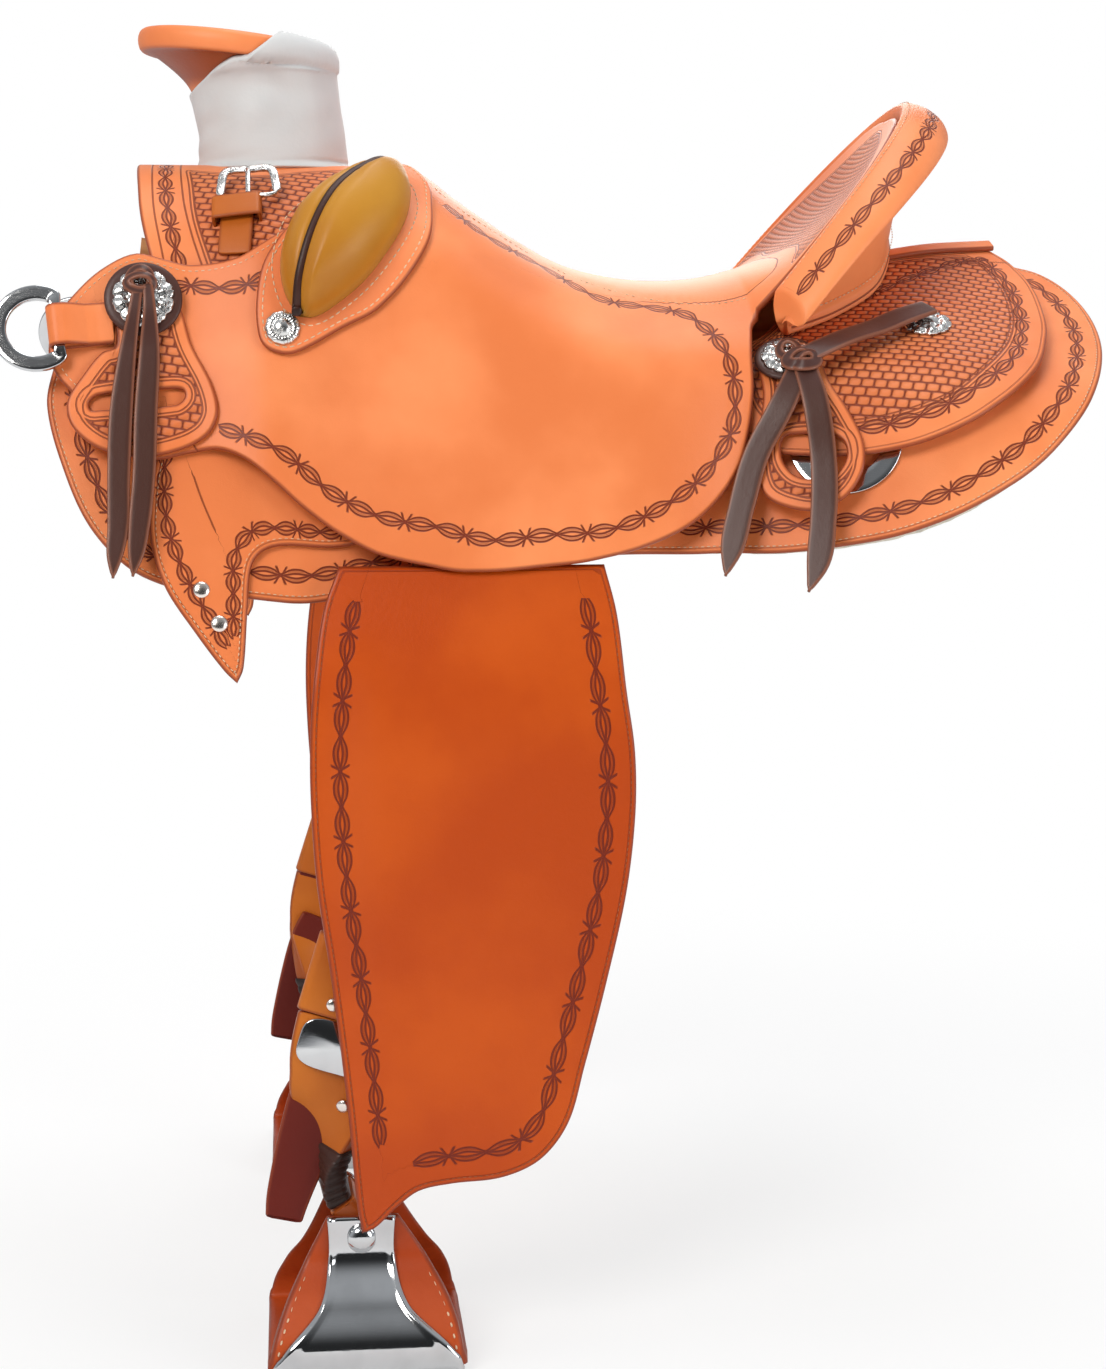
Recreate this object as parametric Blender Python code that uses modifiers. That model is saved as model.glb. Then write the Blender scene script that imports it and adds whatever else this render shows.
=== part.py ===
"""Western wade saddle at rest: tree, leathers, rigging, bucking rolls, fenders and stirrups.

Lengths below are millimetres and become metres when a mesh is made. -X is the horn end, +X the
cantle end, -Y the near side, +Z up. The origin lies on the centre plane, halfway along the skirts,
at the height of the inner edges of the tree bars. Leather pieces are flat patterns, extruded to
their thickness, creased along shared grid lines and bent over one of the forms defined here.
"""
import math

import bmesh
import bpy
import numpy as np
from mathutils import Matrix, Vector

MM = 0.001

# Leather and wood thicknesses
SKIRT = 4.5
PLATE = 4.5
JOCKEY = 4.5
KEEPER = 4.0
FENDER = 4.0
STRAP = 4.5
FLEECE = 12.0
# Clearance between two layers that lie on each other
LAY = 0.5

# Heights of the layers above the fleece
PLATE_AT = SKIRT + LAY
STRAP_AT = 10.5
FENDER_AT = STRAP_AT + STRAP + 0.3
REAR_JOCKEY_AT = 12.0
REAR_JOCKEY_TOP = REAR_JOCKEY_AT + JOCKEY
FLANK_AT = REAR_JOCKEY_TOP + 1.2
STACK_FRONT = 14.5
STACK_MIDDLE = 25.0

# Back form: ridge height, slopes and half width at the reference height
RIDGE = 15.0
SLOPE_TOP = 20.0
SLOPE_SIDE = 72.0
HALF_WIDTH = 174.0
WIDTH_HEIGHT = -150.0
BEND = 80.0
FRONT_FLARE = (-150.0, -320.0)
REAR_FLARE = (45.0, 285.0)

# Seat form: height along the centre, cantle corner and cantle top
SEAT_X = [-135, -112, -90, -67, -30, 6, 40, 76, 125, 165, 210, 252]
SEAT_Z = [121, 120, 112, 95, 70, 50, 41, 38, 44, 59, 99, 161]
CORNER_X = 127.0
CORNER_Z = 11.0
TOP_X = 252.0
TOP_Z = 161.0
EDGE_DROP = 30.0
EDGE_BEND = 70.0

# Horn
HORN_X = -190.5
CAP_X = -214.5
CAP_Z = 190.0
CAP_RADIUS = 66.0
CAP_THICK = 11.0
CAP_TILT = math.radians(6.3)
NECK_RADIUS = 49.0
WRAP = 4.0

# Stirrup leathers, fenders and stirrups
PIVOT_X = -66.0
PIVOT_Z = -55.0
DISC_RADIUS = 46.0
DISC_INNER = -2.0
DISC_OUTER = 10.0
STRAP_WIDTH = 76.0
HINGE_DOWN = 116.0
HANG_SLOPE = 86.0
HINGE_GAP = 0.15
HANG_LENGTH = 130.0
LOWER_WIDTH = 60.0
LOWER_TOP = 44.0  # at the hinge, clear of its slanted end
BOLT = (-142.0, -203.0, -581.0)
BOLT_RADIUS = 5.0
STIRRUP_DROP = 77.0
STIRRUP_TOP_HALF = 26.0
STIRRUP_BOTTOM_HALF = 68.0
STIRRUP_METAL = 2.5
STIRRUP_LINER = 7.0
STIRRUP_NECK = 44.0
STIRRUP_FOOT = 124.0

# Rings and conchos
FRONT_RING = 28.0
REAR_RING = 37.0
RING_BAND = 8.0
RING_THICK = 4.0
ROD = 3.5

for old in list(bpy.data.objects):
    bpy.data.objects.remove(old, do_unlink=True)

SADDLE = bpy.data.collections.new("wade_saddle")
bpy.context.scene.collection.children.link(SADDLE)
TOOLS = bpy.data.collections.new("cutters")
TOOLS.hide_render = True
bpy.context.scene.collection.children.link(TOOLS)


# Curves and forms

def smooth(a, b, x):
    t = np.clip((np.asarray(x, float) - a) / (b - a), 0, 1)
    return t * t * (3 - 2 * t)


def ramp(a, b, x, s=0.22):
    """A straight rise from a to b with a rounded start and end."""
    t = np.clip((np.asarray(x, float) - a) / (b - a), 0, 1)
    middle = (t - s / 2) / (1 - s)
    end = 1 - (1 - t) ** 2 / (2 * s * (1 - s))
    return np.where(t < s, t * t / (2 * s * (1 - s)), np.where(t < 1 - s, middle, end))


def through(x, xs, ys):
    """A smooth curve through the points (xs, ys)."""
    xs, ys, x = np.asarray(xs, float), np.asarray(ys, float), np.asarray(x, float)
    m = np.gradient(ys, xs)
    i = np.clip(np.searchsorted(xs, x) - 1, 0, len(xs) - 2)
    h = xs[i + 1] - xs[i]
    t = np.clip((x - xs[i]) / h, 0, 1)
    return ((2 * t**3 - 3 * t**2 + 1) * ys[i] + (t**3 - 2 * t**2 + t) * h * m[i]
            + (3 * t**2 - 2 * t**3) * ys[i + 1] + (t**3 - t**2) * h * m[i + 1])


def turn(start, end, length, share):
    """Sideways and downward travel along a bend, for the given share of it."""
    q = (np.arange(16) + 0.5) / 16
    t = share[..., None] * q
    angle = start[..., None] + (end - start)[..., None] * t * t * (3 - 2 * t)
    return length * share * np.cos(angle).mean(-1), length * share * np.sin(angle).mean(-1)


def back_section(x):
    front, rear = ramp(*FRONT_FLARE, x), ramp(*REAR_FLARE, x)
    ridge = RIDGE + 75 * front + 38 * rear
    top = np.radians(SLOPE_TOP + 18 * front + 8 * rear)
    side = np.radians(SLOPE_SIDE - 2 * front - 11 * rear)
    half = HALF_WIDTH + 12 * front + 66 * rear
    return ridge, top, side, half


def back(x, u):
    """Form over the horse's back: u is the length down from the centre line, near side positive."""
    x, u = np.broadcast_arrays(np.asarray(x, float), np.asarray(u, float))
    side_sign = np.where(u < 0, 1.0, -1.0)
    u = np.abs(u)
    ridge, top, side, half = back_section(x)
    full_y, full_z = turn(top, side, BEND, np.ones_like(x))
    cot = 1 / np.tan(side)
    straight = ((half - (ridge - full_z - WIDTH_HEIGHT) * cot - full_y)
                / (np.cos(top) - np.sin(top) * cot))
    share = np.clip((u - straight) / BEND, 0, 1)
    by, bz = turn(top, side, BEND, share)
    flat = np.minimum(u, straight)
    rest = np.maximum(u - straight - BEND, 0)
    y = flat * np.cos(top) + by + rest * np.cos(side)
    z = ridge - (flat * np.sin(top) + bz + rest * np.sin(side))
    return np.stack([x, side_sign * y, z], -1)


def stack(x):
    return STACK_FRONT + (STACK_MIDDLE - STACK_FRONT) * smooth(-250, -190, x)


def seat_section(x):
    xs = np.minimum(x, CORNER_X)
    _, _, side, half = back_section(xs)
    centre = through(xs, SEAT_X, SEAT_Z)
    edge = centre - EDGE_DROP - 4 * smooth(60, CORNER_X, xs)
    edge = np.where(xs < CORNER_X, edge, CORNER_Z)
    foot = half + stack(xs) / np.sin(side)
    cot = 1 / np.tan(side)
    width = np.full_like(centre, 130.0)
    for _ in range(6):
        start = np.arctan((centre - edge) * 3 / width)
        by, bz = turn(start, side, EDGE_BEND, np.ones_like(xs))
        width = foot - (edge - bz - WIDTH_HEIGHT) * cot - by
    return edge, width, start, side


RIM_HALF = float(seat_section(np.array(CORNER_X))[1])


def seat(x, w):
    """Outer face of the seat leather: w is 0 on the centre line, 100 at the seat's edge, and
    beyond that 100 plus the length down the side. Behind the corner, 100 is the cantle's rim."""
    x, w = np.broadcast_arrays(np.asarray(x, float), np.asarray(w, float))
    side_sign = np.where(w < 0, 1.0, -1.0)
    w = np.abs(w)
    edge, width, start, side = seat_section(x)
    rim = x > CORNER_X
    up = np.clip((x - CORNER_X) / (TOP_X - CORNER_X), 0, 1)
    rim_half = RIM_HALF * np.sqrt(np.clip(1 - up**2.2, 1e-4, 1))
    rim_z = CORNER_Z + (TOP_Z - CORNER_Z) * up
    half = np.where(rim, rim_half, width)
    low = np.where(rim, rim_z, edge)
    centre = through(x, SEAT_X, SEAT_Z)
    power = 3 - 0.8 * smooth(CORNER_X, 170, x)
    k = np.clip(w / 100, 0, np.where(rim, 9, 1))
    y_top = k * half
    z_top = centre + (low - centre) * k**power
    rest = np.maximum(w - 100, 0)
    share = np.clip(rest / EDGE_BEND, 0, 1)
    by, bz = turn(start, side, EDGE_BEND, share)
    beyond = np.maximum(rest - EDGE_BEND, 0)
    y_side = width + by + beyond * np.cos(side)
    z_side = edge - bz - beyond * np.sin(side)
    side_part = (w > 100) & ~rim
    y = np.where(side_part, y_side, y_top)
    z = np.where(side_part, z_side, z_top)
    return np.stack([x, side_sign * y, z], -1)


SIDE = math.radians(SLOPE_SIDE)
PIVOT_Y = -(HALF_WIDTH - (PIVOT_Z - WIDTH_HEIGHT) / math.tan(SIDE))
OUT = np.array([0, -math.sin(SIDE), math.cos(SIDE)])
UP = np.array([0, math.cos(SIDE), math.sin(SIDE)])
PIVOT = np.array([PIVOT_X, PIVOT_Y, PIVOT_Z])


def side_plane(a, up, out):
    """A point of the flat side: a along X from the pivot, up the slope, and outward."""
    a, up, out = np.broadcast_arrays(*(np.asarray(v, float) for v in (a, up, out)))
    return PIVOT + a[..., None] * [1, 0, 0] + up[..., None] * UP + out[..., None] * OUT


HANG_START = side_plane(0, -HINGE_DOWN, FENDER_AT)


def hang(x, v):
    """Inner face of the hanging fender: v is the length below the hinge line."""
    x, v = np.broadcast_arrays(np.asarray(x, float), np.asarray(v, float))
    q = (np.arange(24) + 0.5) / 24
    angle = np.radians(SLOPE_SIDE + (HANG_SLOPE - SLOPE_SIDE)
                       * smooth(0, HANG_LENGTH, v[..., None] * q))
    y = HANG_START[1] - v * np.cos(angle).mean(-1)
    z = HANG_START[2] - v * np.sin(angle).mean(-1)
    return np.stack([x, y, z], -1)


CURL = 7.0


def fender_form(x, v):
    """The hanging form with the fender's front edge curled outward, clear of the rigging plate."""
    x, v = np.broadcast_arrays(np.asarray(x, float), np.asarray(v, float))
    curl = CURL * smooth(-120, -172, x) * smooth(15, 70, v)
    return hang(x, v) + curl[..., None] * np.array([0, -1.0, 0])


class Form:
    """A form cut into flat facets along shared grid lines, so that layers nest exactly."""

    def __init__(self, point, xs, us):
        self.xs, self.us = np.array(xs, float), np.array(us, float)
        x, u = np.meshgrid(self.xs, self.us, indexing="ij")
        self.points = point(x, u)
        across = point(x + 0.5, u) - point(x - 0.5, u)
        down = point(x, u + 0.5) - point(x, u - 0.5)
        normals = np.cross(down, across)
        self.normals = normals / np.linalg.norm(normals, axis=-1, keepdims=True)

    def place(self, x, u, t):
        x, u, t = (np.asarray(v, float) for v in (x, u, t))
        i = np.clip(np.searchsorted(self.xs, x, side="right") - 1, 0, len(self.xs) - 2)
        j = np.clip(np.searchsorted(self.us, u, side="right") - 1, 0, len(self.us) - 2)
        p = (x - self.xs[i]) / (self.xs[i + 1] - self.xs[i])
        q = (u - self.us[j]) / (self.us[j + 1] - self.us[j])
        result = 0
        for di, wi in ((0, 1 - p), (1, p)):
            for dj, wj in ((0, 1 - q), (1, q)):
                corner = self.points[i + di, j + dj] + t[:, None] * self.normals[i + di, j + dj]
                result = result + (wi * wj)[:, None] * corner
        return result


BACK_X = [-345, -305, -265, -225, -188, -152, 45, 78, 112, 147, 182, 217, 252, 290, 330, 385]
BACK_U = [-5, 60, 100, 121, 142, 163, 184, 208, 250, 310, 385]
SEAT_X_LINES = [-375, -335, -295, -250, -205, -168, -133, -104, -72, -35, 5, 45, 86, CORNER_X, 150,
                173, 196, 215, 230, 241, 248]
SEAT_W = [0, 38, 66, 86, 104, 124, 146, 171, 230, 300, 385]
SEAT_W = [-w for w in SEAT_W[:0:-1]] + SEAT_W
HANG_V = [0, 25, 50, 80, 115, 150, 230, 310, 450]

BACK = Form(back, BACK_X, BACK_U)
SEAT = Form(seat, SEAT_X_LINES, SEAT_W)
HANG = Form(fender_form, [-200, -171, -153, -136, -120, 80], HANG_V)


# Mesh tools

def material(name, colour, roughness, metallic=0.0):
    made = bpy.data.materials.new(name)
    made.use_nodes = True
    shader = made.node_tree.nodes["Principled BSDF"]
    shader.inputs["Base Color"].default_value = (*colour, 1)
    shader.inputs["Roughness"].default_value = roughness
    shader.inputs["Metallic"].default_value = metallic
    return made


LEATHER = ((0.62, 0.20, 0.06), 0.5)
DARK = ((0.10, 0.03, 0.02), 0.6)
TAN = ((0.70, 0.30, 0.10), 0.5)
GOLD = ((0.62, 0.33, 0.07), 0.5)
WHITE = ((0.80, 0.80, 0.77), 0.7)
WOOD = ((0.55, 0.38, 0.22), 0.7)
WOOL = ((0.85, 0.80, 0.68), 0.95)
STEEL = ((0.75, 0.75, 0.77), 0.25, 1.0)
SILVER = ((0.82, 0.81, 0.79), 0.3, 1.0)


def finish(name, mesh, look, cutter=False):
    made = bpy.data.objects.new(name, mesh)
    (TOOLS if cutter else SADDLE).objects.link(made)
    if cutter:
        made.hide_render = True
        made.display_type = "WIRE"
    else:
        mesh.materials.clear()
        mesh.materials.append(material(name, *look))
    return made


def to_mesh(name, bm, shade=False):
    bmesh.ops.recalc_face_normals(bm, faces=bm.faces)
    if bm.calc_volume(signed=True) < 0:
        bmesh.ops.reverse_faces(bm, faces=bm.faces)
    mesh = bpy.data.meshes.new(name)
    bm.to_mesh(mesh)
    bm.free()
    if shade:
        mesh.shade_smooth()
    return mesh


def mirrored(near, name):
    """The far side's own copy of a near side piece."""
    graph = bpy.context.evaluated_depsgraph_get()
    bm = bmesh.new()
    bm.from_mesh(near.evaluated_get(graph).to_mesh())
    bmesh.ops.scale(bm, vec=(1, -1, 1), verts=bm.verts)
    bmesh.ops.reverse_faces(bm, faces=bm.faces)
    mesh = bpy.data.meshes.new(name)
    bm.to_mesh(mesh)
    bm.free()
    made = bpy.data.objects.new(name, mesh)
    SADDLE.objects.link(made)
    shader = near.data.materials[0].node_tree.nodes["Principled BSDF"].inputs
    mesh.materials.clear()
    mesh.materials.append(material(name, shader["Base Color"].default_value[:3],
                                   shader["Roughness"].default_value,
                                   shader["Metallic"].default_value))
    return made


def rounded(points, spacing=24.0):
    """A closed smooth outline through the points; a third value marks a corner."""
    spots = [np.array(p[:2], float) for p in points]
    sharp = [len(p) > 2 for p in points]
    n = len(spots)
    result = []
    for i in range(n):
        p1, p2 = spots[i], spots[(i + 1) % n]
        p0 = p1 if sharp[i] else spots[i - 1]
        p3 = p2 if sharp[(i + 1) % n] else spots[(i + 2) % n]
        length = np.linalg.norm(p2 - p1)
        d0 = max(np.linalg.norm(p1 - p0), 1e-6)
        d2 = max(np.linalg.norm(p3 - p2), 1e-6)
        m1 = (p2 - p1) if sharp[i] else (p2 - p0) * length / (d0 + length)
        m2 = (p2 - p1) if sharp[(i + 1) % n] else (p3 - p1) * length / (d2 + length)
        steps = max(1, round(length / spacing))
        for k in range(steps):
            t = k / steps
            result.append((2 * t**3 - 3 * t**2 + 1) * p1 + (t**3 - 2 * t**2 + t) * m1
                          + (3 * t**2 - 2 * t**3) * p2 + (t**3 - t**2) * m2)
    return [tuple(p) for p in result]


def inset(outline, distance):
    """The outline moved inward by the distance."""
    pts = np.array(outline)
    area = np.sum(pts[:, 0] * np.roll(pts[:, 1], -1) - np.roll(pts[:, 0], -1) * pts[:, 1])
    along = np.roll(pts, -1, 0) - np.roll(pts, 1, 0)
    along /= np.linalg.norm(along, axis=1, keepdims=True)
    inward = np.stack([-along[:, 1], along[:, 0]], 1) * (1 if area > 0 else -1)
    return [tuple(p) for p in pts + inward * distance]


def both_halves(points, spacing=24.0):
    """A whole outline from a near half whose first and last points are on the centre line."""
    half = [p for p in rounded(points, spacing) if p[1] > 1e-6]
    return ([points[0][:2]] + half + [points[-1][:2]] + [(x, -w) for x, w in half[::-1]])


def flat_panel(outline, holes, xs, us):
    """The pattern as a flat plate from 0 to 1 in z, creased on the grid lines."""
    bm = bmesh.new()
    verts = [bm.verts.new((x, u, 0)) for x, u in outline]
    face = bm.faces.new(verts)
    for hole in holes:
        ring = [bm.verts.new((x, u, 0)) for x, u in hole]
        for a, b in zip(ring, ring[1:] + ring[:1]):
            bm.edges.new((a, b))
    if holes:
        bm.faces.remove(face)
        bmesh.ops.triangle_fill(bm, use_beauty=True, use_dissolve=False, edges=bm.edges)
    for x in xs:
        geom = bm.verts[:] + bm.edges[:] + bm.faces[:]
        bmesh.ops.bisect_plane(bm, geom=geom, dist=0.05, plane_co=(x, 0, 0), plane_no=(1, 0, 0))
    for u in us:
        geom = bm.verts[:] + bm.edges[:] + bm.faces[:]
        bmesh.ops.bisect_plane(bm, geom=geom, dist=0.05, plane_co=(0, u, 0), plane_no=(0, 1, 0))
    bmesh.ops.remove_doubles(bm, verts=bm.verts, dist=0.05)
    made = bmesh.ops.extrude_face_region(bm, geom=bm.faces[:])
    top = [g for g in made["geom"] if isinstance(g, bmesh.types.BMVert)]
    bmesh.ops.translate(bm, vec=(0, 0, 1), verts=top)
    bmesh.ops.recalc_face_normals(bm, faces=bm.faces)
    return bm


def panel(name, form, outline, low, high, look, holes=(), extra_x=(), extra_u=(), shade=False):
    """A leather piece: the pattern bent over the form, between two heights above it."""
    xs = sorted(set(form.xs) | set(extra_x))
    us = sorted(set(form.us) | set(extra_u))
    bm = flat_panel(outline, holes, xs, us)
    bmesh.ops.triangulate(bm, faces=bm.faces, ngon_method="EAR_CLIP")
    co = np.array([v.co for v in bm.verts])
    bottom = low(co[:, 0], co[:, 1]) if callable(low) else np.full(len(co), float(low))
    top = high(co[:, 0], co[:, 1]) if callable(high) else np.full(len(co), float(high))
    t = np.where(co[:, 2] > 0.5, top, bottom)
    for vert, place in zip(bm.verts, form.place(co[:, 0], co[:, 1], t)):
        vert.co = place * MM
    return finish(name, to_mesh(name, bm, shade), look)


def loft(name, rings, look, closed=False, shade=False, cutter=False):
    """A skin over sections of the same number of points, with capped ends."""
    bm = bmesh.new()
    rows = [[bm.verts.new(Vector(p) * MM) for p in ring] for ring in rings]
    n = len(rows[0])
    count = len(rows)
    for i in range(count if closed else count - 1):
        a, b = rows[i], rows[(i + 1) % count]
        for j in range(n):
            bm.faces.new((a[j], a[(j + 1) % n], b[(j + 1) % n], b[j]))
    if not closed:
        bm.faces.new(rows[0][::-1])
        bm.faces.new(rows[-1])
    bmesh.ops.triangulate(bm, faces=bm.faces)
    return finish(name, to_mesh(name, bm, shade), look, cutter)


def turned(name, profile, look, steps=32, shade=True):
    """A solid of revolution about Z from an open profile of (radius, height), axis to axis."""
    mesh = bpy.data.meshes.new(name)
    mesh.from_pydata([(r * MM, 0, z * MM) for r, z in profile],
                     [(i, i + 1) for i in range(len(profile) - 1)], [])
    made = finish(name, mesh, look)
    screw = made.modifiers.new("turn", "SCREW")
    screw.steps = screw.render_steps = steps
    screw.use_merge_vertices = True
    screw.merge_threshold = 0.0001
    screw.use_normal_calculate = True
    apply(made)
    bm = bmesh.new()
    bm.from_mesh(made.data)
    bmesh.ops.remove_doubles(bm, verts=bm.verts, dist=1e-6)
    bmesh.ops.recalc_face_normals(bm, faces=bm.faces)
    if bm.calc_volume(signed=True) < 0:
        bmesh.ops.reverse_faces(bm, faces=bm.faces)
    bm.to_mesh(made.data)
    bm.free()
    if shade:
        made.data.shade_smooth()
    return made


def apply(made):
    """Turns the evaluated shape into the object's own mesh."""
    graph = bpy.context.evaluated_depsgraph_get()
    graph.update()
    fresh = bpy.data.meshes.new_from_object(made.evaluated_get(graph))
    fresh.name = made.name
    bm = bmesh.new()
    bm.from_mesh(fresh)
    if bm.calc_volume(signed=True) < 0:
        bmesh.ops.reverse_faces(bm, faces=bm.faces)
        bm.to_mesh(fresh)
    bm.free()
    made.modifiers.clear()
    made.data = fresh


def boolean(target, other, operation):
    cut = target.modifiers.new(operation.lower(), "BOOLEAN")
    cut.operation = operation
    cut.solver = "EXACT"
    cut.object = other
    apply(target)
    bpy.data.objects.remove(other, do_unlink=True)


def cylinder(name, start, end, radius, look=LEATHER, steps=24, cutter=False):
    start, end = np.array(start, float), np.array(end, float)
    bm = bmesh.new()
    axis = Vector(end - start)
    place = Matrix.Translation(Vector((start + end) / 2) * MM) @ axis.to_track_quat(
        "Z", "Y").to_matrix().to_4x4()
    bmesh.ops.create_cone(bm, cap_ends=True, segments=steps, radius1=radius * MM,
                          radius2=radius * MM, depth=axis.length * MM, matrix=place)
    return finish(name, to_mesh(name, bm), look, cutter)


def block(name, corner, opposite, frame, look=LEATHER, cutter=False):
    """A box between two corners given in the frame's own axes."""
    bm = bmesh.new()
    low, high = np.minimum(corner, opposite), np.maximum(corner, opposite)
    bmesh.ops.create_cube(bm, size=1)
    for vert in bm.verts:
        own = (low + high) / 2 + np.array(vert.co) * (high - low)
        vert.co = Vector(frame(own)) * MM
    return finish(name, to_mesh(name, bm), look, cutter)


def stand(made, point, normal, along):
    """Moves a piece made at the origin about Z to a point, with Z along the normal."""
    z = Vector(normal).normalized()
    x = (Vector(along) - z * Vector(along).dot(z)).normalized()
    y = z.cross(x)
    place = Matrix((x, y, z)).transposed().to_4x4()
    place.translation = Vector(point) * MM
    made.data.transform(place)


def spot(form, x, u, t):
    """Point and normal of a form."""
    p = form.place(np.array([x]), np.array([u]), np.array([float(t)]))[0]
    q = form.place(np.array([x]), np.array([u]), np.array([float(t) + 1]))[0]
    return p, (q - p) / np.linalg.norm(q - p)


# Seat form lines over the fork; the top is level there
def seat_spot(x, w, t):
    return SEAT.place(np.array([float(x)]), np.array([float(w)]), np.array([float(t)]))[0]


def back_spot(x, u, t):
    return BACK.place(np.array([float(x)]), np.array([float(u)]), np.array([float(t)]))[0]


# Skirts and fleeces
SKIRT_EDGE = rounded([
    (-332, 178), (-336, 205), (-326, 246), (-309, 285), (-286, 306), (-255, 309), (-225, 302),
    (-180, 291), (-110, 274), (-30, 262), (46, 256), (90, 262), (136, 276), (178, 284), (215, 287),
    (251, 282), (287, 264), (317, 239), (346, 202), (367, 150), (374, 102), (369, 58), (354, 27),
    (330, 12, 1), (230, 10), (100, 24), (-60, 32), (-200, 36), (-285, 56), (-318, 115)], 40)
panel("skirt_left", BACK, SKIRT_EDGE, 0, SKIRT, LEATHER)
panel("fleece_left", BACK, inset(SKIRT_EDGE, 3.0), -LAY - FLEECE, -LAY, WOOL)

# Tree bars, with a rounded carrier and a slot for the stirrup leather
BAR_AT = PLATE_AT + 1.0
BAR_X = [-300, -285, -265, -225, -188, -152, 15, 45, 78, 112, 147, 182, 217, 252, 270]


def bar_section(x):
    low = BAR_AT + 1.2 * float(smooth(-170, -230, x))
    middle = float(smooth(-190, -150, x) * (1 - smooth(15, 55, x)))
    thin = 1 - 0.75 * float(smooth(50, 120, x))
    taper = 1 - 0.5 * float(smooth(-270, -300, x) + smooth(250, 270, x))
    ring = [back_spot(x, u, low) for u in (42, 100, 121, 142, 163, 170)]
    outer = []
    for u, t, up, out in ((170, 3.0, -24, DISC_OUTER), (151, 5.0, 16, DISC_OUTER),
                          (133, 9.0, 47, DISC_OUTER), (110, 13.0, 54, -16.0)):
        free = back_spot(x, u, low + t * thin * taper)
        flat = side_plane(x - PIVOT_X, up, out)
        outer.append(free + (flat - free) * middle)
    for u, t in ((78, 15.5), (44, 13.5)):
        outer.append(back_spot(x, u, low + t * thin * taper))
    return ring + outer


tree_bar = loft("tree_bar_left", [bar_section(x) for x in BAR_X], WOOD)


def own_frame(p):
    return side_plane(*p)


WINDOW = 66.0
cutter = block("slot", (-WINDOW, 10.0, DISC_INNER - 11.5), (WINDOW, 90.0, DISC_OUTER + 8.0),
               own_frame, cutter=True)
disc = cylinder("disc", side_plane(0, 0, DISC_INNER), side_plane(0, 0, DISC_OUTER + 12),
                DISC_RADIUS, steps=40, cutter=True)
boolean(cutter, disc, "DIFFERENCE")
boolean(tree_bar, cutter, "DIFFERENCE")

# Tree fork: an arch over the withers with a gullet
FORK_FRONT = -274.0
FORK_REAR = -117.0
FORK_SKIN_TOP = -JOCKEY - LAY
FORK_SKIN = 4.5
FORK_TOP = FORK_SKIN_TOP - FORK_SKIN - LAY


def fork_section(x):
    lean = float(smooth(-274, -225, x))
    half = [seat_spot(x + (6 if w > 90 and x < -260 else 0), w, FORK_TOP)
            for w in (0, 32, 58, 78, 92, 104, 120, 136, 153, 171, 182)]
    half += [back_spot(x, u, 25.5) for u in (104, 78, 58)]
    half.append(back_spot(x, 47, 26.0))
    half += [np.array([x, -41.0, max(half[-1][2] + 8, 67.0 - 10 * lean)]),
             np.array([x, -27.0, 80.0 - 10 * lean]), np.array([x, 0.0, 84.0 - 10 * lean])]
    far = [p * [1, -1, 1] for p in half[-2:0:-1]]
    return half + far


loft("tree_fork", [fork_section(x) for x in (-274, -250, -205, -168, -133, -117)], WOOD)

# Fork cover
FORK_EDGE = both_halves([
    (-282, 0, 1), (-282, 40), (-280, 80), (-276, 120), (-268, 158), (-262, 176, 1), (-230, 178),
    (-204, 174), (-185, 160), (-160, 130), (-130, 96), (-104, 66, 1), (-101, 30), (-101, 0, 1)], 30)
panel("fork_cover", SEAT, FORK_EDGE, FORK_SKIN_TOP - FORK_SKIN, FORK_SKIN_TOP, LEATHER)

# Seat leather with its jockeys, one piece over both sides
SEAT_EDGE = both_halves([
    (-99, 0, 1), (-99, 30), (-101, 56, 1), (-118, 76), (-140, 98), (-170, 122), (-199, 144),
    (-216, 154), (-244, 158), (-261, 154), (-279, 150), (-299, 160), (-316, 176), (-331, 198),
    (-333, 226), (-312, 254), (-291, 277), (-268, 290), (-246, 286), (-228, 283), (-211, 289),
    (-193, 303), (-174, 321), (-149, 340), (-118, 355), (-89, 352), (-64, 336), (-13, 298.5),
    (15, 281.5), (43, 268), (74, 251), (94, 232), (108, 211), (116, 186), (120, 160), (121, 135),
    (124, 108, 1), (129, 97, 1), (150, 97), (173, 96.5), (196, 96), (215, 95), (230, 92),
    (241, 84), (245.5, 66, 1), (246.5, 40), (246.5, 0, 1)], 38)
panel("seat_leather", SEAT, SEAT_EDGE, -JOCKEY, 0, LEATHER)

# Ground seat under the leather
GROUND_EDGE = both_halves([
    (-94, 0, 1), (-94, 30), (-92, 58), (-80, 100), (-60, 117), (-10, 118), (40, 118), (80, 116),
    (120, 102), (122, 60), (122, 0, 1)], 60)
panel("ground_seat", SEAT, GROUND_EDGE, -JOCKEY - LAY - 5.0, -JOCKEY - LAY, WOOD)

# Rear jockeys
REAR_JOCKEY_EDGE = rounded([
    (222, 26, 1), (240, 25), (284, 19), (319, 14, 1), (329, 34), (336, 68), (334, 113), (327, 147),
    (309, 188), (271, 220), (237, 232), (198, 231), (160, 221), (128, 206), (112, 180), (112, 140),
    (135, 118), (160, 84), (190, 52)], 34)
panel("rear_jockey_left", BACK, REAR_JOCKEY_EDGE, REAR_JOCKEY_AT, REAR_JOCKEY_TOP, LEATHER)

# Front rigging plates
PLATE_EDGE = rounded([
    (-266, 225), (-271, 262), (-270, 289), (-261, 313), (-244, 333), (-225, 352), (-217, 357, 1),
    (-213, 346), (-210, 307), (-207, 277), (-198, 263), (-180, 254), (-143, 250), (-131, 246, 1),
    (-131, 215), (-150, 192), (-200, 184), (-250, 188)], 40)
panel("rigging_plate_left", BACK, PLATE_EDGE, PLATE_AT,
      lambda x, u: PLATE_AT + PLATE - 1.5 * smooth(300, 350, u), LEATHER)

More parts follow.
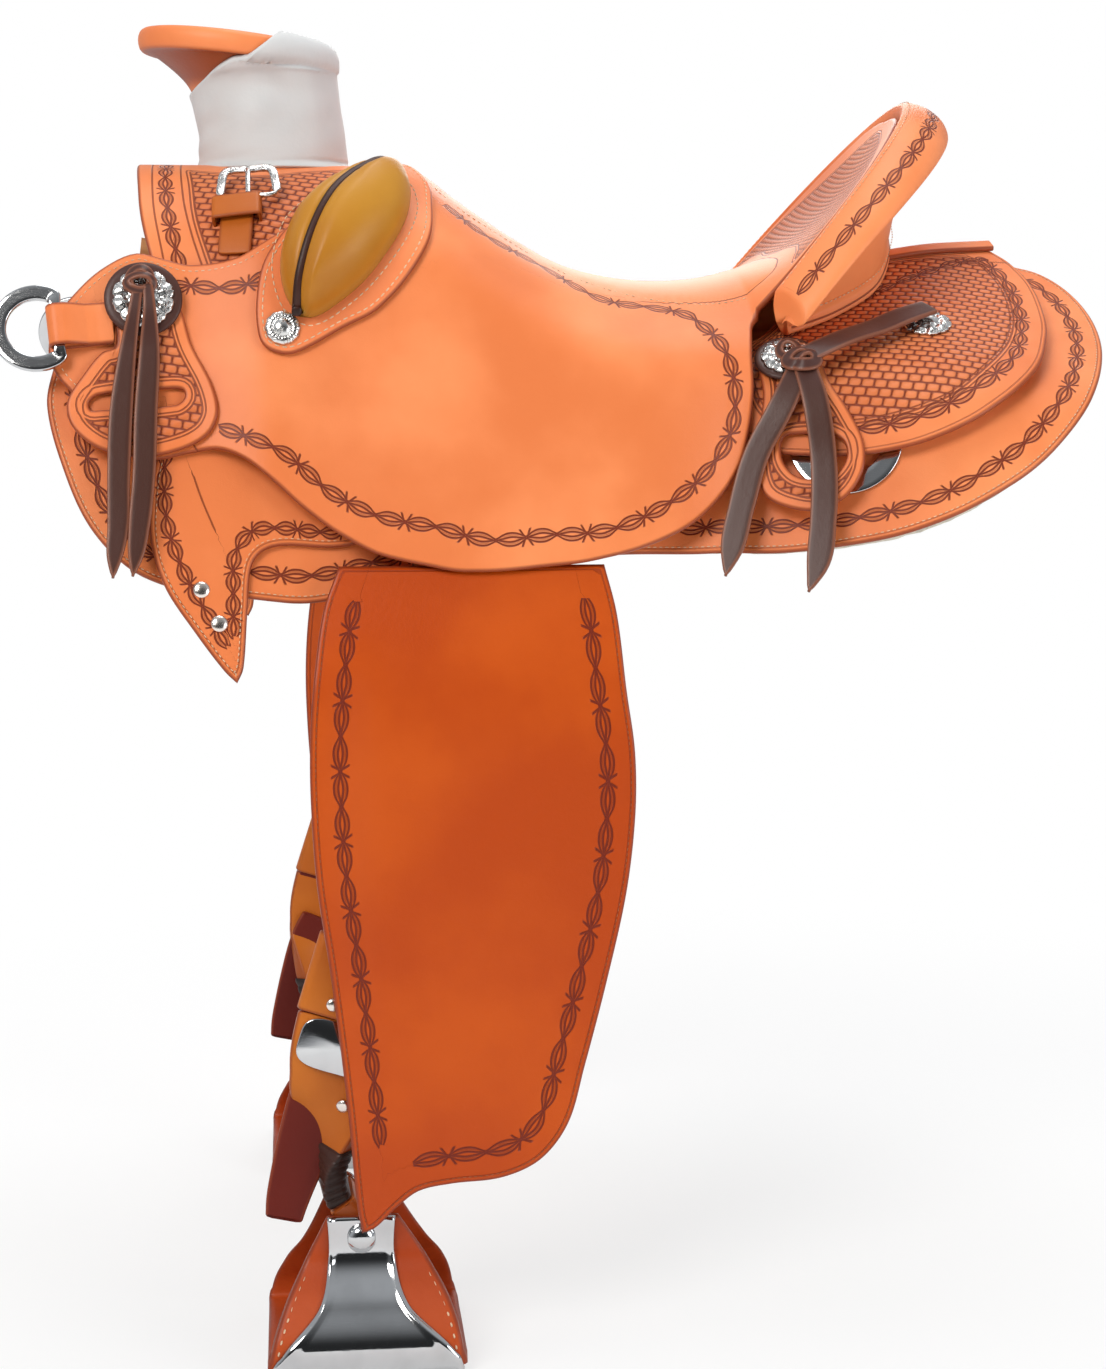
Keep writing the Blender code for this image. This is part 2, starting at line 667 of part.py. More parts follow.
# Cantle: wood, then back leather and roll around the rim
WALL_FOOT_ANGLE = [0, 20, 45, 66, 90]
WALL_FOOT_X = [248, 243, 223, 190, 147]
WALL_FOOT_U = [0, 26, 73, 103, 125]
ROLL_DROP = math.radians(27)


def rim(degrees):
    """Rim point, outward direction and foot of the back at an angle from the centre."""
    a = math.radians(abs(degrees))
    x = CORNER_X + (TOP_X - CORNER_X) * math.cos(a) ** (1 / 1.1)
    y = RIM_HALF * math.sin(a)
    point = np.array([x, -y, CORNER_Z + (TOP_Z - CORNER_Z) * (x - CORNER_X) / (TOP_X - CORNER_X)])
    swing = math.radians(62) * float(smooth(0, 80, math.degrees(a)))
    outward = np.array([math.cos(swing), -math.sin(swing), 0])
    fx = float(through(math.degrees(a), WALL_FOOT_ANGLE, WALL_FOOT_X))
    fu = float(through(math.degrees(a), WALL_FOOT_ANGLE, WALL_FOOT_U))
    foot = back_spot(fx, fu, REAR_JOCKEY_TOP + LAY + 0.4)
    if degrees < 0:
        flip = np.array([1, -1, 1])
        return point * flip, outward * flip, foot * flip
    return point, outward, foot


def rim_section(degrees):
    point, outward, foot = rim(degrees)
    up = np.array([0, 0, 1.0])
    e = outward * math.cos(ROLL_DROP) - up * math.sin(ROLL_DROP)
    f = outward * math.sin(ROLL_DROP) + up * math.cos(ROLL_DROP)
    return [point + e * 1.0, point + e * 4 + f * 6, point + e * 18 + f * 8.5,
            point + e * 33 + f * 4.5, point + e * 39 - f * 2, point + e * 33 - f * 7,
            point + e * 19 - f * 7, foot + outward * 0.0, foot - outward * 3.5 + up * 0.2,
            point + e * 13 - f * 14, point + e * 5 - f * 8]



def rim_angle(x):
    return math.degrees(math.acos(((x - CORNER_X) / (TOP_X - CORNER_X)) ** 1.1))


RIM_HALF_STEPS = [84.0] + [rim_angle(x) for x in (150, 173, 196, 215, 230, 241, 248)]
RIM_STEPS = RIM_HALF_STEPS + [0.0] + [-a for a in RIM_HALF_STEPS[::-1]]
loft("cantle_roll", [rim_section(a) for a in RIM_STEPS], LEATHER)


def under_seat(p, t):
    """The point of the seat form straight over p, moved by t along the form's normal."""
    up = np.clip((p[0] - CORNER_X) / (TOP_X - CORNER_X), 0, 1)
    half = RIM_HALF * math.sqrt(max(1 - up**2.2, 1e-4))
    return seat_spot(p[0], 100 * min(-p[1] / half, 1.0) if p[1] < 0 else
                     -100 * min(p[1] / half, 1.0), t)


def cantle_section(degrees):
    point, outward, foot = rim(degrees)
    up = np.array([0, 0, 1.0])
    rise = (point[2] - foot[2]) / 110
    ring = [under_seat(point - outward * inward, t)
            for inward, t in ((9, -8.0), (26 * rise + 8, -10.0), (46 * rise + 10, -9.0))]
    base = foot - outward * (18 + 12 * rise)
    base = back_spot(base[0], -base[1] / math.cos(math.radians(SLOPE_TOP + 4)),
                     REAR_JOCKEY_TOP + 2.0)
    base[2] = min(base[2], ring[-1][2] - 4)
    ring.append(base)
    ring.append(foot - outward * 5.5 + up * 2.0)
    ring.append(point + outward * 3.0 - up * 17)
    return ring


CANTLE_STEPS = [-rim_angle(x) for x in (173, 196, 215, 230, 241, 248)]
loft("tree_cantle", [cantle_section(a) for a in CANTLE_STEPS + [0.0] + [-a for a in
                                                                       CANTLE_STEPS[::-1]]], WOOD)

# Horn: neck and cap in one leather covered piece
RING = 20


def ellipse(cx, z, radius, tilt=0.0, width=1.0, on_fork=False, gap=0.6):
    points = []
    for k in range(RING):
        a = 2 * math.pi * k / RING
        x, y = cx + radius * math.cos(a), radius * width * math.sin(a)
        if on_fork:
            half = seat_section(np.array(x))
            part = abs(y) / float(half[1])
            top = float(through(x, SEAT_X, SEAT_Z))
            height = top + (float(half[0]) - top) * part**3 + FORK_SKIN_TOP + gap
        else:
            height = z - math.tan(tilt) * (x - cx)
        points.append((x, y, height))
    return points


horn_rings = [ellipse(HORN_X, 0, 26, on_fork=True), ellipse(HORN_X, 0, NECK_RADIUS - 0.5, on_fork=True),
              ellipse(HORN_X, 122, NECK_RADIUS - 1), ellipse(HORN_X - 4, 148, NECK_RADIUS - 3),
              ellipse(HORN_X - 12, 170, NECK_RADIUS - 1.5),
              ellipse(CAP_X + 3, CAP_Z - 5, CAP_RADIUS - 7, CAP_TILT, 0.94),
              ellipse(CAP_X, CAP_Z, CAP_RADIUS, CAP_TILT, 0.94),
              ellipse(CAP_X, CAP_Z + 6, CAP_RADIUS + 1.5, CAP_TILT, 0.94),
              ellipse(CAP_X, CAP_Z + CAP_THICK, CAP_RADIUS - 2, CAP_TILT, 0.94),
              ellipse(CAP_X, CAP_Z + CAP_THICK + 1.5, CAP_RADIUS - 12, CAP_TILT, 0.94)]
loft("horn", horn_rings, LEATHER, shade=True)

# Horn wrap: a close fitting tube around the neck
wrap_low = ellipse(HORN_X, 0, NECK_RADIUS + 0.6, on_fork=True, gap=1.0)
wrap_outer_low = ellipse(HORN_X, 0, NECK_RADIUS + WRAP + 1, on_fork=True, gap=1.0)
wrap_rows = [
    wrap_low, wrap_outer_low,
    ellipse(HORN_X - 4, 148, NECK_RADIUS + WRAP - 0.5),
    ellipse(HORN_X - 11.5, 168, NECK_RADIUS + WRAP + 1),
    ellipse(HORN_X - 11.4, 168, NECK_RADIUS - 0.4),
    ellipse(HORN_X - 4, 148, NECK_RADIUS - 1.8)]


loft("horn_wrap", wrap_rows, WHITE, closed=True, shade=True)

# Bucking rolls
ROLL_EDGE = rounded([
    (-200, 208), (-195, 217), (-182, 221), (-170, 217), (-146, 203), (-123, 190), (-104, 166),
    (-89, 132), (-86, 96), (-88, 74), (-100, 61), (-117, 76), (-138, 91), (-160, 108),
    (-182, 135), (-196, 158), (-201, 184)], 30)
ROLL_AT = LAY
ROLL_BASE = 4.0
panel("bucking_roll_base_left", SEAT, ROLL_EDGE, ROLL_AT, ROLL_AT + ROLL_BASE, TAN)
PAD_EDGE = rounded([
    (-186, 166), (-183, 144), (-173, 123), (-148, 99), (-120, 87), (-105, 91), (-101, 108),
    (-108, 136), (-125, 164), (-145, 184), (-167, 197), (-180, 188)], 12)
PAD_CENTRE = (-143.5, 142.0)
PAD_AXIS = math.atan2(104, -72)
PAD_LONG = 66.0
PAD_SHORT = 38.0
PAD_HEIGHT = 30.0


def pad_top(x, w):
    dx, dw = x - PAD_CENTRE[0], w - PAD_CENTRE[1]
    long_way = dx * math.cos(PAD_AXIS) + dw * math.sin(PAD_AXIS)
    short_way = -dx * math.sin(PAD_AXIS) + dw * math.cos(PAD_AXIS)
    r = np.clip((long_way / PAD_LONG) ** 2 + (short_way / PAD_SHORT) ** 2, 0, 1)
    return ROLL_AT + ROLL_BASE + LAY + 1.5 + PAD_HEIGHT * np.sqrt(1 - r**1.15)


panel("bucking_roll_pad_left", SEAT, PAD_EDGE, ROLL_AT + ROLL_BASE + LAY, pad_top, GOLD,
      extra_x=range(-178, -90, 16), extra_u=range(94, 210, 16), shade=True)

# Latigo keepers in front and flank keepers behind, both pear shaped with a slot
LATIGO_AT = LAY
LATIGO_EDGE = rounded([
    (-291, 216), (-291, 196), (-290, 176), (-276, 170), (-260, 172), (-250, 190), (-243, 214),
    (-230, 240), (-226, 260), (-233, 275), (-251, 285), (-276, 290), (-301, 285), (-318, 271),
    (-322, 254), (-311, 234), (-300, 220)], 26)
LATIGO_SLOT = rounded([(-308, 254), (-302, 249), (-256, 244), (-249, 245), (-248, 250),
                       (-254, 255), (-301, 259), (-307, 259)], 40)
panel("latigo_keeper_left", SEAT, LATIGO_EDGE, LATIGO_AT, LATIGO_AT + KEEPER, LEATHER,
      holes=[LATIGO_SLOT])
FLANK_EDGE = rounded([
    (131, 152), (131, 176), (127, 196), (125, 216), (129, 239), (142, 252), (162, 261),
    (180, 257), (191, 242), (192, 222), (184, 200), (174, 180), (168, 160), (150, 142)], 26)
FLANK_SLOT = rounded([(143, 205), (158, 207), (171, 211), (180, 220), (181, 231), (174, 240),
                      (160, 239), (148, 232), (141, 218)], 30)
panel("flank_keeper_left", BACK, FLANK_EDGE, FLANK_AT, FLANK_AT + KEEPER, LEATHER,
      holes=[FLANK_SLOT])


# Dees: a flat band with a straight rod
def dee(name, radius, band, thick, rod_half, rod):
    """A flat band around most of a circle, closed by a straight rod along local Y at +X."""
    reach = math.sqrt((radius - band / 2) ** 2 - rod_half**2)
    profile = [(radius - band, thick / 2), (radius - 1.2, thick / 2), (radius, 0),
               (radius - 1.2, -thick / 2), (radius - band, -thick / 2)]
    start = math.atan2(rod_half, reach)
    steps = 18
    rings = []
    for k in range(steps + 1):
        a = start + (2 * math.pi - 2 * start) * k / steps
        rings.append([(r * math.cos(a), r * math.sin(a), z) for r, z in profile])
    made = loft(name, rings, STEEL, shade=False)
    bar_part = cylinder(name + "_rod", (reach, -rod_half - 1.0, 0), (reach, rod_half + 1.0, 0),
                        rod, STEEL, 12)
    boolean(made, bar_part, "UNION")
    return made, reach


ROD_HALF = 20.0
LOOP_INNER = ROD + 0.6
LOOP_LEATHER = 2.4
LOOP_HALF = 14.0
LOOP_LENGTH = 35.0
ROD_X = -328.0
ROD_W = 204.0
ROD_AT = LATIGO_AT + LOOP_LEATHER + LOOP_INNER
front_dee, front_reach = dee("front_dee_left", FRONT_RING, RING_BAND, RING_THICK, ROD_HALF, ROD)
ROD_POINT, ROD_OUT = spot(SEAT, ROD_X, ROD_W, ROD_AT)
ROD_FORWARD = seat_spot(ROD_X + LOOP_LENGTH, ROD_W - 4, ROD_AT + 0.3) - ROD_POINT
ROD_FORWARD /= np.linalg.norm(ROD_FORWARD)
ROD_OUT = ROD_OUT - ROD_FORWARD * np.dot(ROD_OUT, ROD_FORWARD)
ROD_OUT /= np.linalg.norm(ROD_OUT)
ROD_ALONG = np.cross(ROD_OUT, ROD_FORWARD)
stand(front_dee, ROD_POINT - ROD_FORWARD * front_reach, ROD_OUT, ROD_FORWARD)

# Dee loops: a strap folded around the rod
LOOP_OUTER = LOOP_INNER + LOOP_LEATHER
loop_line = [(LOOP_OUTER * math.cos(a), LOOP_OUTER * math.sin(a))
             for a in (math.pi * (0.5 + k / 8) for k in range(9))]
loop_line += [(LOOP_LENGTH, -LOOP_OUTER), (LOOP_LENGTH, KEEPER - LOOP_OUTER),
              (LOOP_LENGTH - 10, KEEPER - LOOP_OUTER + 0.5), (13.0, 2.6), (4.0, LOOP_OUTER)]
dee_loop = loft("dee_loop_left", [[ROD_POINT + ROD_FORWARD * a + ROD_OUT * b + ROD_ALONG * shift
                                   for a, b in loop_line] for shift in (-LOOP_HALF, LOOP_HALF)],
                LEATHER)
tunnel = cylinder("tunnel", ROD_POINT - ROD_ALONG * 30, ROD_POINT + ROD_ALONG * 30, LOOP_INNER,
                  steps=16, cutter=True)
boolean(dee_loop, tunnel, "DIFFERENCE")

# Rear dees, flat plates hung between skirt and jockey
rear_dee, rear_reach = dee("rear_dee_left", REAR_RING, 13.0, 3.0, 20.0, 1.6)
REAR_DEE_X = 181.0
REAR_DEE_U = 214.0
dee_point, dee_normal = spot(BACK, REAR_DEE_X, REAR_DEE_U, PLATE_AT + 1.6)
dee_down = back_spot(REAR_DEE_X, REAR_DEE_U + 25, 7) - back_spot(REAR_DEE_X, REAR_DEE_U - 25, 7)
dee_down = dee_down - dee_normal * np.dot(dee_down, dee_normal)
stand(rear_dee, dee_point, dee_normal, -dee_down)
REAR_DEE_TOP = dee_point - dee_down / np.linalg.norm(dee_down) * rear_reach


# Conchos: a leather rosette with a domed silver plate
def concho(name, rosette, plate, thick=3.0, steps=20):
    profile = []
    if rosette:
        profile = [(0, 0), (rosette, 0), (rosette, thick - 0.8), (rosette - 0.8, thick),
                   (plate, thick)]
        base = thick
    else:
        profile = [(0, 0), (plate, 0)]
        base = 0
    profile += [(plate, base + 1.2), (plate * 0.6, base + 3.6), (0, base + 4.6)]
    return turned(name, profile[::-1], SILVER, steps)


def concho_at(name, form, x, u, t, rosette, plate):
    made = concho(name, rosette, plate)
    point, normal = spot(form, x, u, t)
    stand(made, point, normal, (1, 0, 0))
    return made


FRONT_CONCHO = (-274.0, 185.0)
REAR_CONCHO = (148.0, 158.0)
BACK_CONCHO = (249.0, 128.0)
concho_at("front_concho_left", SEAT, *FRONT_CONCHO, LATIGO_AT + KEEPER + 1.0, 24.0, 19.0)
concho_at("rear_concho_left", BACK, *REAR_CONCHO, FLANK_AT + KEEPER + 0.6, 20.5, 16.5)
concho_at("back_concho_left", BACK, *BACK_CONCHO, REAR_JOCKEY_TOP + 0.8, 0, 17.0)


# Saddle strings: one body each side, two strands hanging from a knot
def strings(name, form, centre, strands, above, bridge):
    """Flat strands given as lists of (x, u, height, half width)."""
    low, high = above - 0.8, above + bridge
    point, normal = spot(form, *centre, low)
    across = np.cross(normal, [0, 0, 1.0])
    across /= np.linalg.norm(across)
    down = np.cross(normal, across)
    made = block(name, (-11, -8, 0), (11, 8, high - low),
                 lambda p: point + across * p[0] + down * p[1] + normal * p[2], DARK)
    for k, strand in enumerate(strands):
        rings = []
        for i, (x, u, t, half) in enumerate(strand):
            here, facing = spot(form, x, u, t)
            ahead = strand[min(i + 1, len(strand) - 1)]
            behind = strand[max(i - 1, 0)]
            along = spot(form, *ahead[:3])[0] - spot(form, *behind[:3])[0]
            side = np.cross(along, facing)
            side /= np.linalg.norm(side)
            rings.append([here - side * half, here + side * half,
                          here + side * half + facing * 3.0, here - side * half + facing * 3.0])
        boolean(made, loft(name + str(k), rings, DARK), "UNION")
    return made


CONCHO_TOP_FRONT = LATIGO_AT + KEEPER + 1.0 + 3.0 + 4.6 - 0.2
CONCHO_TOP_REAR = FLANK_AT + KEEPER + 0.6 + 3.0 + 4.6 + 1.4
HANGING = LATIGO_AT + KEEPER + 3.2
FLANK_HANGING = FLANK_AT + KEEPER + 2.8
strings("front_strings_left", SEAT, (-277, 172), [
    [(-281, 170, CONCHO_TOP_FRONT + 1.0, 7.5), (-282, 192, CONCHO_TOP_FRONT + 1.0, 7.2),
     (-286, 218, HANGING + 1.5, 7.2), (-288, 262, HANGING, 7.2), (-289, 305, HANGING, 7.2),
     (-290, 340, HANGING, 6.6), (-292, 358, HANGING, 5), (-293, 372, HANGING, 1.2)],
    [(-273, 170, CONCHO_TOP_FRONT + 1.8, 7.5), (-270, 192, CONCHO_TOP_FRONT + 1.6, 7.2),
     (-271, 218, HANGING + 2.2, 7.2), (-272, 262, HANGING + 1, 7.2),
     (-274, 305, HANGING + 1, 7.2), (-277, 338, HANGING + 1, 6.6), (-279, 356, HANGING + 1, 5),
     (-281, 370, HANGING + 1, 1.2)]],
    CONCHO_TOP_FRONT + 1.0, 5.5)
strings("rear_strings_left", BACK, (156, 170), [
    [(162, 166, CONCHO_TOP_REAR + 1.0, 9), (146, 182, CONCHO_TOP_REAR - 1.0, 8.5),
     (127, 210, FLANK_HANGING, 8.5), (115, 245, FLANK_HANGING, 8.5), (108, 272, FLANK_HANGING, 7),
     (104, 286, FLANK_HANGING, 1.2)],
    [(154, 166, CONCHO_TOP_REAR + 2.2, 9), (163, 190, CONCHO_TOP_REAR + 0.2, 8.5),
     (167, 230, FLANK_HANGING + 1.2, 8.5), (165, 270, FLANK_HANGING + 1.2, 8.5),
     (160, 300, FLANK_HANGING + 1.2, 7), (154, 315, FLANK_HANGING + 1.2, 1.2)],
    [(150, 172, CONCHO_TOP_REAR + 3.6, 9), (172, 166, CONCHO_TOP_REAR + 1.6, 8),
     (205, 148, FLANK_HANGING + 2, 8), (232, 132, FLANK_HANGING + 2, 8),
     (262, 112, FLANK_HANGING + 2, 7)]], CONCHO_TOP_REAR, 8)

# Stirrup leathers: a strap folded over the carrier, with the top of the fender
FOLD_CLEAR = 0.6
FOLD = DISC_RADIUS + FOLD_CLEAR
HIDDEN_TAPER = 13.0
SLANT = [(22.0, 0.0), (46.0, 11.0), (88.0, 18.0)]


def fold_path(v):
    """Radius from the pivot and outward position of the strap's inner face at length v along it,
    with the direction of its thickness. v is 0 at the pivot's height and grows over the fold."""
    corner = 1.0
    rise = FOLD - corner
    quarter = corner * math.pi / 2
    width = STRAP_AT - DISC_INNER + 0.5 - 2 * corner
    if v <= rise:
        return v, STRAP_AT, (0.0, 1.0)
    if v <= rise + quarter:
        a = (v - rise) / corner
        return (rise + corner * math.sin(a), STRAP_AT - corner + corner * math.cos(a),
                (math.sin(a), math.cos(a)))
    if v <= rise + quarter + width:
        return FOLD, STRAP_AT - corner - (v - rise - quarter), (1.0, 0.0)
    if v <= rise + 2 * quarter + width:
        a = (v - rise - quarter - width) / corner
        return (rise + corner * math.cos(a), DISC_INNER - 0.5 + corner - corner * math.sin(a),
                (math.cos(a), -math.sin(a)))
    return rise - (v - rise - 2 * quarter - width), DISC_INNER - 0.5, (0.0, -1.0)


def fold_point(a, v, t):
    """The strap pattern bent over the carrier: a across, v along, t through its thickness."""
    radius, out, (tr, to) = fold_path(v)
    radius, out = radius + tr * t, out + to * t
    if radius <= 0:
        return side_plane(a, radius, out)
    blend = float(smooth(0, 30, radius))
    angle = a / FOLD
    fx = a + (radius * math.sin(angle) - a) * blend
    fz = radius + (radius * math.cos(angle) - radius) * blend
    return side_plane(fx, fz, out)


def stirrup_leather(name):
    path = [-HINGE_DOWN + HINGE_GAP, 0, 15, 30, 45.6, 46.4, 47.17, 58.17, 58.95, 59.74, 62.0]
    rings = []
    for v in path:
        half = STRAP_WIDTH / 2 - HIDDEN_TAPER * float(smooth(47, 58.5, v))
        across = [half * (k / 5 - 1) for k in range(11)]
        ring = [fold_point(a, v, 0) for a in across]
        ring += [fold_point(a, v, STRAP) for a in across[::-1]]
        rings.append(ring)
    strap = loft(name, rings, LEATHER)
    neck = [(-87, -HINGE_DOWN + HINGE_GAP), (-86, -104), (-80, -92), (-66, -78), (-40, -68), (0, -64),
            (40, -68), (66, -78), (80, -92), (87, -104),
            *((a, -HINGE_DOWN - v + HINGE_GAP + 0.02 * v) for a, v in SLANT[::-1])]
    cover = loft(name + "_neck", [[side_plane(a, v, FENDER_AT - 0.6) for a, v in neck],
                                  [side_plane(a, v, FENDER_AT + FENDER) for a, v in neck]], LEATHER)
    boolean(strap, cover, "UNION")
    return strap


stirrup_leather("stirrup_leather_left")

# Fenders
FENDER_EDGE = rounded([
    (-153, HINGE_GAP, 1), (-161, 16), (-168, 60), (-171, 100), (-171, 139), (-168, 190), (-160, 250),
    (-151, 330), (-145, 400), (-142, 416, 1), (-134, 414), (-119, 401), (-105, 391), (-84, 387),
    (-51, 384), (-26, 373), (-8, 350), (3, 313), (18, 257), (31, 200), (37, 150), (37, 110),
    (32, 70), (27, 36),
    *((PIVOT_X + a, v + HINGE_GAP, 1) for a, v in SLANT[::-1])], 60)
panel("fender_left", HANG, FENDER_EDGE, 0, FENDER, LEATHER)


# Lower stirrup leathers: a doubled strap that turns a quarter before the bolt
LOWER_THICK = 8.0
LOWER_PATH = [
    # x, v on the hanging form, height of the middle above it, turn in degrees, width, thickness
    (-66, HINGE_GAP, -5.0, 0, LOWER_TOP, 8), (-70, 30, -6.0, 0, LOWER_WIDTH, 8),
    (-79, 80, -8.0, 0, LOWER_WIDTH, 8), (-88, 130, -9.0, 0, LOWER_WIDTH, 8),
    (-107, 190, -9.0, 0, LOWER_WIDTH, 8), (-137, 285, -9.0, 0, LOWER_WIDTH, 8),
    (-149, 320, -12.0, 0, 56, 8), (-154, 340, -17.0, 20, 50, 9), (-159, 358, -23.0, 45, 44, 10),
    (-161, 376, -28.0, 72, 41, 11), (-157, 394, -32.0, 90, 40, 12), (-148, 409, -34.0, 90, 40, 13),
    (-143, 416, -34.5, 90, 40, 13)]
TAIL_PATH = [(-141, 292, -14.0, 19), (-160, 325, -18.0, 19), (-175, 360, -19.0, 17),
             (-188, 395, -20.0, 14), (-192, 413, -20.0, 12)]


def lower_spot(x, v, t):
    base = hang(np.array(float(x)), np.array(float(v)))
    ahead = hang(np.array(float(x)), np.array(float(v) + 1)) - base
    ahead /= np.linalg.norm(ahead)
    normal = np.cross(ahead, [1.0, 0, 0])
    if normal[1] > 0:
        normal = -normal
    return base + normal * t, ahead, normal


def lower_rings():
    places = [lower_spot(x, v, t)[0] for x, v, t, *_ in LOWER_PATH]
    rings = []
    for i, (x, v, t, twist, width, thick) in enumerate(LOWER_PATH):
        point, _, normal = lower_spot(x, v, t)
        along = places[min(i + 1, len(places) - 1)] - places[max(i - 1, 0)]
        if i == 0:
            along = np.array(lower_spot(x, v, t)[1])
        along = along / np.linalg.norm(along)
        across = np.cross(along, normal)
        across /= np.linalg.norm(across)
        if across[0] < 0:
            across = -across
        face = np.cross(across, along)
        if face[1] > 0:
            face = -face
        a = math.radians(twist)
        wide = across * math.cos(a) + face * math.sin(a)
        thin = face * math.cos(a) - across * math.sin(a)
        rings.append([point - wide * width / 2 - thin * thick / 2,
                      point + wide * width / 2 - thin * thick / 2,
                      point + wide * width / 2 + thin * thick / 2,
                      point - wide * width / 2 + thin * thick / 2])
    return rings


lower = loft("lower_leather_left", lower_rings(), LEATHER)
BOLT_POINT = np.array(BOLT)
tail_rings = []
for x, v, t, half in TAIL_PATH:
    middle, _, face = lower_spot(x, v, t)
    tail_rings.append([middle + [-half, 0, 0] - face * 2, middle + [half, 0, 0] - face * 2,
                       middle + [half, 0, 0] + face * 2, middle + [-half, 0, 0] + face * 2])
boolean(lower, loft("tail", tail_rings, LEATHER), "UNION")
eye = cylinder("eye", BOLT_POINT - [0, 20.8, 0], BOLT_POINT + [0, 20.8, 0], 12.0, steps=16)
boolean(lower, eye, "UNION")
bore = cylinder("bore", BOLT_POINT - [0, 40, 0], BOLT_POINT + [0, 40, 0], BOLT_RADIUS + 0.6,
                steps=16, cutter=True)
boolean(lower, bore, "DIFFERENCE")


# Leather keepers: a sleeve that slides on the doubled strap
def strap_frame():
    """Frame on the straight part of the lower leather, between its fifth and sixth stations."""
    start, end = lower_spot(*LOWER_PATH[4][:3])[0], lower_spot(*LOWER_PATH[5][:3])[0]
    normal = lower_spot(*LOWER_PATH[4][:3])[2]
    along = (end - start) / np.linalg.norm(end - start)
    across = np.cross(along, normal)
    across /= np.linalg.norm(across)
    if across[0] < 0:
        across = -across
    face = np.cross(across, along)
    if face[1] > 0:
        face = -face
    return start, along, across, face


STRAP_START, STRAP_ALONG, STRAP_ACROSS, STRAP_FACE = strap_frame()


def on_strap(p):
    return STRAP_START + STRAP_ACROSS * p[0] + STRAP_ALONG * p[1] + STRAP_FACE * p[2]


SLEEVE_FROM = 44.0
SLEEVE_LENGTH = 52.0
SLEEVE_WALL = 2.6
SLEEVE_GAP = 0.6
sleeve_w = LOWER_WIDTH / 2 + SLEEVE_GAP
sleeve_t = 4.0 + SLEEVE_GAP
sleeve = block("leather_keeper_left", (-sleeve_w - SLEEVE_WALL, SLEEVE_FROM, -sleeve_t - SLEEVE_WALL),
               (sleeve_w + SLEEVE_WALL, SLEEVE_FROM + SLEEVE_LENGTH, sleeve_t + SLEEVE_WALL),
               on_strap)
hollow = block("hollow", (-sleeve_w, SLEEVE_FROM - 5, -sleeve_t),
               (sleeve_w, SLEEVE_FROM + SLEEVE_LENGTH + 5, sleeve_t), on_strap, cutter=True)
boolean(sleeve, hollow, "DIFFERENCE")

# Length buckles: a flat plate on the strap under the sleeve
buckle = block("length_buckle_left", (-27, 1.0, 4.0 + LAY), (27, 34.0, 4.0 + LAY + 2.0),
               lambda p: on_strap((p[0], SLEEVE_FROM + SLEEVE_LENGTH + 0.5 + p[1] - 0.0, p[2])),
               STEEL)
bevel = buckle.modifiers.new("corners", "BEVEL")
bevel.width = 0.0006
bevel.segments = 1
apply(buckle)


# Stirrups: a metal band with a leather covered wooden lining, hung on a bolt
def stirrup_path(drop=0.0):
    """The band's inner line in the plane across the horse: (sideways, down) from the bolt."""
    top, low, wide, foot = STIRRUP_TOP_HALF, STIRRUP_DROP, STIRRUP_BOTTOM_HALF, 8.0
    high = min(drop, 4.0)
    return [(-top + high, -14), (-top + high, 13), (-47 + drop * 0.9, 38),
            (-wide + 6 + drop * 0.9, low - foot - 6), (-wide + foot + drop * 0.6, low - 2 - drop),
            (-wide + 22, low - drop), (0, low - drop), (wide - 22, low - drop),
            (wide - foot - drop * 0.6, low - 2 - drop), (wide - 6 - drop * 0.9, low - foot - 6),
            (47 - drop * 0.9, 38), (top - high, 13), (top - high, -14)]


def band(name, inner, outer, widths, look):
    rings = []
    for (iy, iz), (oy, oz), (x0, x1) in zip(stirrup_path(inner), stirrup_path(outer), widths):
        rings.append([BOLT_POINT + (x0, iy, -iz), BOLT_POINT + (x1, iy, -iz),
                      BOLT_POINT + (x1, oy, -oz), BOLT_POINT + (x0, oy, -oz)])
    return loft(name, rings, look)


METAL = [(-22, 22), (-22, 22), (-28, 30), (-52, 58), (-60, 64), (-61, 64)]
METAL = METAL + [(-61, 64)] + METAL[::-1]
LINER = [(-22, 24), (-34, 40), (-46, 55), (-57, 63), (-60, 66), (-61, 67)]
LINER = LINER + [(-61, 67)] + LINER[::-1]
stirrup = band("stirrup_left", 0.0, -STIRRUP_METAL, METAL, STEEL)
binding = band("stirrup_binding_left", STIRRUP_LINER, 0.4, LINER, LEATHER)
for piece in (stirrup, binding):
    hole = cylinder("hole", BOLT_POINT - [0, 60, 0], BOLT_POINT + [0, 60, 0], BOLT_RADIUS + 0.4,
                    steps=16, cutter=True)
    boolean(piece, hole, "DIFFERENCE")

head = STIRRUP_TOP_HALF + STIRRUP_METAL + 0.5
bolt = turned("stirrup_bolt_left", [
    (0, -head - 4.0), (6.5, -head - 3.4), (9.0, -head - 1.2), (9.0, -head), (BOLT_RADIUS, -head),
    (BOLT_RADIUS, head), (9.0, head), (9.0, head + 3.0), (0, head + 3.0)][::-1],
    STEEL, 16)
stand(bolt, BOLT_POINT, (0, -1, 0), (1, 0, 0))

# Rope strap and its buckle, on the near side of the fork only
ROPE_AT = FORK_SKIN_TOP + LAY
rope_strap = panel("rope_strap", SEAT, rounded([
    (-228, 150, 1), (-229, 134), (-229, 112), (-221, 102, 1), (-206, 102, 1), (-198, 112),
    (-199, 132), (-206, 146, 1)], 30), ROPE_AT, ROPE_AT + 3.0, TAN)
frame_point, frame_normal = spot(SEAT, -206.0, 102.0, ROPE_AT + 3.2)
frame_down = seat_spot(-206, 118, 0) - seat_spot(-206, 94, 0)
frame_down /= np.linalg.norm(frame_down)
frame_across = np.cross(frame_down, frame_normal)
ROPE_ROD = frame_point


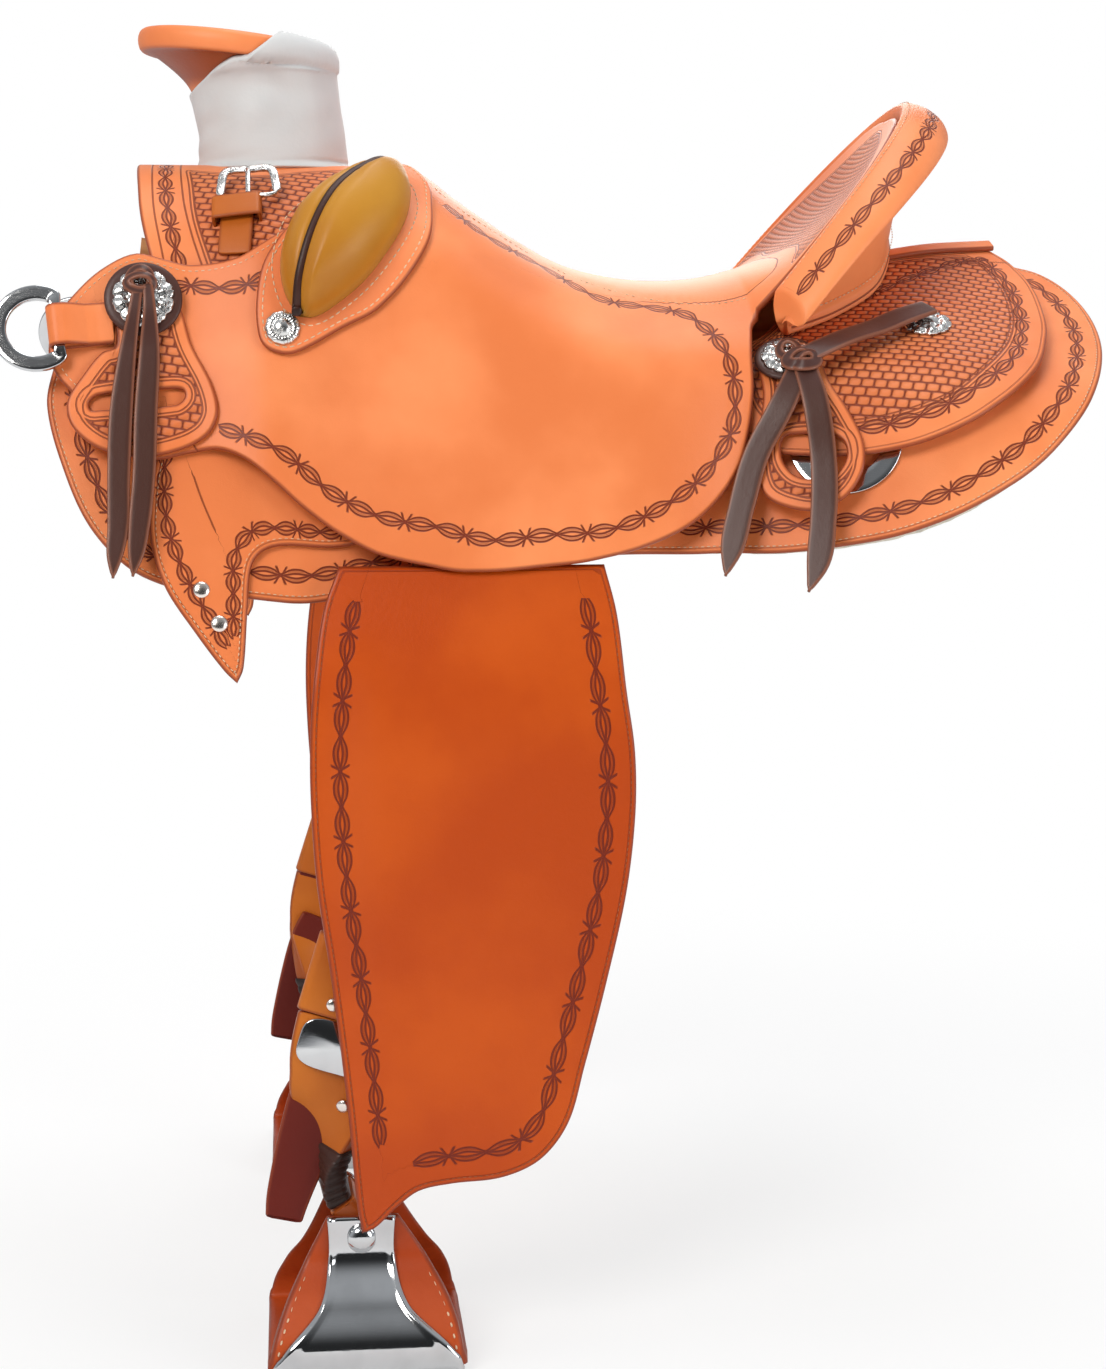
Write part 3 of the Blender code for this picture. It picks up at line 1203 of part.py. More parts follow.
def frame_place(p):
    return (frame_point + frame_across * p[0] - frame_down * p[1] + frame_normal * p[2])


rope_buckle = block("rope_strap_buckle", (-19, -1.7, 0.6), (19, 27, 4.0), frame_place, SILVER)
gap = block("gap", (-13.5, 2.5, -4), (13.5, 21.5, 8), frame_place, cutter=True)
boolean(rope_buckle, gap, "DIFFERENCE")

PAIRS = ["skirt", "fleece", "tree_bar", "rear_jockey", "rigging_plate", "bucking_roll_base",
         "bucking_roll_pad", "latigo_keeper", "flank_keeper", "front_dee", "dee_loop", "rear_dee",
         "front_concho", "rear_concho", "back_concho", "front_strings", "rear_strings",
         "stirrup_leather", "fender", "lower_leather", "leather_keeper", "length_buckle",
         "stirrup", "stirrup_binding", "stirrup_bolt"]
for name in PAIRS:
    mirrored(bpy.data.objects[name + "_left"], name + "_right")
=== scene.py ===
"""The looks of a wade saddle: leather, tooling, stitching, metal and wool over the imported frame."""

import math

import bmesh
import bpy
import numpy as np
from bpy.props import FloatProperty, FloatVectorProperty, PointerProperty
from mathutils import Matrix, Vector


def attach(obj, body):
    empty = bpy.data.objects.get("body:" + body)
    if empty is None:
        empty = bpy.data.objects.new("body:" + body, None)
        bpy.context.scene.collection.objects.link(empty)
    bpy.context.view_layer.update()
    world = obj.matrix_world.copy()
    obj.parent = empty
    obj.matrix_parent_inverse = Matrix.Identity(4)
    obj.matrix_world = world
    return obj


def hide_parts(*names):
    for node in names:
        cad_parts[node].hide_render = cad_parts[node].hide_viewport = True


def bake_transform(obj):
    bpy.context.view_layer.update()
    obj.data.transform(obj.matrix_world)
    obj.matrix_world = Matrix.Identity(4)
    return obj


bl_info = {
    "name": "Wade saddle looks",
    "version": (1, 0, 0),
    "blender": (4, 5, 0),
    "location": "3D Viewport > Sidebar > Saddle",
    "description": "Builds the visible leather, tooling and hardware of a wade saddle",
    "category": "Object",
}

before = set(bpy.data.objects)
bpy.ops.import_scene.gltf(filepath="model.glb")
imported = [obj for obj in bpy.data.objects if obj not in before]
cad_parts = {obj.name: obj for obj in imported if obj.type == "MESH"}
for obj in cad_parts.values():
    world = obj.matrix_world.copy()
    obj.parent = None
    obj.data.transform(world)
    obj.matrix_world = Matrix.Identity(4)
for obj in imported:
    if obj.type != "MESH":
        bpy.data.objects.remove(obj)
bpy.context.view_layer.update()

MM = 0.001
FAR = 99.0  # a distance, in millimetres, at which no stamp, line or worn edge shows
INNER = 9.0  # a distance from the edge at which leather isn't burnished
WELD = 2e-5
SIDES = (("left", 1), ("right", -1))

# Sizes shared with the frame, in millimetres
SKIRT, PLATE, JOCKEY, KEEPER, FENDER, STRAP, FLEECE, LAY = 4.5, 4.5, 4.5, 4.0, 4.0, 4.5, 12.0, 0.5
PLATE_AT = SKIRT + LAY
STRAP_AT = 10.5
FENDER_AT = STRAP_AT + STRAP + 0.3
REAR_JOCKEY_AT = 12.0
REAR_JOCKEY_TOP = REAR_JOCKEY_AT + JOCKEY
FLANK_AT = REAR_JOCKEY_TOP + 1.2
LATIGO_AT = LAY
ROLL_TOP = LAY + 4.0
FORK_SKIN_TOP = -JOCKEY - LAY
RIDGE, SLOPE_TOP, SLOPE_SIDE, HALF_WIDTH, WIDTH_HEIGHT, BEND = 15.0, 20.0, 72.0, 174.0, -150.0, 80.0
FRONT_FLARE, REAR_FLARE = (-150.0, -320.0), (45.0, 285.0)
SEAT_X = [-135, -112, -90, -67, -30, 6, 40, 76, 125, 165, 210, 252]
SEAT_Z = [121, 120, 112, 95, 70, 50, 41, 38, 44, 59, 99, 161]
CORNER_X, CORNER_Z, TOP_X, TOP_Z = 127.0, 11.0, 252.0, 161.0
EDGE_DROP, EDGE_BEND = 30.0, 70.0
HORN_X, CAP_X, CAP_TILT, WRAP = -190.5, -214.5, math.radians(6.3), 4.0
PIVOT_X, PIVOT_Z, DISC_RADIUS, DISC_INNER = -66.0, -55.0, 46.0, -2.0
STRAP_WIDTH, HINGE_DOWN, HANG_SLOPE, HANG_LENGTH, CURL = 76.0, 116.0, 86.0, 130.0, 7.0
BOLT = np.array([-142.0, -203.0, -581.0])
STIRRUP_TOP_HALF, STIRRUP_DROP, STIRRUP_BOTTOM_HALF = 26.0, 77.0, 68.0
STIRRUP_METAL, STIRRUP_LINER = 2.5, 7.0
BAR_FRONT = -280.0


# Curves and forms

def smooth(a, b, x):
    """0 at a and 1 at b, with level ends."""
    t = np.clip((np.asarray(x, float) - a) / (b - a), 0, 1)
    return t * t * (3 - 2 * t)


def ramp(a, b, x, s=0.22):
    """A straight rise from a to b with a rounded start and end."""
    t = np.clip((np.asarray(x, float) - a) / (b - a), 0, 1)
    middle = (t - s / 2) / (1 - s)
    end = 1 - (1 - t) ** 2 / (2 * s * (1 - s))
    return np.where(t < s, t * t / (2 * s * (1 - s)), np.where(t < 1 - s, middle, end))


def through(x, xs, ys):
    """A smooth curve through the points (xs, ys)."""
    xs, ys, x = np.asarray(xs, float), np.asarray(ys, float), np.asarray(x, float)
    m = np.gradient(ys, xs)
    i = np.clip(np.searchsorted(xs, x) - 1, 0, len(xs) - 2)
    h = xs[i + 1] - xs[i]
    t = np.clip((x - xs[i]) / h, 0, 1)
    return ((2 * t**3 - 3 * t**2 + 1) * ys[i] + (t**3 - 2 * t**2 + t) * h * m[i]
            + (3 * t**2 - 2 * t**3) * ys[i + 1] + (t**3 - t**2) * h * m[i + 1])


def turn(start, end, length, share):
    """Sideways and downward travel along a bend, for the given share of it."""
    q = (np.arange(16) + 0.5) / 16
    t = share[..., None] * q
    angle = start[..., None] + (end - start)[..., None] * t * t * (3 - 2 * t)
    return length * share * np.cos(angle).mean(-1), length * share * np.sin(angle).mean(-1)


def back_section(x):
    front, rear = ramp(*FRONT_FLARE, x), ramp(*REAR_FLARE, x)
    ridge = RIDGE + 75 * front + 38 * rear
    top = np.radians(SLOPE_TOP + 18 * front + 8 * rear)
    side = np.radians(SLOPE_SIDE - 2 * front - 11 * rear)
    half = HALF_WIDTH + 12 * front + 66 * rear
    return ridge, top, side, half


def back(x, u):
    """Form over the horse's back: u is the length down from the centre line on the near side.
    In words: a straight slope, a bend whose angle follows an S curve, then a straight side."""
    x, u = np.broadcast_arrays(np.asarray(x, float), np.asarray(u, float))
    ridge, top, side, half = back_section(x)
    full_y, full_z = turn(top, side, BEND, np.ones_like(x))
    cot = 1 / np.tan(side)
    straight = ((half - (ridge - full_z - WIDTH_HEIGHT) * cot - full_y)
                / (np.cos(top) - np.sin(top) * cot))
    share = np.clip((u - straight) / BEND, 0, 1)
    by, bz = turn(top, side, BEND, share)
    flat = np.minimum(u, straight)
    rest = np.maximum(u - straight - BEND, 0)
    y = flat * np.cos(top) + by + rest * np.cos(side)
    z = ridge - (flat * np.sin(top) + bz + rest * np.sin(side))
    return np.stack([x, -y, z], -1)


def seat_section(x):
    xs = np.minimum(x, CORNER_X)
    _, _, side, half = back_section(xs)
    centre = through(xs, SEAT_X, SEAT_Z)
    edge = centre - EDGE_DROP - 4 * smooth(60, CORNER_X, xs)
    edge = np.where(xs < CORNER_X, edge, CORNER_Z)
    stack = 14.5 + 10.5 * smooth(-250, -190, xs)
    foot = half + stack / np.sin(side)
    cot = 1 / np.tan(side)
    width = np.full_like(centre, 130.0)
    for _ in range(6):
        start = np.arctan((centre - edge) * 3 / width)
        by, bz = turn(start, side, EDGE_BEND, np.ones_like(xs))
        width = foot - (edge - bz - WIDTH_HEIGHT) * cot - by
    return edge, width, start, side


RIM_HALF = float(seat_section(np.array(CORNER_X))[1])


def seat(x, w):
    """Outer face of the seat leather: w is 0 on the centre line and 100 at the seat's edge, and
    beyond that 100 plus the length down the side. In words: a cubic crown between centre and
    edge, then a bend and a straight side; behind the corner the edge is an oval rim."""
    x, w = np.broadcast_arrays(np.asarray(x, float), np.asarray(w, float))
    edge, width, start, side = seat_section(x)
    rim = x > CORNER_X
    up = np.clip((x - CORNER_X) / (TOP_X - CORNER_X), 0, 1)
    rim_half = RIM_HALF * np.sqrt(np.clip(1 - up**2.2, 1e-4, 1))
    rim_z = CORNER_Z + (TOP_Z - CORNER_Z) * up
    half = np.where(rim, rim_half, width)
    low = np.where(rim, rim_z, edge)
    centre = through(x, SEAT_X, SEAT_Z)
    power = 3 - 0.8 * smooth(CORNER_X, 170, x)
    k = np.clip(w / 100, -1, np.where(rim, 9, 1))
    y_top = k * half
    z_top = centre + (low - centre) * np.abs(k) ** power
    rest = np.maximum(w - 100, 0)
    share = np.clip(rest / EDGE_BEND, 0, 1)
    by, bz = turn(start, side, EDGE_BEND, share)
    beyond = np.maximum(rest - EDGE_BEND, 0)
    y_side = width + by + beyond * np.cos(side)
    z_side = edge - bz - beyond * np.sin(side)
    side_part = (w > 100) & ~rim
    y = np.where(side_part, y_side, y_top)
    z = np.where(side_part, z_side, z_top)
    return np.stack([x, -y, z], -1)


def over_seat(x, w):
    """Lengths along the centre line and across from it, for stamping over the seat form."""
    xs = np.linspace(-340, TOP_X, 600)
    line = np.r_[0, np.cumsum(np.hypot(np.diff(xs), np.diff(through(xs, SEAT_X, SEAT_Z))))]
    q = np.linspace(0, 1, 25)
    trail = seat(x[..., None] + 0 * q, w[..., None] * q)
    across = np.linalg.norm(np.diff(trail, axis=-2), axis=-1).sum(-1)
    return np.stack([np.interp(x, xs, line), across], -1)


SIDE = math.radians(SLOPE_SIDE)
PIVOT_Y = -(HALF_WIDTH - (PIVOT_Z - WIDTH_HEIGHT) / math.tan(SIDE))
OUT = np.array([0, -math.sin(SIDE), math.cos(SIDE)])
UP = np.array([0, math.cos(SIDE), math.sin(SIDE)])
PIVOT = np.array([PIVOT_X, PIVOT_Y, PIVOT_Z])


def side_plane(a, up, out):
    """A point of the flat side: a along X from the pivot, up the slope, and outward."""
    a, up, out = np.broadcast_arrays(*(np.asarray(v, float) for v in (a, up, out)))
    return PIVOT + a[..., None] * [1, 0, 0] + up[..., None] * UP + out[..., None] * OUT


HANG_START = side_plane(0, -HINGE_DOWN, FENDER_AT)


def hang(x, v):
    """Inner face of the hanging fender: v is the length below the hinge line."""
    x, v = np.broadcast_arrays(np.asarray(x, float), np.asarray(v, float))
    q = (np.arange(24) + 0.5) / 24
    angle = np.radians(SLOPE_SIDE + (HANG_SLOPE - SLOPE_SIDE)
                       * smooth(0, HANG_LENGTH, v[..., None] * q))
    y = HANG_START[1] - v * np.cos(angle).mean(-1)
    z = HANG_START[2] - v * np.sin(angle).mean(-1)
    return np.stack([x, y, z], -1)


def fender_form(x, v):
    """The hanging form with the fender's front edge curled outward."""
    x, v = np.broadcast_arrays(np.asarray(x, float), np.asarray(v, float))
    curl = CURL * smooth(-120, -172, x) * smooth(15, 70, v)
    return hang(x, v) + curl[..., None] * np.array([0, -1.0, 0])


def unit(v):
    return v / np.maximum(np.linalg.norm(v, axis=-1, keepdims=True), 1e-9)


def facing(form, x, u, e=0.6):
    """Outward normal of a form, by central differences."""
    across = form(x + e, u) - form(x - e, u)
    down = form(x, u + e) - form(x, u - e)
    return unit(np.cross(down, across))


def circle(count):
    """Even angles round a circle."""
    return np.linspace(0, 2 * math.pi, count, endpoint=False)


def placed(form, x, u, t):
    """A point at the height t over a form."""
    x, u, t = np.broadcast_arrays(*(np.asarray(v, float) for v in (x, u, t)))
    return form(x, u) + facing(form, x, u) * t[..., None]


def spot_on(form, x, u, t):
    """A point at a height over a form, and the normal there."""
    return placed(form, x, u, t), facing(form, x, u)


def level(way, normal):
    """The part of a direction that is square to a normal."""
    return unit(way - normal * np.dot(way, normal))


def open_way(line):
    """Directions along an open line."""
    return unit(np.gradient(line, axis=0))


def closed_way(line, span=1):
    """Directions along a closed line, from the points on both sides."""
    return unit(np.roll(line, -span, 0) - np.roll(line, span, 0))


def lengths(line):
    """The length along a line up to each of its points."""
    return np.r_[0, np.cumsum(np.linalg.norm(np.diff(line, axis=0), axis=1))]


def read(s, d, line):
    """Points of a line at the lengths s, where d holds the lengths of its own points."""
    return np.stack([np.interp(s, d, line[:, k]) for k in range(line.shape[1])], 1)


def quarter(t, power=2):
    """A quarter of a round profile: steep at 0, level from 1 on."""
    return np.sqrt(np.clip(1 - (1 - np.clip(t, 0, 1)) ** power, 0, 1))


def hermite(t, p1, m1, p2, m2):
    return ((2 * t**3 - 3 * t**2 + 1) * p1 + (t**3 - 2 * t**2 + t) * m1
            + (3 * t**2 - 2 * t**3) * p2 + (t**3 - t**2) * m2)


# Outlines

def rounded(points, spacing=3.0):
    """A closed smooth line through the points, and where each of them is on it. A third value
    marks a corner. In words: cubic Hermite pieces with chord length tangents."""
    spots = [np.array(p[:2], float) for p in points]
    sharp = [len(p) > 2 for p in points]
    n = len(spots)
    result, starts = [], []
    for i in range(n):
        p1, p2 = spots[i], spots[(i + 1) % n]
        p0 = p1 if sharp[i] else spots[i - 1]
        p3 = p2 if sharp[(i + 1) % n] else spots[(i + 2) % n]
        chord = np.linalg.norm(p2 - p1)
        d0 = max(np.linalg.norm(p1 - p0), 1e-6)
        d2 = max(np.linalg.norm(p3 - p2), 1e-6)
        m1 = (p2 - p1) if sharp[i] else (p2 - p0) * chord / (d0 + chord)
        m2 = (p2 - p1) if sharp[(i + 1) % n] else (p3 - p1) * chord / (d2 + chord)
        count = max(1, round(chord / spacing))
        starts.append(sum(len(r) for r in result))
        result.append(hermite((np.arange(count) / count)[:, None], p1, m1, p2, m2))
    return np.concatenate(result), starts


def open_line(points, spacing=2.0):
    """A smooth open line through the points."""
    pts = np.array(points, float)
    d = lengths(pts)
    s = np.linspace(0, d[-1], max(2, round(d[-1] / spacing)))
    return np.stack([through(s, d, pts[:, k]) for k in range(pts.shape[1])], 1)


def closed_line(points, spacing=2.0):
    line, _ = rounded(points, spacing)
    return np.concatenate([line, line[:1]])


def walk(line, count):
    """The line cut into evenly spaced points."""
    d = lengths(line)
    return read(np.linspace(0, d[-1], count), d, line)


def length_of(line):
    return float(np.linalg.norm(np.diff(line, axis=0), axis=1).sum())


def inset(line, distance):
    """A closed line moved inward by the distance."""
    pts = line[:-1] if np.allclose(line[0], line[-1]) else line
    area = np.sum(pts[:, 0] * np.roll(pts[:, 1], -1) - np.roll(pts[:, 0], -1) * pts[:, 1])
    along = closed_way(pts, 2)
    inward = np.stack([-along[:, 1], along[:, 0]], 1) * (1 if area > 0 else -1)
    moved = pts + inward * distance
    return np.concatenate([moved, moved[:1]])


def part_of(line, starts, i, j):
    """The piece of a closed line from one of its points forward to another."""
    a, b = starts[i], starts[j]
    n = len(line)
    return line[np.arange(a, b + 1 if b > a else b + n + 1) % n]


def stations(line, starts, a, b, other, marks, c, d, step):
    """The same number of even points on a piece of each of two lines."""
    one, two = part_of(line, starts, a, b), part_of(other, marks, c, d)
    count = max(3, math.ceil(max(length_of(one), length_of(two)) / step) + 1)
    return walk(one, count), two, count


def two_sides(points, keys, step=4.0):
    """Matching stations up both sides of an outline. Each key is a point index on the side where
    the indices grow and one on the side where they fall; the first and last may be one point."""
    line, starts = rounded(points)
    near, far = [], []
    for (a0, b0), (a1, b1) in zip(keys, keys[1:]):
        one, other, count = stations(line, starts, a0, a1, line, starts, b1, b0, step)
        skip = 1 if near else 0
        near.append(one[skip:])
        far.append(walk(other[::-1], count)[skip:])
    return np.concatenate(near), np.concatenate(far)


def two_loops(outer, inner, keys, step=3.5):
    """Matching stations round an outline and a hole that run the same way."""
    line, starts = rounded(outer)
    hole, marks = rounded(inner, 1.5)
    near, far = [], []
    for (a0, b0), (a1, b1) in zip(keys, keys[1:] + keys[:1]):
        one, other, count = stations(line, starts, a0, a1, hole, marks, b0, b1, step)
        near.append(one[:-1])
        far.append(walk(other, count)[:-1])
    return np.concatenate(near), np.concatenate(far)


def nearest(points, lines, normals=None):
    """Distance, length along and side of each point to the nearest of some lines. The side is
    positive on the left of the line, seen against the normals. Also the line's own length."""
    flat = points.reshape(-1, 3)
    facing_flat = None if normals is None else normals.reshape(-1, 3)
    best = [np.full(len(flat), start) for start in (1e9, 0.0, 1.0, 1.0)]
    for line in lines:
        a, ab = line[:-1], np.diff(line, axis=0)
        size = np.maximum((ab * ab).sum(1), 1e-12)
        reach = np.r_[0, np.cumsum(np.sqrt(size))]
        for i in range(0, len(flat), 3000):
            now = slice(i, i + 3000)
            p = flat[now]
            t = np.clip(((p[:, None] - a) * ab).sum(-1) / size, 0, 1)
            gap = p[:, None] - a - t[..., None] * ab
            d = np.sqrt((gap * gap).sum(-1))
            k, rows = d.argmin(1), np.arange(len(p))
            found = [d[rows, k], reach[k] + t[rows, k] * np.sqrt(size[k]), best[2][now], reach[-1]]
            if facing_flat is not None:
                sign = np.sign((np.cross(ab[k], gap[rows, k]) * facing_flat[now]).sum(1))
                found[2] = np.where(sign == 0, 1, sign)
            better = found[0] < best[0][now]
            for old, new in zip(best, found):
                old[now] = np.where(better, new, old[now])
    return tuple(values.reshape(points.shape[:-1]) for values in best)


def inside(x, u, polygon):
    """1 inside the polygon and -1 outside, by counting crossings."""
    a, b = polygon[:-1], polygon[1:]
    crossed = ((a[:, 1] > u[..., None]) != (b[:, 1] > u[..., None]))
    slope = (b[:, 0] - a[:, 0]) / np.where(b[:, 1] == a[:, 1], 1e-9, b[:, 1] - a[:, 1])
    hit = crossed & (x[..., None] < a[:, 0] + (u[..., None] - a[:, 1]) * slope)
    return np.where(hit.sum(-1) % 2 == 1, 1.0, -1.0)


# Meshes

def added(name, data):
    """A new object in the scene."""
    made = bpy.data.objects.new(name, data)
    bpy.context.scene.collection.objects.link(made)
    return made


def face_outward(bm):
    """Turns the faces of closed solids outward."""
    bmesh.ops.recalc_face_normals(bm, faces=bm.faces)
    if bm.calc_volume(signed=True) < 0:
        bmesh.ops.reverse_faces(bm, faces=bm.faces)


def build(points, faces, look, values=None, maps=None, weld=WELD):
    """A closed mesh from points in millimetres and four cornered faces, in arrays. A map with a
    period runs round: a face over its seam gets coordinates that go on past the end."""
    points, faces = np.asarray(points, float).reshape(-1, 3), np.asarray(faces)
    mesh = bpy.data.meshes.new("piece")
    mesh.vertices.add(len(points))
    mesh.vertices.foreach_set("co", (points * MM).ravel())
    mesh.loops.add(faces.size)
    mesh.loops.foreach_set("vertex_index", faces.ravel())
    mesh.polygons.add(len(faces))
    mesh.polygons.foreach_set("loop_start", np.arange(0, faces.size, faces.shape[1]))
    mesh.update(calc_edges=True)
    for key, array in (values or {}).items():
        mesh.attributes.new(key, "FLOAT", "POINT").data.foreach_set("value", np.asarray(
            array, float).ravel())
    for key, (array, period) in (maps or {}).items():
        spread = np.asarray(array, float).reshape(-1, 2)[faces]
        if period is not None:
            own = np.asarray(period, float).ravel()[faces].max(1, keepdims=True)
            s = spread[..., 0]
            torn = (s.max(1) - s.min(1))[:, None] > own / 2
            spread[..., 0] = np.where(torn & (s < own / 2), s + own, s)
        mesh.uv_layers.new(name=key).data.foreach_set("uv", spread.ravel())
    bm = bmesh.new()
    bm.from_mesh(mesh)
    bmesh.ops.remove_doubles(bm, verts=bm.verts, dist=weld)
    face_outward(bm)
    bm.to_mesh(mesh)
    bm.free()
    mesh.shade_smooth()
    mesh.materials.append(LOOKS[look])
    return added("piece", mesh)


def mirrored(made, name):
    """The far side's copy of a near side piece."""
    mesh = made.data.copy()
    mesh.name = name
    co = np.empty(len(mesh.vertices) * 3)
    mesh.vertices.foreach_get("co", co)
    mesh.vertices.foreach_set("co", (co.reshape(-1, 3) * [1, -1, 1]).ravel())
    mesh.flip_normals()
    mesh.update()
    return added(name, mesh)


def settle(made, body, node=""):
    """The piece rides on its body and stands for a CAD node."""
    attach(made, body)
    if node:
        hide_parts(node)


def single(made, name, node="", body="saddle"):
    """Names a piece without a twin and sets it on its body."""
    made.name = made.data.name = name
    settle(made, body, node)


def pair(made, stem, node="", body="saddle", riding=True):
    """Names the near piece, copies it to the far side and sets both on their bodies."""
    made.name = made.data.name = stem + "_left"
    other = mirrored(made, stem + "_right")
    for piece, side in ((made, "left"), (other, "right")):
        if riding:
            settle(piece, body if body == "saddle" else body + "_" + side,
                   node and node + "_" + side)
    return made, other


def grid_faces(rows, columns, wrap_rows=False):
    """Faces between neighbouring points of a grid whose rows run round."""
    i = np.arange(rows if wrap_rows else rows - 1)
    j = np.arange(columns)
    i, j = np.meshgrid(i, j, indexing="ij")
    i1, j1 = (i + 1) % rows, (j + 1) % columns
    return np.stack([i * columns + j, i1 * columns + j, i1 * columns + j1, i * columns + j1],
                    -1).reshape(-1, 4)


def lid(row, columns):
    """Faces that close a row of a grid whose second half runs back over its first."""
    j, base = np.arange(columns // 2 - 1), row * columns
    return np.stack([base + j, base + j + 1, base + columns - 2 - j, base + columns - 1 - j], 1)


def tube_faces(rows, columns):
    """Faces of such a grid, closed at both ends."""
    return np.concatenate([grid_faces(rows, columns), lid(0, columns), lid(rows - 1, columns)])


def untooled(edge):
    """The values that a leather look reads, for a piece without stamping or plain lines."""
    return {"edge": edge, "field": np.full(np.shape(edge), -FAR),
            "line": np.full(np.shape(edge), FAR)}


def no_border(shape):
    """Border coordinates far from any border."""
    return np.stack([np.zeros(shape), np.full(shape, FAR)], -1)


EDGE_STEPS = np.array([0, 0.3, 0.8, 1.6, 2.6, 4.2])


def shares(width, inner):
    """Places across a row, from 0 to 1, close together near both edges."""
    scale = np.minimum(1, width / (2 * EDGE_STEPS[-1] + 2))[:, None]
    edge = EDGE_STEPS * scale
    middle = edge[:, -1:] + (width[:, None] - 2 * edge[:, -1:]) * np.linspace(0, 1, inner + 2)[1:-1]
    across = np.concatenate([edge, middle, width[:, None] - edge[:, ::-1]], 1)
    return across / np.maximum(width[:, None], 1e-6)


def panel(form, sides, low, high, look, inner=24, edges=None, borders=(), field=(),
          lines=(), loop=False, open_end=False, repeat=1.0, shape=None, bead=2.0, weave=None):
    """A leather piece. In words: straight rows across the flat pattern between matching stations
    on its two sides, bent over the form at two heights, with the edge rounded by the distance to
    the outline: the height falls as 1 - sqrt(1 - (1 - d/r)^2)."""
    near, far = sides
    share = shares(np.linalg.norm(near - far, axis=1), inner)[..., None]
    flat = near[:, None] * (1 - share) + far[:, None] * share
    x, u = flat[..., 0], flat[..., 1]
    ground, normal = form(x, u), facing(form, x, u)
    if edges is None and loop:
        edges = [np.concatenate([near, near[:1]]), np.concatenate([far, far[:1]])]
    elif edges is None:
        edges = [np.concatenate([near, far[::-1], near[:1]])]

    def over(flat_lines):
        return [form(line[:, 0], line[:, 1]) for line in flat_lines]

    d = nearest(ground, over(edges))[0]
    above = high(x, u) if callable(high) else high + 0 * x
    below = low(x, u) if callable(low) else low + 0 * x
    r = min(bead, 0.45 * float(np.mean(above - below)))
    drop = r * (1 - quarter(d / r))
    if shape is not None:
        above = above + shape(x, u)
    top = ground + normal * (above - drop)[..., None]
    under = ground + normal * (below + drop)[..., None]
    empty, count, border = np.full(d.shape, FAR), np.ones(d.shape), no_border(d.shape)
    if borders:
        v, s, side, total = nearest(ground, over(borders), normal)
        if not all(np.allclose(b[0], b[-1]) for b in borders):
            v = np.where((s < 1e-6) | (s > total - 1e-6), FAR, v)
        period = millimetres(settings().period) * repeat
        count = np.maximum(np.round(total / period), 1)
        border = np.stack([s / total * count, v * side], -1)
    basket, line = -empty, empty
    if field:
        within = inside(x, u, field[0])
        for hole in field[1:]:
            within = np.minimum(within, -inside(x, u, hole))
        basket = nearest(ground, over(field))[0] * within
    if lines:
        gap, _, side, _ = nearest(ground, over(lines), normal)
        line = gap * side
    cloth = np.stack([x, u], -1) if weave is None else weave(x, u)
    ring = np.concatenate([top, under[:, ::-1]], 1)
    rows, columns = ring.shape[:2]
    faces = grid_faces(rows, columns, loop)
    if open_end:
        faces = np.concatenate([faces, lid(rows - 1, columns)])
    points = ring.reshape(-1, 3)
    middle = np.abs(points[:, 1]) < 1e-4
    faces = faces[~middle[faces].all(1)]

    def both(upper, lower):
        return np.concatenate([upper, lower[:, ::-1]], 1)

    return build(points, faces, look, {
        "edge": both(d, d), "field": both(basket, -empty), "line": both(line, empty)}, {
        "weave": (both(cloth, cloth), None),
        "border": (both(border, no_border(d.shape)), both(count, count))})


def joined_halves(made):
    """A piece built on the near side with its mirror image, welded on the centre line."""
    bm, other = bmesh.new(), bmesh.new()
    bm.from_mesh(made.data)
    other.from_mesh(made.data)
    bmesh.ops.scale(other, vec=(1, -1, 1), verts=other.verts)
    bmesh.ops.reverse_faces(other, faces=other.faces)
    spare = made.data.copy()
    other.to_mesh(spare)
    other.free()
    bm.from_mesh(spare)
    bmesh.ops.remove_doubles(bm, verts=bm.verts, dist=WELD)
    face_outward(bm)
    bm.to_mesh(made.data)
    bm.free()
    bpy.data.meshes.remove(spare)
    return made


# Section of a strap: place on the flat, on the rounding across, flat and rounding in thickness
ARC = [(math.cos(a), math.sin(a)) for a in np.radians([0, 30, 60, 90])]
SECTION = ([(1, c, 1, s) for c, s in ARC] + [(k, 0, 1, 1) for k in (0.5, 0, -0.5)]
           + [(-1, -s, 1, c) for c, s in ARC] + [(-1, -c, -1, -s) for c, s in ARC]
           + [(k, 0, -1, -1) for k in (-0.5, 0, 0.5)] + [(1, s, -1, -c) for c, s in ARC])
# Share of the section, and place past the end, of the four rings at a strap's tip
TIP, TIP_PUSH = np.array([0.0, 0.75, 0.96, 1.0]), np.array([0, 0, 0.35, 1.0])


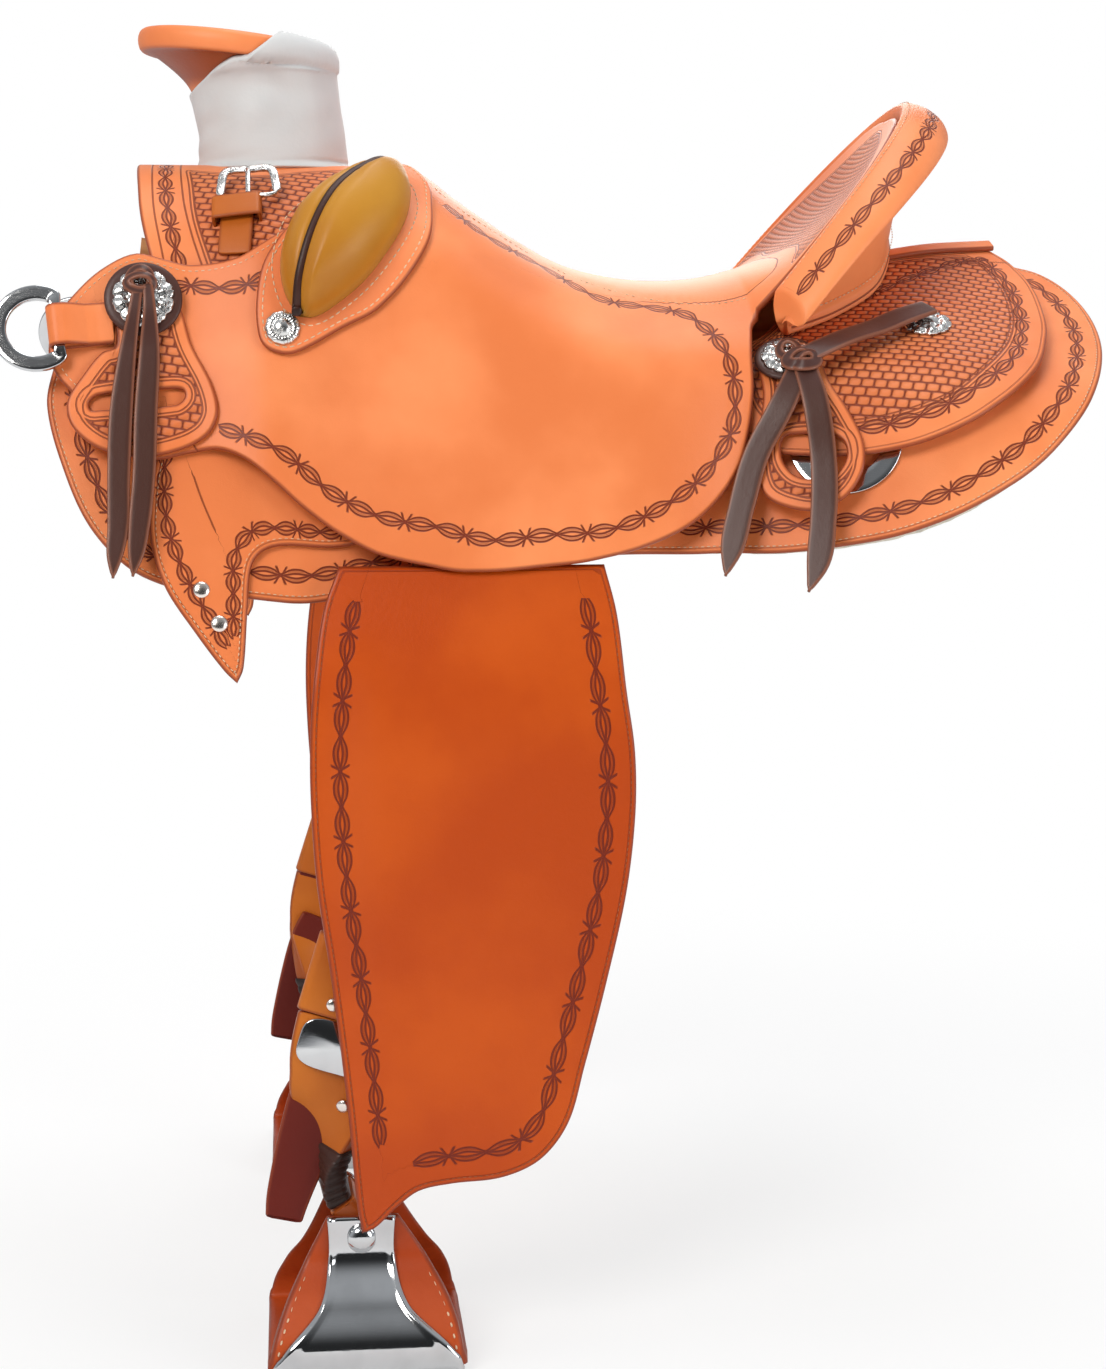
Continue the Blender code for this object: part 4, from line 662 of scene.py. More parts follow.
def sweep(middle, wide, thin, half_wide, half_thick, look, loop=False, bead=1.6):
    """A strap. In words: a rounded rectangle with its middle on the path, its width and
    thickness along two given directions; an open strap ends in a rounded tip."""
    middle, wide, thin = (np.asarray(v, float) for v in (middle, wide, thin))
    n = len(middle)
    w, h = (np.broadcast_to(np.asarray(v, float), (n,)).copy() for v in (half_wide, half_thick))
    if not loop:
        tip = np.r_[TIP, np.ones(n - 2), TIP[::-1]]
        index = np.r_[np.zeros(4, int), np.arange(1, n - 1), np.full(4, n - 1)]
        push = np.zeros(len(index))
        push[:4] = TIP_PUSH * np.minimum(h[0], 1.5)
        push[-4:] = -push[:4][::-1]
        middle = middle[index] + open_way(middle)[index] * push[:, None]
        wide, thin, w, h = wide[index], thin[index], w[index] * tip, h[index] * tip
        n = len(index)
    r = np.minimum(np.minimum(w, h), bead)
    sa, ca, sb, cb = np.array(SECTION).T
    a = sa * (w - r)[:, None] + ca * r[:, None]
    b = np.where(np.abs(sb) == 1, sb * (h - r)[:, None], 0) + cb * r[:, None]
    points = middle[:, None] + a[..., None] * wide[:, None] + b[..., None] * thin[:, None]
    cloth = np.stack([np.broadcast_to(lengths(middle)[:, None], a.shape), a], -1)
    return build(points, grid_faces(n, len(SECTION), loop), look,
                 untooled(np.maximum(w[:, None] - np.abs(a), 0)),
                 {"weave": (cloth, None), "border": (no_border(a.shape), None)})


def strip(middle, wide, half_wide, half_thick, look, loop=False, bead=1.6):
    """A strap whose width keeps one direction along the whole path."""
    step = closed_way(middle) if loop else open_way(middle)
    wide = np.broadcast_to(wide, step.shape)
    return sweep(middle, wide, np.cross(step, wide), half_wide, half_thick, look, loop, bead)


def ribbon(middle, normal, half_wide, half_thick, look, bead=1.6):
    """A strap that lies flat on a form with these normals."""
    along = open_way(middle)
    wide = unit(np.cross(normal, along))
    return sweep(middle, wide, np.cross(along, wide), half_wide, half_thick, look,
                 bead=bead)


def flat_ring(middle, normal, half_wide, half_thick, look, bead=1.6, span=1):
    """A closed band in the plane square to the normal."""
    step = closed_way(middle, span)
    thin = np.broadcast_to(normal, step.shape)
    return sweep(middle, np.cross(thin, step), thin, half_wide, half_thick, look, True, bead)


def turned(profile, look, point, normal, along=(1, 0, 0), steps=40, wave=None):
    """A solid of revolution. In words: each profile point (radius, height) is carried round the
    axis; wave changes the radius and the height with the angle."""
    profile = np.array(profile, float)
    a = circle(steps)
    r, h = np.repeat(profile[:, :1], steps, 1), np.repeat(profile[:, 1:2], steps, 1)
    if wave is not None:
        r, h = wave(r, h, a[None, :])
    z = unit(np.asarray(normal, float))
    x = level(np.asarray(along, float), z)
    points = (np.asarray(point, float) + (r * np.cos(a))[..., None] * x
              + (r * np.sin(a))[..., None] * np.cross(z, x) + h[..., None] * z)
    spin = np.broadcast_to(a[None, :] / (2 * math.pi), r.shape)
    return build(points, grid_faces(len(profile), steps), look,
                 untooled(np.full(r.size, INNER)),
                 {"weave": (np.stack([spin, r], -1), np.ones(r.size)),
                  "border": (no_border(r.size), None)})


def merge(objects):
    """Several separate closed solids in one piece."""
    bm = bmesh.new()
    for made in objects:
        bm.from_mesh(made.data)
    mesh = objects[0].data.copy()
    bm.to_mesh(mesh)
    bm.free()
    for made in objects:
        old = made.data
        bpy.data.objects.remove(made, do_unlink=True)
        bpy.data.meshes.remove(old)
    return added("piece", mesh)


# One stitch: place along it and the two radii, for four sides of six rings
SPINDLE = ((-0.5, 0.0), (-0.45, 0.55), (-0.2, 0.95), (0.2, 0.95), (0.45, 0.55), (0.5, 0))
THREAD = np.array([(place, r * math.cos(a), r * math.sin(a)) for place, r in SPINDLE
                   for a in (math.radians(angle) for angle in (0, 90, 180, 270))])
THREAD_FACES = grid_faces(len(SPINDLE), 4)


def stitches(runs, length=2.3, spacing=3.9, radius=0.34, look="thread"):
    """Rows of thread. In words: a short spindle at even steps of each line, in its own
    directions. Each run is the points and normals of a line."""
    points, faces, offset = [], [], 0
    for line, normals in runs:
        d = lengths(line)
        count = max(1, int(d[-1] / spacing))
        s = (np.arange(count) + 0.5) * d[-1] / count
        n = unit(read(s, d, normals))
        t = unit(read(s + 1, d, line) - read(s - 1, d, line))
        b = np.cross(n, t)
        local = (THREAD[None, :, :1] * length * t[:, None] + THREAD[None, :, 1:2] * radius
                 * b[:, None] + THREAD[None, :, 2:] * radius * n[:, None])
        points.append((read(s, d, line)[:, None] + local).reshape(-1, 3))
        own = np.arange(count)[:, None, None] * len(THREAD) + THREAD_FACES[None]
        faces.append(own.reshape(-1, 4) + offset)
        offset += count * len(THREAD)
    return build(np.concatenate(points), np.concatenate(faces), look, weld=1e-6)


def run(form, line, t):
    """Points and normals of a pattern line at a height over a form."""
    return spot_on(form, line[:, 0], line[:, 1], t)


# Shaders

def fade(tree, source, start, end, low, high):
    """A smooth change from low to high while the source goes from start to end."""
    node = tree.nodes.new("ShaderNodeMapRange")
    node.interpolation_type = "SMOOTHSTEP"
    for key, v in (("From Min", start), ("From Max", end), ("To Min", low), ("To Max", high)):
        node.inputs[key].default_value = v
    tree.links.new(source, node.inputs["Value"])
    return node.outputs[0]


class Value:
    """A shader socket used like a number."""

    def __init__(self, tree, socket):
        self.tree, self.socket = tree, socket

    def op(self, kind, *others):
        node = self.tree.nodes.new("ShaderNodeMath")
        node.operation = kind
        for k, v in enumerate((self, *others)):
            if isinstance(v, Value):
                self.tree.links.new(v.socket, node.inputs[k])
            else:
                node.inputs[k].default_value = v
        return Value(self.tree, node.outputs[0])

    def __add__(self, other):
        return self.op("ADD", other)

    def __sub__(self, other):
        return self.op("SUBTRACT", other)

    def __mul__(self, other):
        return self.op("MULTIPLY", other)

    def __truediv__(self, other):
        return self.op("DIVIDE", other)

    def away(self):
        return self.op("ABSOLUTE")

    def rise(self, a, b):
        """A smooth change from 0 at a to 1 at b, whichever is greater."""
        falls = a > b
        return Value(self.tree, fade(self.tree, self.socket, min(a, b), max(a, b),
                                     float(falls), float(not falls)))


class Look:
    """A material under construction."""

    def __init__(self, name):
        self.made = bpy.data.materials.new(name)
        self.made.use_nodes = True
        self.tree = self.made.node_tree
        self.shader = self.tree.nodes["Principled BSDF"]
        self.place = self.tree.nodes.new("ShaderNodeTexCoord").outputs["Object"]

    def link(self, a, b):
        self.tree.links.new(a.socket if isinstance(a, Value) else a, b)

    def number(self, name):
        node = self.tree.nodes.new("ShaderNodeAttribute")
        node.attribute_name = name
        return Value(self.tree, node.outputs["Fac"])

    def flat(self, name):
        node = self.tree.nodes.new("ShaderNodeUVMap")
        node.uv_map = name
        cut = self.tree.nodes.new("ShaderNodeSeparateXYZ")
        self.link(node.outputs[0], cut.inputs[0])
        return Value(self.tree, cut.outputs[0]), Value(self.tree, cut.outputs[1])

    def noise(self, scale, detail=2.0, stretch=None, distortion=0.0):
        node = self.tree.nodes.new("ShaderNodeTexNoise")
        node.inputs["Scale"].default_value = scale
        node.inputs["Detail"].default_value = detail
        node.inputs["Distortion"].default_value = distortion
        source = self.place
        if stretch:
            bend = self.tree.nodes.new("ShaderNodeMapping")
            bend.inputs["Scale"].default_value = stretch
            self.link(source, bend.inputs[0])
            source = bend.outputs[0]
        self.link(source, node.inputs["Vector"])
        return Value(self.tree, node.outputs["Fac"])

    def colour(self, rgb):
        node = self.tree.nodes.new("ShaderNodeRGB")
        node.outputs[0].default_value = (*rgb, 1)
        return node.outputs[0]

    def mix(self, share, a, b):
        node = self.tree.nodes.new("ShaderNodeMix")
        node.data_type = "RGBA"
        if isinstance(share, Value):
            self.link(share, node.inputs["Factor"])
        else:
            node.inputs["Factor"].default_value = share
        self.link(a if not isinstance(a, tuple) else self.colour(a), node.inputs[6])
        self.link(b if not isinstance(b, tuple) else self.colour(b), node.inputs[7])
        return node.outputs[2]

    def bump(self, height, distance=0.001, strength=1.0):
        node = self.tree.nodes.new("ShaderNodeBump")
        node.inputs["Distance"].default_value = distance
        node.inputs["Strength"].default_value = strength
        self.link(height, node.inputs["Height"])
        self.link(node.outputs[0], self.shader.inputs["Normal"])

    def set(self, **sockets):
        for key, v in sockets.items():
            target = self.shader.inputs[key.replace("_", " ")]
            if isinstance(v, (Value, bpy.types.NodeSocket)):
                self.link(v, target)
            else:
                target.default_value = v


def leather(name, base, dark, edge, tooled=False, basket=None, grain=1.0, rough=0.44,
            crease=0.0):
    """Vegetable tanned leather: mottled colour, burnished edges, and where it is tooled a twisted
    wire border, basket stamping and plain lines, all from the piece's own maps."""
    look = Look(name)
    cloud = look.noise(7.0, 4.0)
    blotch = look.noise(38.0, 3.0)
    pore = look.noise(1400.0, 2.0)
    wrinkle = look.noise(260.0, 3.0, distortion=0.4)
    shade = tuple(c * k for c, k in zip(base, (0.86, 0.74, 0.62)))
    bright = tuple(min(c * k, 0.95) for c, k in zip(base, (1.05, 1.1, 1.16)))
    colour = look.mix(cloud.rise(0.36, 0.66), shade, bright)
    colour = look.mix(blotch.rise(0.45, 0.8) * 0.16, colour, shade)
    rim = look.number("edge")
    # Edge darkening: burnished edges, and on the horn also painted shade under the cap's rim
    burnish_and_shade = rim.rise(2.6, 0.5)
    height = (pore - 0.5) * (0.10 * grain) + (wrinkle - 0.5) * (0.16 * grain)
    cut = None
    if crease:
        fold = (rim - crease).away().rise(0.75, 0.25)
        height = height - fold * 0.45
        cut = fold * 0.5
    if tooled:
        s, v = look.flat("border")
        v = v * 0.74
        wave = (s * (2 * math.pi)).op("SINE") * 2.15
        thick = wave.away().rise(0.2, 2.0) * 0.55 + 0.45
        one = ((v - wave).away() - thick).away()
        two = ((v + wave).away() - thick).away()
        wire = one.op("MINIMUM", two).rise(0.66, 0.24)
        vein = (v - wave).away().op("MINIMUM", (v + wave).away()).rise(0.4, 0.1)
        vein = vein * wave.away().rise(1.1, 1.7) * 0.4
        wire = wire.op("MAXIMUM", vein) * v.away().rise(4.4, 3.8)
        along = (s.op("FRACT") - 0.5).away() * 34.0
        hook = (along - (v.away() * 0.55 + 0.6)).away().rise(0.85, 0.3) * v.away().rise(4.8, 3.9)
        hook = hook * v.away().rise(0.3, 1.0)
        wire = wire.op("MAXIMUM", hook)
        matted = v.away().rise(4.2, 2.0) * 0.22
        plain = look.number("line")
        plain = plain.away().rise(0.8, 0.25)
        wire = wire.op("MAXIMUM", plain * 0.8)
        height = height - wire * 0.9 - matted * 0.5
        cut = wire if cut is None else cut.op("MAXIMUM", wire)
    if basket:
        cell_long, cell_short, angle = basket
        p, q = look.flat("weave")
        c, sn = math.cos(angle), math.sin(angle)
        a = (p * c + q * sn) / cell_long
        b = (q * c - p * sn) / cell_short
        shift = (b.op("FLOOR") * 0.5).op("FRACT")
        fa = ((a + shift).op("FRACT") * 2.0 - 1.0).away()
        fb = (b.op("FRACT") * 2.0 - 1.0).away()
        pillow = (fa.op("POWER", 3.0) * -1.0 + 1.0) * (fb.op("POWER", 2.4) * -1.0 + 1.0)
        ends = fa.rise(0.5, 0.95) * (fb.rise(0.75, 0.35))
        tines = ((b * (6 * math.pi)).op("SINE") * 0.5 + 0.5) * ends
        field = look.number("field")
        within = field.rise(0.6, 1.4)
        ridge = (field - 1.0).away().rise(0.9, 0.35)
        ridge = ridge.op("MAXIMUM", (field + 1.4).away().rise(0.7, 0.25) * 0.9)
        hollow = (pillow * -1.0 + 1.0) * 1.1 + tines * 0.2
        stamped = (hollow * within).op("MAXIMUM", ridge * 0.8)
        height = height - stamped * 1.3
        # Basket hollows and field in the dark tooling colour: stamped-in stain, deepened as painted
        # shade between the raised stamps
        hollow_stain_and_shade = (pillow.rise(0.75, 0.1) * within * 0.95).op("MAXIMUM", ridge * 0.85)
        hollow_stain_and_shade = hollow_stain_and_shade.op("MAXIMUM", within * 0.16)
        cut = hollow_stain_and_shade if cut is None else cut.op("MAXIMUM", hollow_stain_and_shade)
    if cut is not None:
        colour = look.mix(cut * 0.94, colour, dark)
    colour = look.mix(burnish_and_shade * 0.85, colour, edge)
    look.set(Base_Color=colour, Roughness=cloud * 0.12 + (rough - 0.05) - burnish_and_shade * 0.1,
             Specular_IOR_Level=0.26, Coat_Weight=0.05, Coat_Roughness=0.3)
    look.bump(height, 0.0011, 0.85)
    return look.made


def metal(name, colour, rough, engraved=False):
    look = Look(name)
    smear = look.noise(45.0, 4.0)
    scratch = look.noise(220.0, 3.0, (1, 1, 9))
    roughness = smear * 0.1 + (rough - 0.05) + scratch.rise(0.55, 0.75) * 0.06
    tint = look.mix(smear.rise(0.4, 0.75), colour, tuple(c * 0.9 for c in colour))
    if engraved:
        leaf = look.noise(150.0, 1.0, distortion=1.8)
        scroll = (leaf - 0.5).away().rise(0.05, 0.01)
        tint = look.mix(scroll * 0.5, tint, (0.10, 0.09, 0.08))
        look.bump(scroll * -0.7, 0.0004, 0.7)
    else:
        look.bump(scratch * 0.2 + smear * 0.2, 0.0002, 0.25)
    look.set(Base_Color=tint, Metallic=1.0, Roughness=roughness)
    return look.made


def cloth_like(name, colour, shade, scale, rough, depth, sheen=0.0):
    """A soft surface: suede, wool or rubberised wrap."""
    look = Look(name)
    big, small = look.noise(scale, 3.0), look.noise(scale * 14, 3.0)
    look.set(Base_Color=look.mix(big.rise(0.38, 0.66), shade, colour), Roughness=rough,
             Sheen_Weight=sheen, Specular_IOR_Level=0.25)
    look.bump(small + big * 0.6, depth, 0.8)
    return look.made


def grained(name, colour, shade):
    """Rawhide over wood: long soft streaks."""
    look = Look(name)
    streak = look.noise(22.0, 5.0, (0.25, 2.0, 2.0), 0.6)
    knot = look.noise(160.0, 2.0, (0.2, 1.5, 1.5))
    look.set(Base_Color=look.mix(streak.rise(0.35, 0.7), shade, colour),
             Roughness=knot * 0.2 + 0.45, Specular_IOR_Level=0.35)
    look.bump(streak * 0.5 + knot * 0.5, 0.0007, 0.7)
    return look.made


LOOKS = {}


# Patterns, in millimetres on their forms; a third value marks a corner
SKIRT_POINTS = [
    (-332, 178), (-336, 205), (-326, 246), (-309, 285), (-286, 306), (-255, 309), (-225, 302),
    (-180, 291), (-110, 274), (-30, 262), (46, 256), (90, 262), (136, 276), (178, 284), (215, 287),
    (251, 282), (287, 264), (317, 239), (346, 202), (367, 150), (374, 102), (369, 58), (354, 27),
    (330, 12, 1), (230, 10), (100, 24), (-60, 32), (-200, 36), (-285, 56), (-318, 115)]
SKIRT_KEYS = [(1, 1), (4, 29), (7, 27), (9, 26), (11, 25), (14, 24), (17, 23), (20, 20)]
JOCKEY_POINTS = [
    (222, 26, 1), (240, 25), (284, 19), (319, 14, 1), (329, 34), (336, 68), (334, 113),
    (327, 147), (309, 188), (271, 220), (237, 232), (198, 231), (160, 221), (128, 206),
    (112, 180), (112, 140), (135, 118), (160, 84), (190, 52)]
JOCKEY_KEYS = [(14, 14), (16, 12), (18, 10), (1, 8), (2, 6), (3, 3)]
PLATE_POINTS = [
    (-266, 225), (-271, 262), (-270, 289), (-261, 313), (-244, 333), (-225, 352), (-217, 357, 1),
    (-213, 346), (-210, 307), (-207, 277), (-198, 263), (-180, 254), (-143, 250), (-131, 246, 1),
    (-131, 215), (-150, 192), (-200, 184), (-250, 188)]
PLATE_KEYS = [(6, 6), (8, 3), (9, 1), (10, 0), (11, 17), (12, 16), (13, 15), (14, 14)]
FORK_POINTS = [
    (-282, 0, 1), (-282, 40), (-280, 80), (-276, 120), (-268, 158), (-262, 176, 1), (-230, 178),
    (-204, 174), (-185, 160), (-160, 130), (-130, 96), (-104, 66, 1), (-101, 30), (-101, 0, 1),
    (-150, 0, 1), (-205, 0, 1), (-250, 0, 1)]
FORK_KEYS = [(0, 0), (4, 16), (7, 15), (10, 14), (13, 13)]
SEAT_POINTS = [
    (-99, 0, 1), (-99, 30), (-101, 56, 1), (-118, 76), (-140, 98), (-170, 122), (-199, 144),
    (-216, 154), (-244, 158), (-261, 154), (-279, 150), (-299, 160), (-316, 176), (-331, 198),
    (-333, 226), (-312, 254), (-291, 277), (-268, 290), (-246, 286), (-228, 283), (-211, 289),
    (-193, 303), (-174, 321), (-149, 340), (-118, 355), (-89, 352), (-64, 336), (-13, 298.5),
    (15, 281.5), (43, 268), (74, 251), (94, 232), (108, 211), (116, 186), (120, 160), (121, 135),
    (124, 108, 1), (129, 97, 1), (150, 97), (173, 96.5), (196, 96), (215, 95), (230, 92),
    (241, 84), (245.5, 66, 1), (246.5, 40), (246.5, 0, 1), (200, 0, 1), (127, 0, 1), (60, 0, 1),
    (-20, 0, 1)]
SEAT_KEYS = [(14, 14), (19, 8), (22, 5), (24, 3), (25, 0), (27, 50), (30, 49), (37, 48), (42, 47),
             (46, 46)]
ROLL_POINTS = [
    (-200, 208), (-195, 217), (-182, 221), (-170, 217), (-146, 203), (-123, 190), (-104, 166),
    (-89, 132), (-86, 96), (-88, 74), (-100, 61), (-117, 76), (-138, 91), (-160, 108),
    (-182, 135), (-196, 158), (-201, 184)]
ROLL_KEYS = [(1, 1), (3, 0), (4, 16), (5, 15), (6, 14), (7, 12), (10, 10)]
PAD_POINTS = [
    (-186, 166), (-183, 144), (-173, 123), (-148, 99), (-120, 87), (-105, 91), (-101, 108),
    (-108, 136), (-125, 164), (-145, 184), (-167, 197), (-180, 188)]
WELT = [(-176, 196), (-174, 176), (-167, 152), (-153, 127), (-135, 106), (-112, 88)]
LATIGO_POINTS = [
    (-291, 216), (-291, 196), (-290, 176), (-276, 170), (-260, 172), (-250, 190), (-243, 214),
    (-230, 240), (-226, 260), (-233, 275), (-251, 285), (-276, 290), (-301, 285), (-318, 271),
    (-322, 254), (-311, 234), (-300, 220)]
LATIGO_SLOT = [(-308, 254), (-302, 249), (-256, 244), (-249, 245), (-248, 250), (-254, 255),
               (-301, 259), (-307, 259)]
LATIGO_KEYS = [(0, 1), (6, 2), (8, 4), (10, 5), (12, 6), (14, 0)]
FLANK_POINTS = [
    (131, 152), (131, 176), (127, 196), (125, 216), (129, 239), (142, 252), (162, 261),
    (180, 257), (191, 242), (192, 222), (184, 200), (174, 180), (168, 160), (150, 142)]
FLANK_SLOT = [(143, 205), (141, 218), (148, 232), (160, 239), (174, 240), (181, 231), (180, 220),
              (171, 211), (158, 207)]
FLANK_KEYS = [(2, 0), (3, 1), (5, 2), (6, 3), (7, 4), (8, 5), (9, 6), (10, 7)]
FENDER_POINTS = [
    (-151, -12, 1), (-161, 16), (-168, 60), (-171, 100), (-171, 139), (-168, 190), (-160, 250),
    (-151, 330), (-145, 400), (-142, 416, 1), (-134, 414), (-119, 401), (-105, 391), (-84, 387),
    (-51, 384), (-26, 373), (-8, 350), (3, 313), (18, 257), (31, 200), (37, 150), (37, 110),
    (32, 70), (27, 20), (20, -12, 1)]
FENDER_KEYS = [(9, 9), (12, 8), (15, 7), (17, 6), (19, 5), (21, 3), (22, 2), (24, 0)]
SEAT_BORDER = [(-78, 80), (-50, 82), (-5, 76), (29, 88), (63, 89), (86, 95), (99, 114), (108, 151),
               (105, 185), (83, 219), (43, 249), (-11, 277), (-64, 314), (-115, 330), (-154, 313),
               (-185, 286), (-228, 268)]
SEAT_FRONT_BORDER = [(-262, 176), (-246, 173), (-228, 175), (-208, 173), (-190, 165)]
SEAT_SEAM = [(-84, 60), (-70, 66), (-33, 63), (6, 66), (46, 76), (97, 84), (126, 84)]
DISH = [(241, 0), (240, 20), (234, 48), (223, 67), (208, 80), (190, 88), (172, 91), (156, 90),
        (163, 76), (168, 58), (168, 38), (164, 18), (162, 0)]
SADDLE_OVAL = [(60, 83), (91, 82), (111, 82), (130, 80), (145, 76), (153, 60), (156, 32), (157, 0)]


def border_inside(points, distance, spacing=2.0):
    """The line that runs inside an outline at the given distance."""
    line, _ = rounded(points, spacing)
    moved = inset(line, distance)
    soft = moved[:-1]
    for _ in range(12):
        soft = (np.roll(soft, 1, 0) + 2 * soft + np.roll(soft, -1, 0)) / 4
    return np.concatenate([soft, soft[:1]])


def between(line, low, high):
    """The stretch of a closed line where x lies between two values, longest first."""
    keep = (line[:-1, 0] > low) & (line[:-1, 0] < high)
    if keep.all():
        return line
    start = int(np.argmin(keep))
    order = (np.arange(len(keep)) + start) % len(keep)
    kept = keep[order]
    edges = np.flatnonzero(np.diff(np.r_[0, kept.astype(int), 0]))
    runs = sorted(((b - a, a, b) for a, b in zip(edges[::2], edges[1::2])), reverse=True)
    _, a, b = runs[0]
    return line[:-1][order[a:b]]


# Sizes and colours that can be changed

def length(name, value, low, high, text):
    return FloatProperty(name=name, default=value * MM, min=low * MM, max=high * MM,
                         unit="LENGTH", description=text)


def paint(name, value, text):
    return FloatVectorProperty(name=name, default=value, min=0, max=1, size=3, subtype="COLOR",
                               description=text)


class SaddleSettings(bpy.types.PropertyGroup):
    """Sizes and colours of the looks."""
    leather: paint("Leather", (0.88, 0.262, 0.088), "Russet leather of the seat and skirts")
    fender: paint("Fender", (0.54, 0.075, 0.002), "Deeper leather of the fenders")
    tooling: paint("Tooling", (0.16, 0.016, 0.006), "Colour in the stamped grooves")
    # This colour also paints shade under the horn cap's rim
    burnish_and_shade: paint("Burnished edge", (0.24, 0.040, 0.014), "Colour of the rubbed edges")
    strings: paint("Strings", (0.070, 0.028, 0.022), "Oiled string leather")
    pad: paint("Roll pad", (0.50, 0.22, 0.020), "Smooth tan leather over the bucking rolls")
    wrap: paint("Horn wrap", (0.66, 0.67, 0.67), "Pale wrap around the horn")
    thread: paint("Thread", (0.86, 0.62, 0.40), "Waxed stitching thread")
    wool: paint("Wool", (0.80, 0.73, 0.58), "Fleece under the skirts")
    period: length("Border repeat", 40, 30, 90, "Length of one repeat of the wire border")
    cell_length: length("Basket length", 8.6, 4, 20, "Length of a basket stamp")
    cell_width: length("Basket width", 6.0, 2, 12, "Width of a basket stamp")
    stitch: length("Stitch spacing", 4.6, 2, 9, "Distance from one stitch to the next")
    pad_height: length("Pad height", 31, 10, 40, "Rise of the bucking roll pads")


def settings():
    return bpy.context.scene.wade_saddle


def millimetres(value):
    return value / MM


class SADDLE_OT_looks(bpy.types.Operator):
    """Makes the leathers, metals and other surfaces"""
    bl_idname = "saddle.looks"
    bl_label = "Surfaces"

    def execute(self, context):
        s = settings()
        base, dark, edge = tuple(s.leather), tuple(s.tooling), tuple(s.burnish_and_shade)
        cell = (millimetres(s.cell_length), millimetres(s.cell_width))
        black = (0.02, 0.01, 0.008)
        for key, name, colour, more in (
                ("plain", "plain_leather", base, {}),
                ("tooled", "tooled_leather", base, {"tooled": True, "crease": 3.4}),
                ("seat", "seat_leather_finish", base, {
                    "tooled": True, "basket": (5.2, 3.6, 0.6), "grain": 0.8, "rough": 0.42}),
                ("basket", "basket_leather", base, {
                    "tooled": True, "basket": (*cell, 0.35), "crease": 3.4}),
                ("fork", "fork_leather", base, {"tooled": True, "basket": (*cell, 0.25)}),
                ("keeper", "keeper_leather", base, {"basket": (*cell, 0.15)}),
                ("fender", "fender_leather", tuple(s.fender), {
                    "tooled": True, "crease": 3.6, "rough": 0.4}),
                ("tooled_roll", "roll_leather", base, {"tooled": True}),
                ("horn", "horn_leather_finish", base, {"tooled": True}),
                ("roll_base", "roll_base_finish", (0.90, 0.27, 0.10), {}),
                ("liner", "liner_leather", (0.46, 0.066, 0.010), {}),
                # Painted shade: the stirrup leather that hangs behind the fender, painted almost
                # black for the shade it lies in
                ("deep", "painted_shade_strap_leather", (0.13, 0.008, 0.002), {"rough": 0.5}),
                ("tan", "tan_leather", (0.52, 0.135, 0.010), {"edge": (0.30, 0.06, 0.010)}),
                ("string", "string_leather", tuple(s.strings), {
                    "dark": black, "edge": (0.25, 0.09, 0.05), "rough": 0.38, "grain": 0.7}),
                ("welt", "welt_leather", (0.055, 0.02, 0.014), {"dark": black, "edge": black}),
                ("pad", "pad_leather", tuple(s.pad), {
                    "dark": (0.25, 0.10, 0.02), "edge": (0.42, 0.20, 0.03), "grain": 0.6,
                    "rough": 0.4})):
            LOOKS[key] = leather(name, colour, **{"dark": dark, "edge": edge, **more})
        for key, name, colour, shade, more in (
                ("thread_dark", "dark_thread_finish", (0.35, 0.12, 0.05), (0.26, 0.08, 0.03),
                 (90.0, 0.7, 0.0002)),
                ("wrap", "horn_wrap_finish", tuple(s.wrap), 0.93, (16.0, 0.6, 0.0003, 0.1)),
                ("thread", "thread_finish", tuple(s.thread), 0.8, (90.0, 0.7, 0.0002)),
                ("wool", "wool_finish", tuple(s.wool), 0.72, (60.0, 0.95, 0.003, 0.5))):
            if isinstance(shade, float):
                shade = tuple(c * shade for c in colour)
            LOOKS[key] = cloth_like(name, colour, shade, *more)
        for key, name, colour, rough, engraved in (
                ("steel", "polished_steel", (0.62, 0.63, 0.64), 0.09, False),
                ("silver", "engraved_silver", (0.76, 0.755, 0.74), 0.2, True),
                ("bright", "bright_silver", (0.80, 0.79, 0.77), 0.14, False),
                ("rivet", "nickel_rivet", (0.86, 0.78, 0.72), 0.22, False)):
            LOOKS[key] = metal(name, colour, rough, engraved)
        LOOKS["rawhide"] = grained("rawhide", (0.62, 0.33, 0.14), (0.42, 0.19, 0.07))
        return {"FINISHED"}


class SADDLE_OT_skirts(bpy.types.Operator):
    """Makes the two skirts with their wool linings"""
    bl_idname = "saddle.skirts"
    bl_label = "Skirts"

    def execute(self, context):
        made = panel(back, two_sides(SKIRT_POINTS, SKIRT_KEYS, 4.5), 0, SKIRT, "tooled", 34,
                     borders=[border_inside(SKIRT_POINTS, 17.0)])
        pair(made, "skirt_leather", "skirt")
        line, _ = rounded(SKIRT_POINTS, 2.0)
        pair(stitches([run(back, inset(line, 4.2), SKIRT + 0.05)]), "skirt_stitching")
        small = [tuple(p) for p in inset(rounded(SKIRT_POINTS, 9.0)[0], 2.6)[:-1]]
        n = len(small)
        reach = [p[0] for p in small]
        tip, front = int(np.argmax(reach)), int(np.argmin(reach))
        up = (tip - front) % n
        keys = [((front + round(up * k)) % n, (front - round((n - up) * k)) % n)
                for k in (0, 0.2, 0.4, 0.6, 0.8)] + [(tip, tip)]

        def low(x, u):
            wave = (np.sin(x * 0.31 + 2.1 * np.sin(u * 0.17)) * np.sin(u * 0.29 + x * 0.05)
                    + 0.6 * np.sin(x * 0.83 + 1.3) * np.sin(u * 0.77))
            return -LAY - FLEECE - 1.1 * wave

        made = panel(back, two_sides(small, keys, 5.0), low, -LAY, "wool", 44, bead=5.0)
        pair(made, "wool_lining", "fleece")
        return {"FINISHED"}


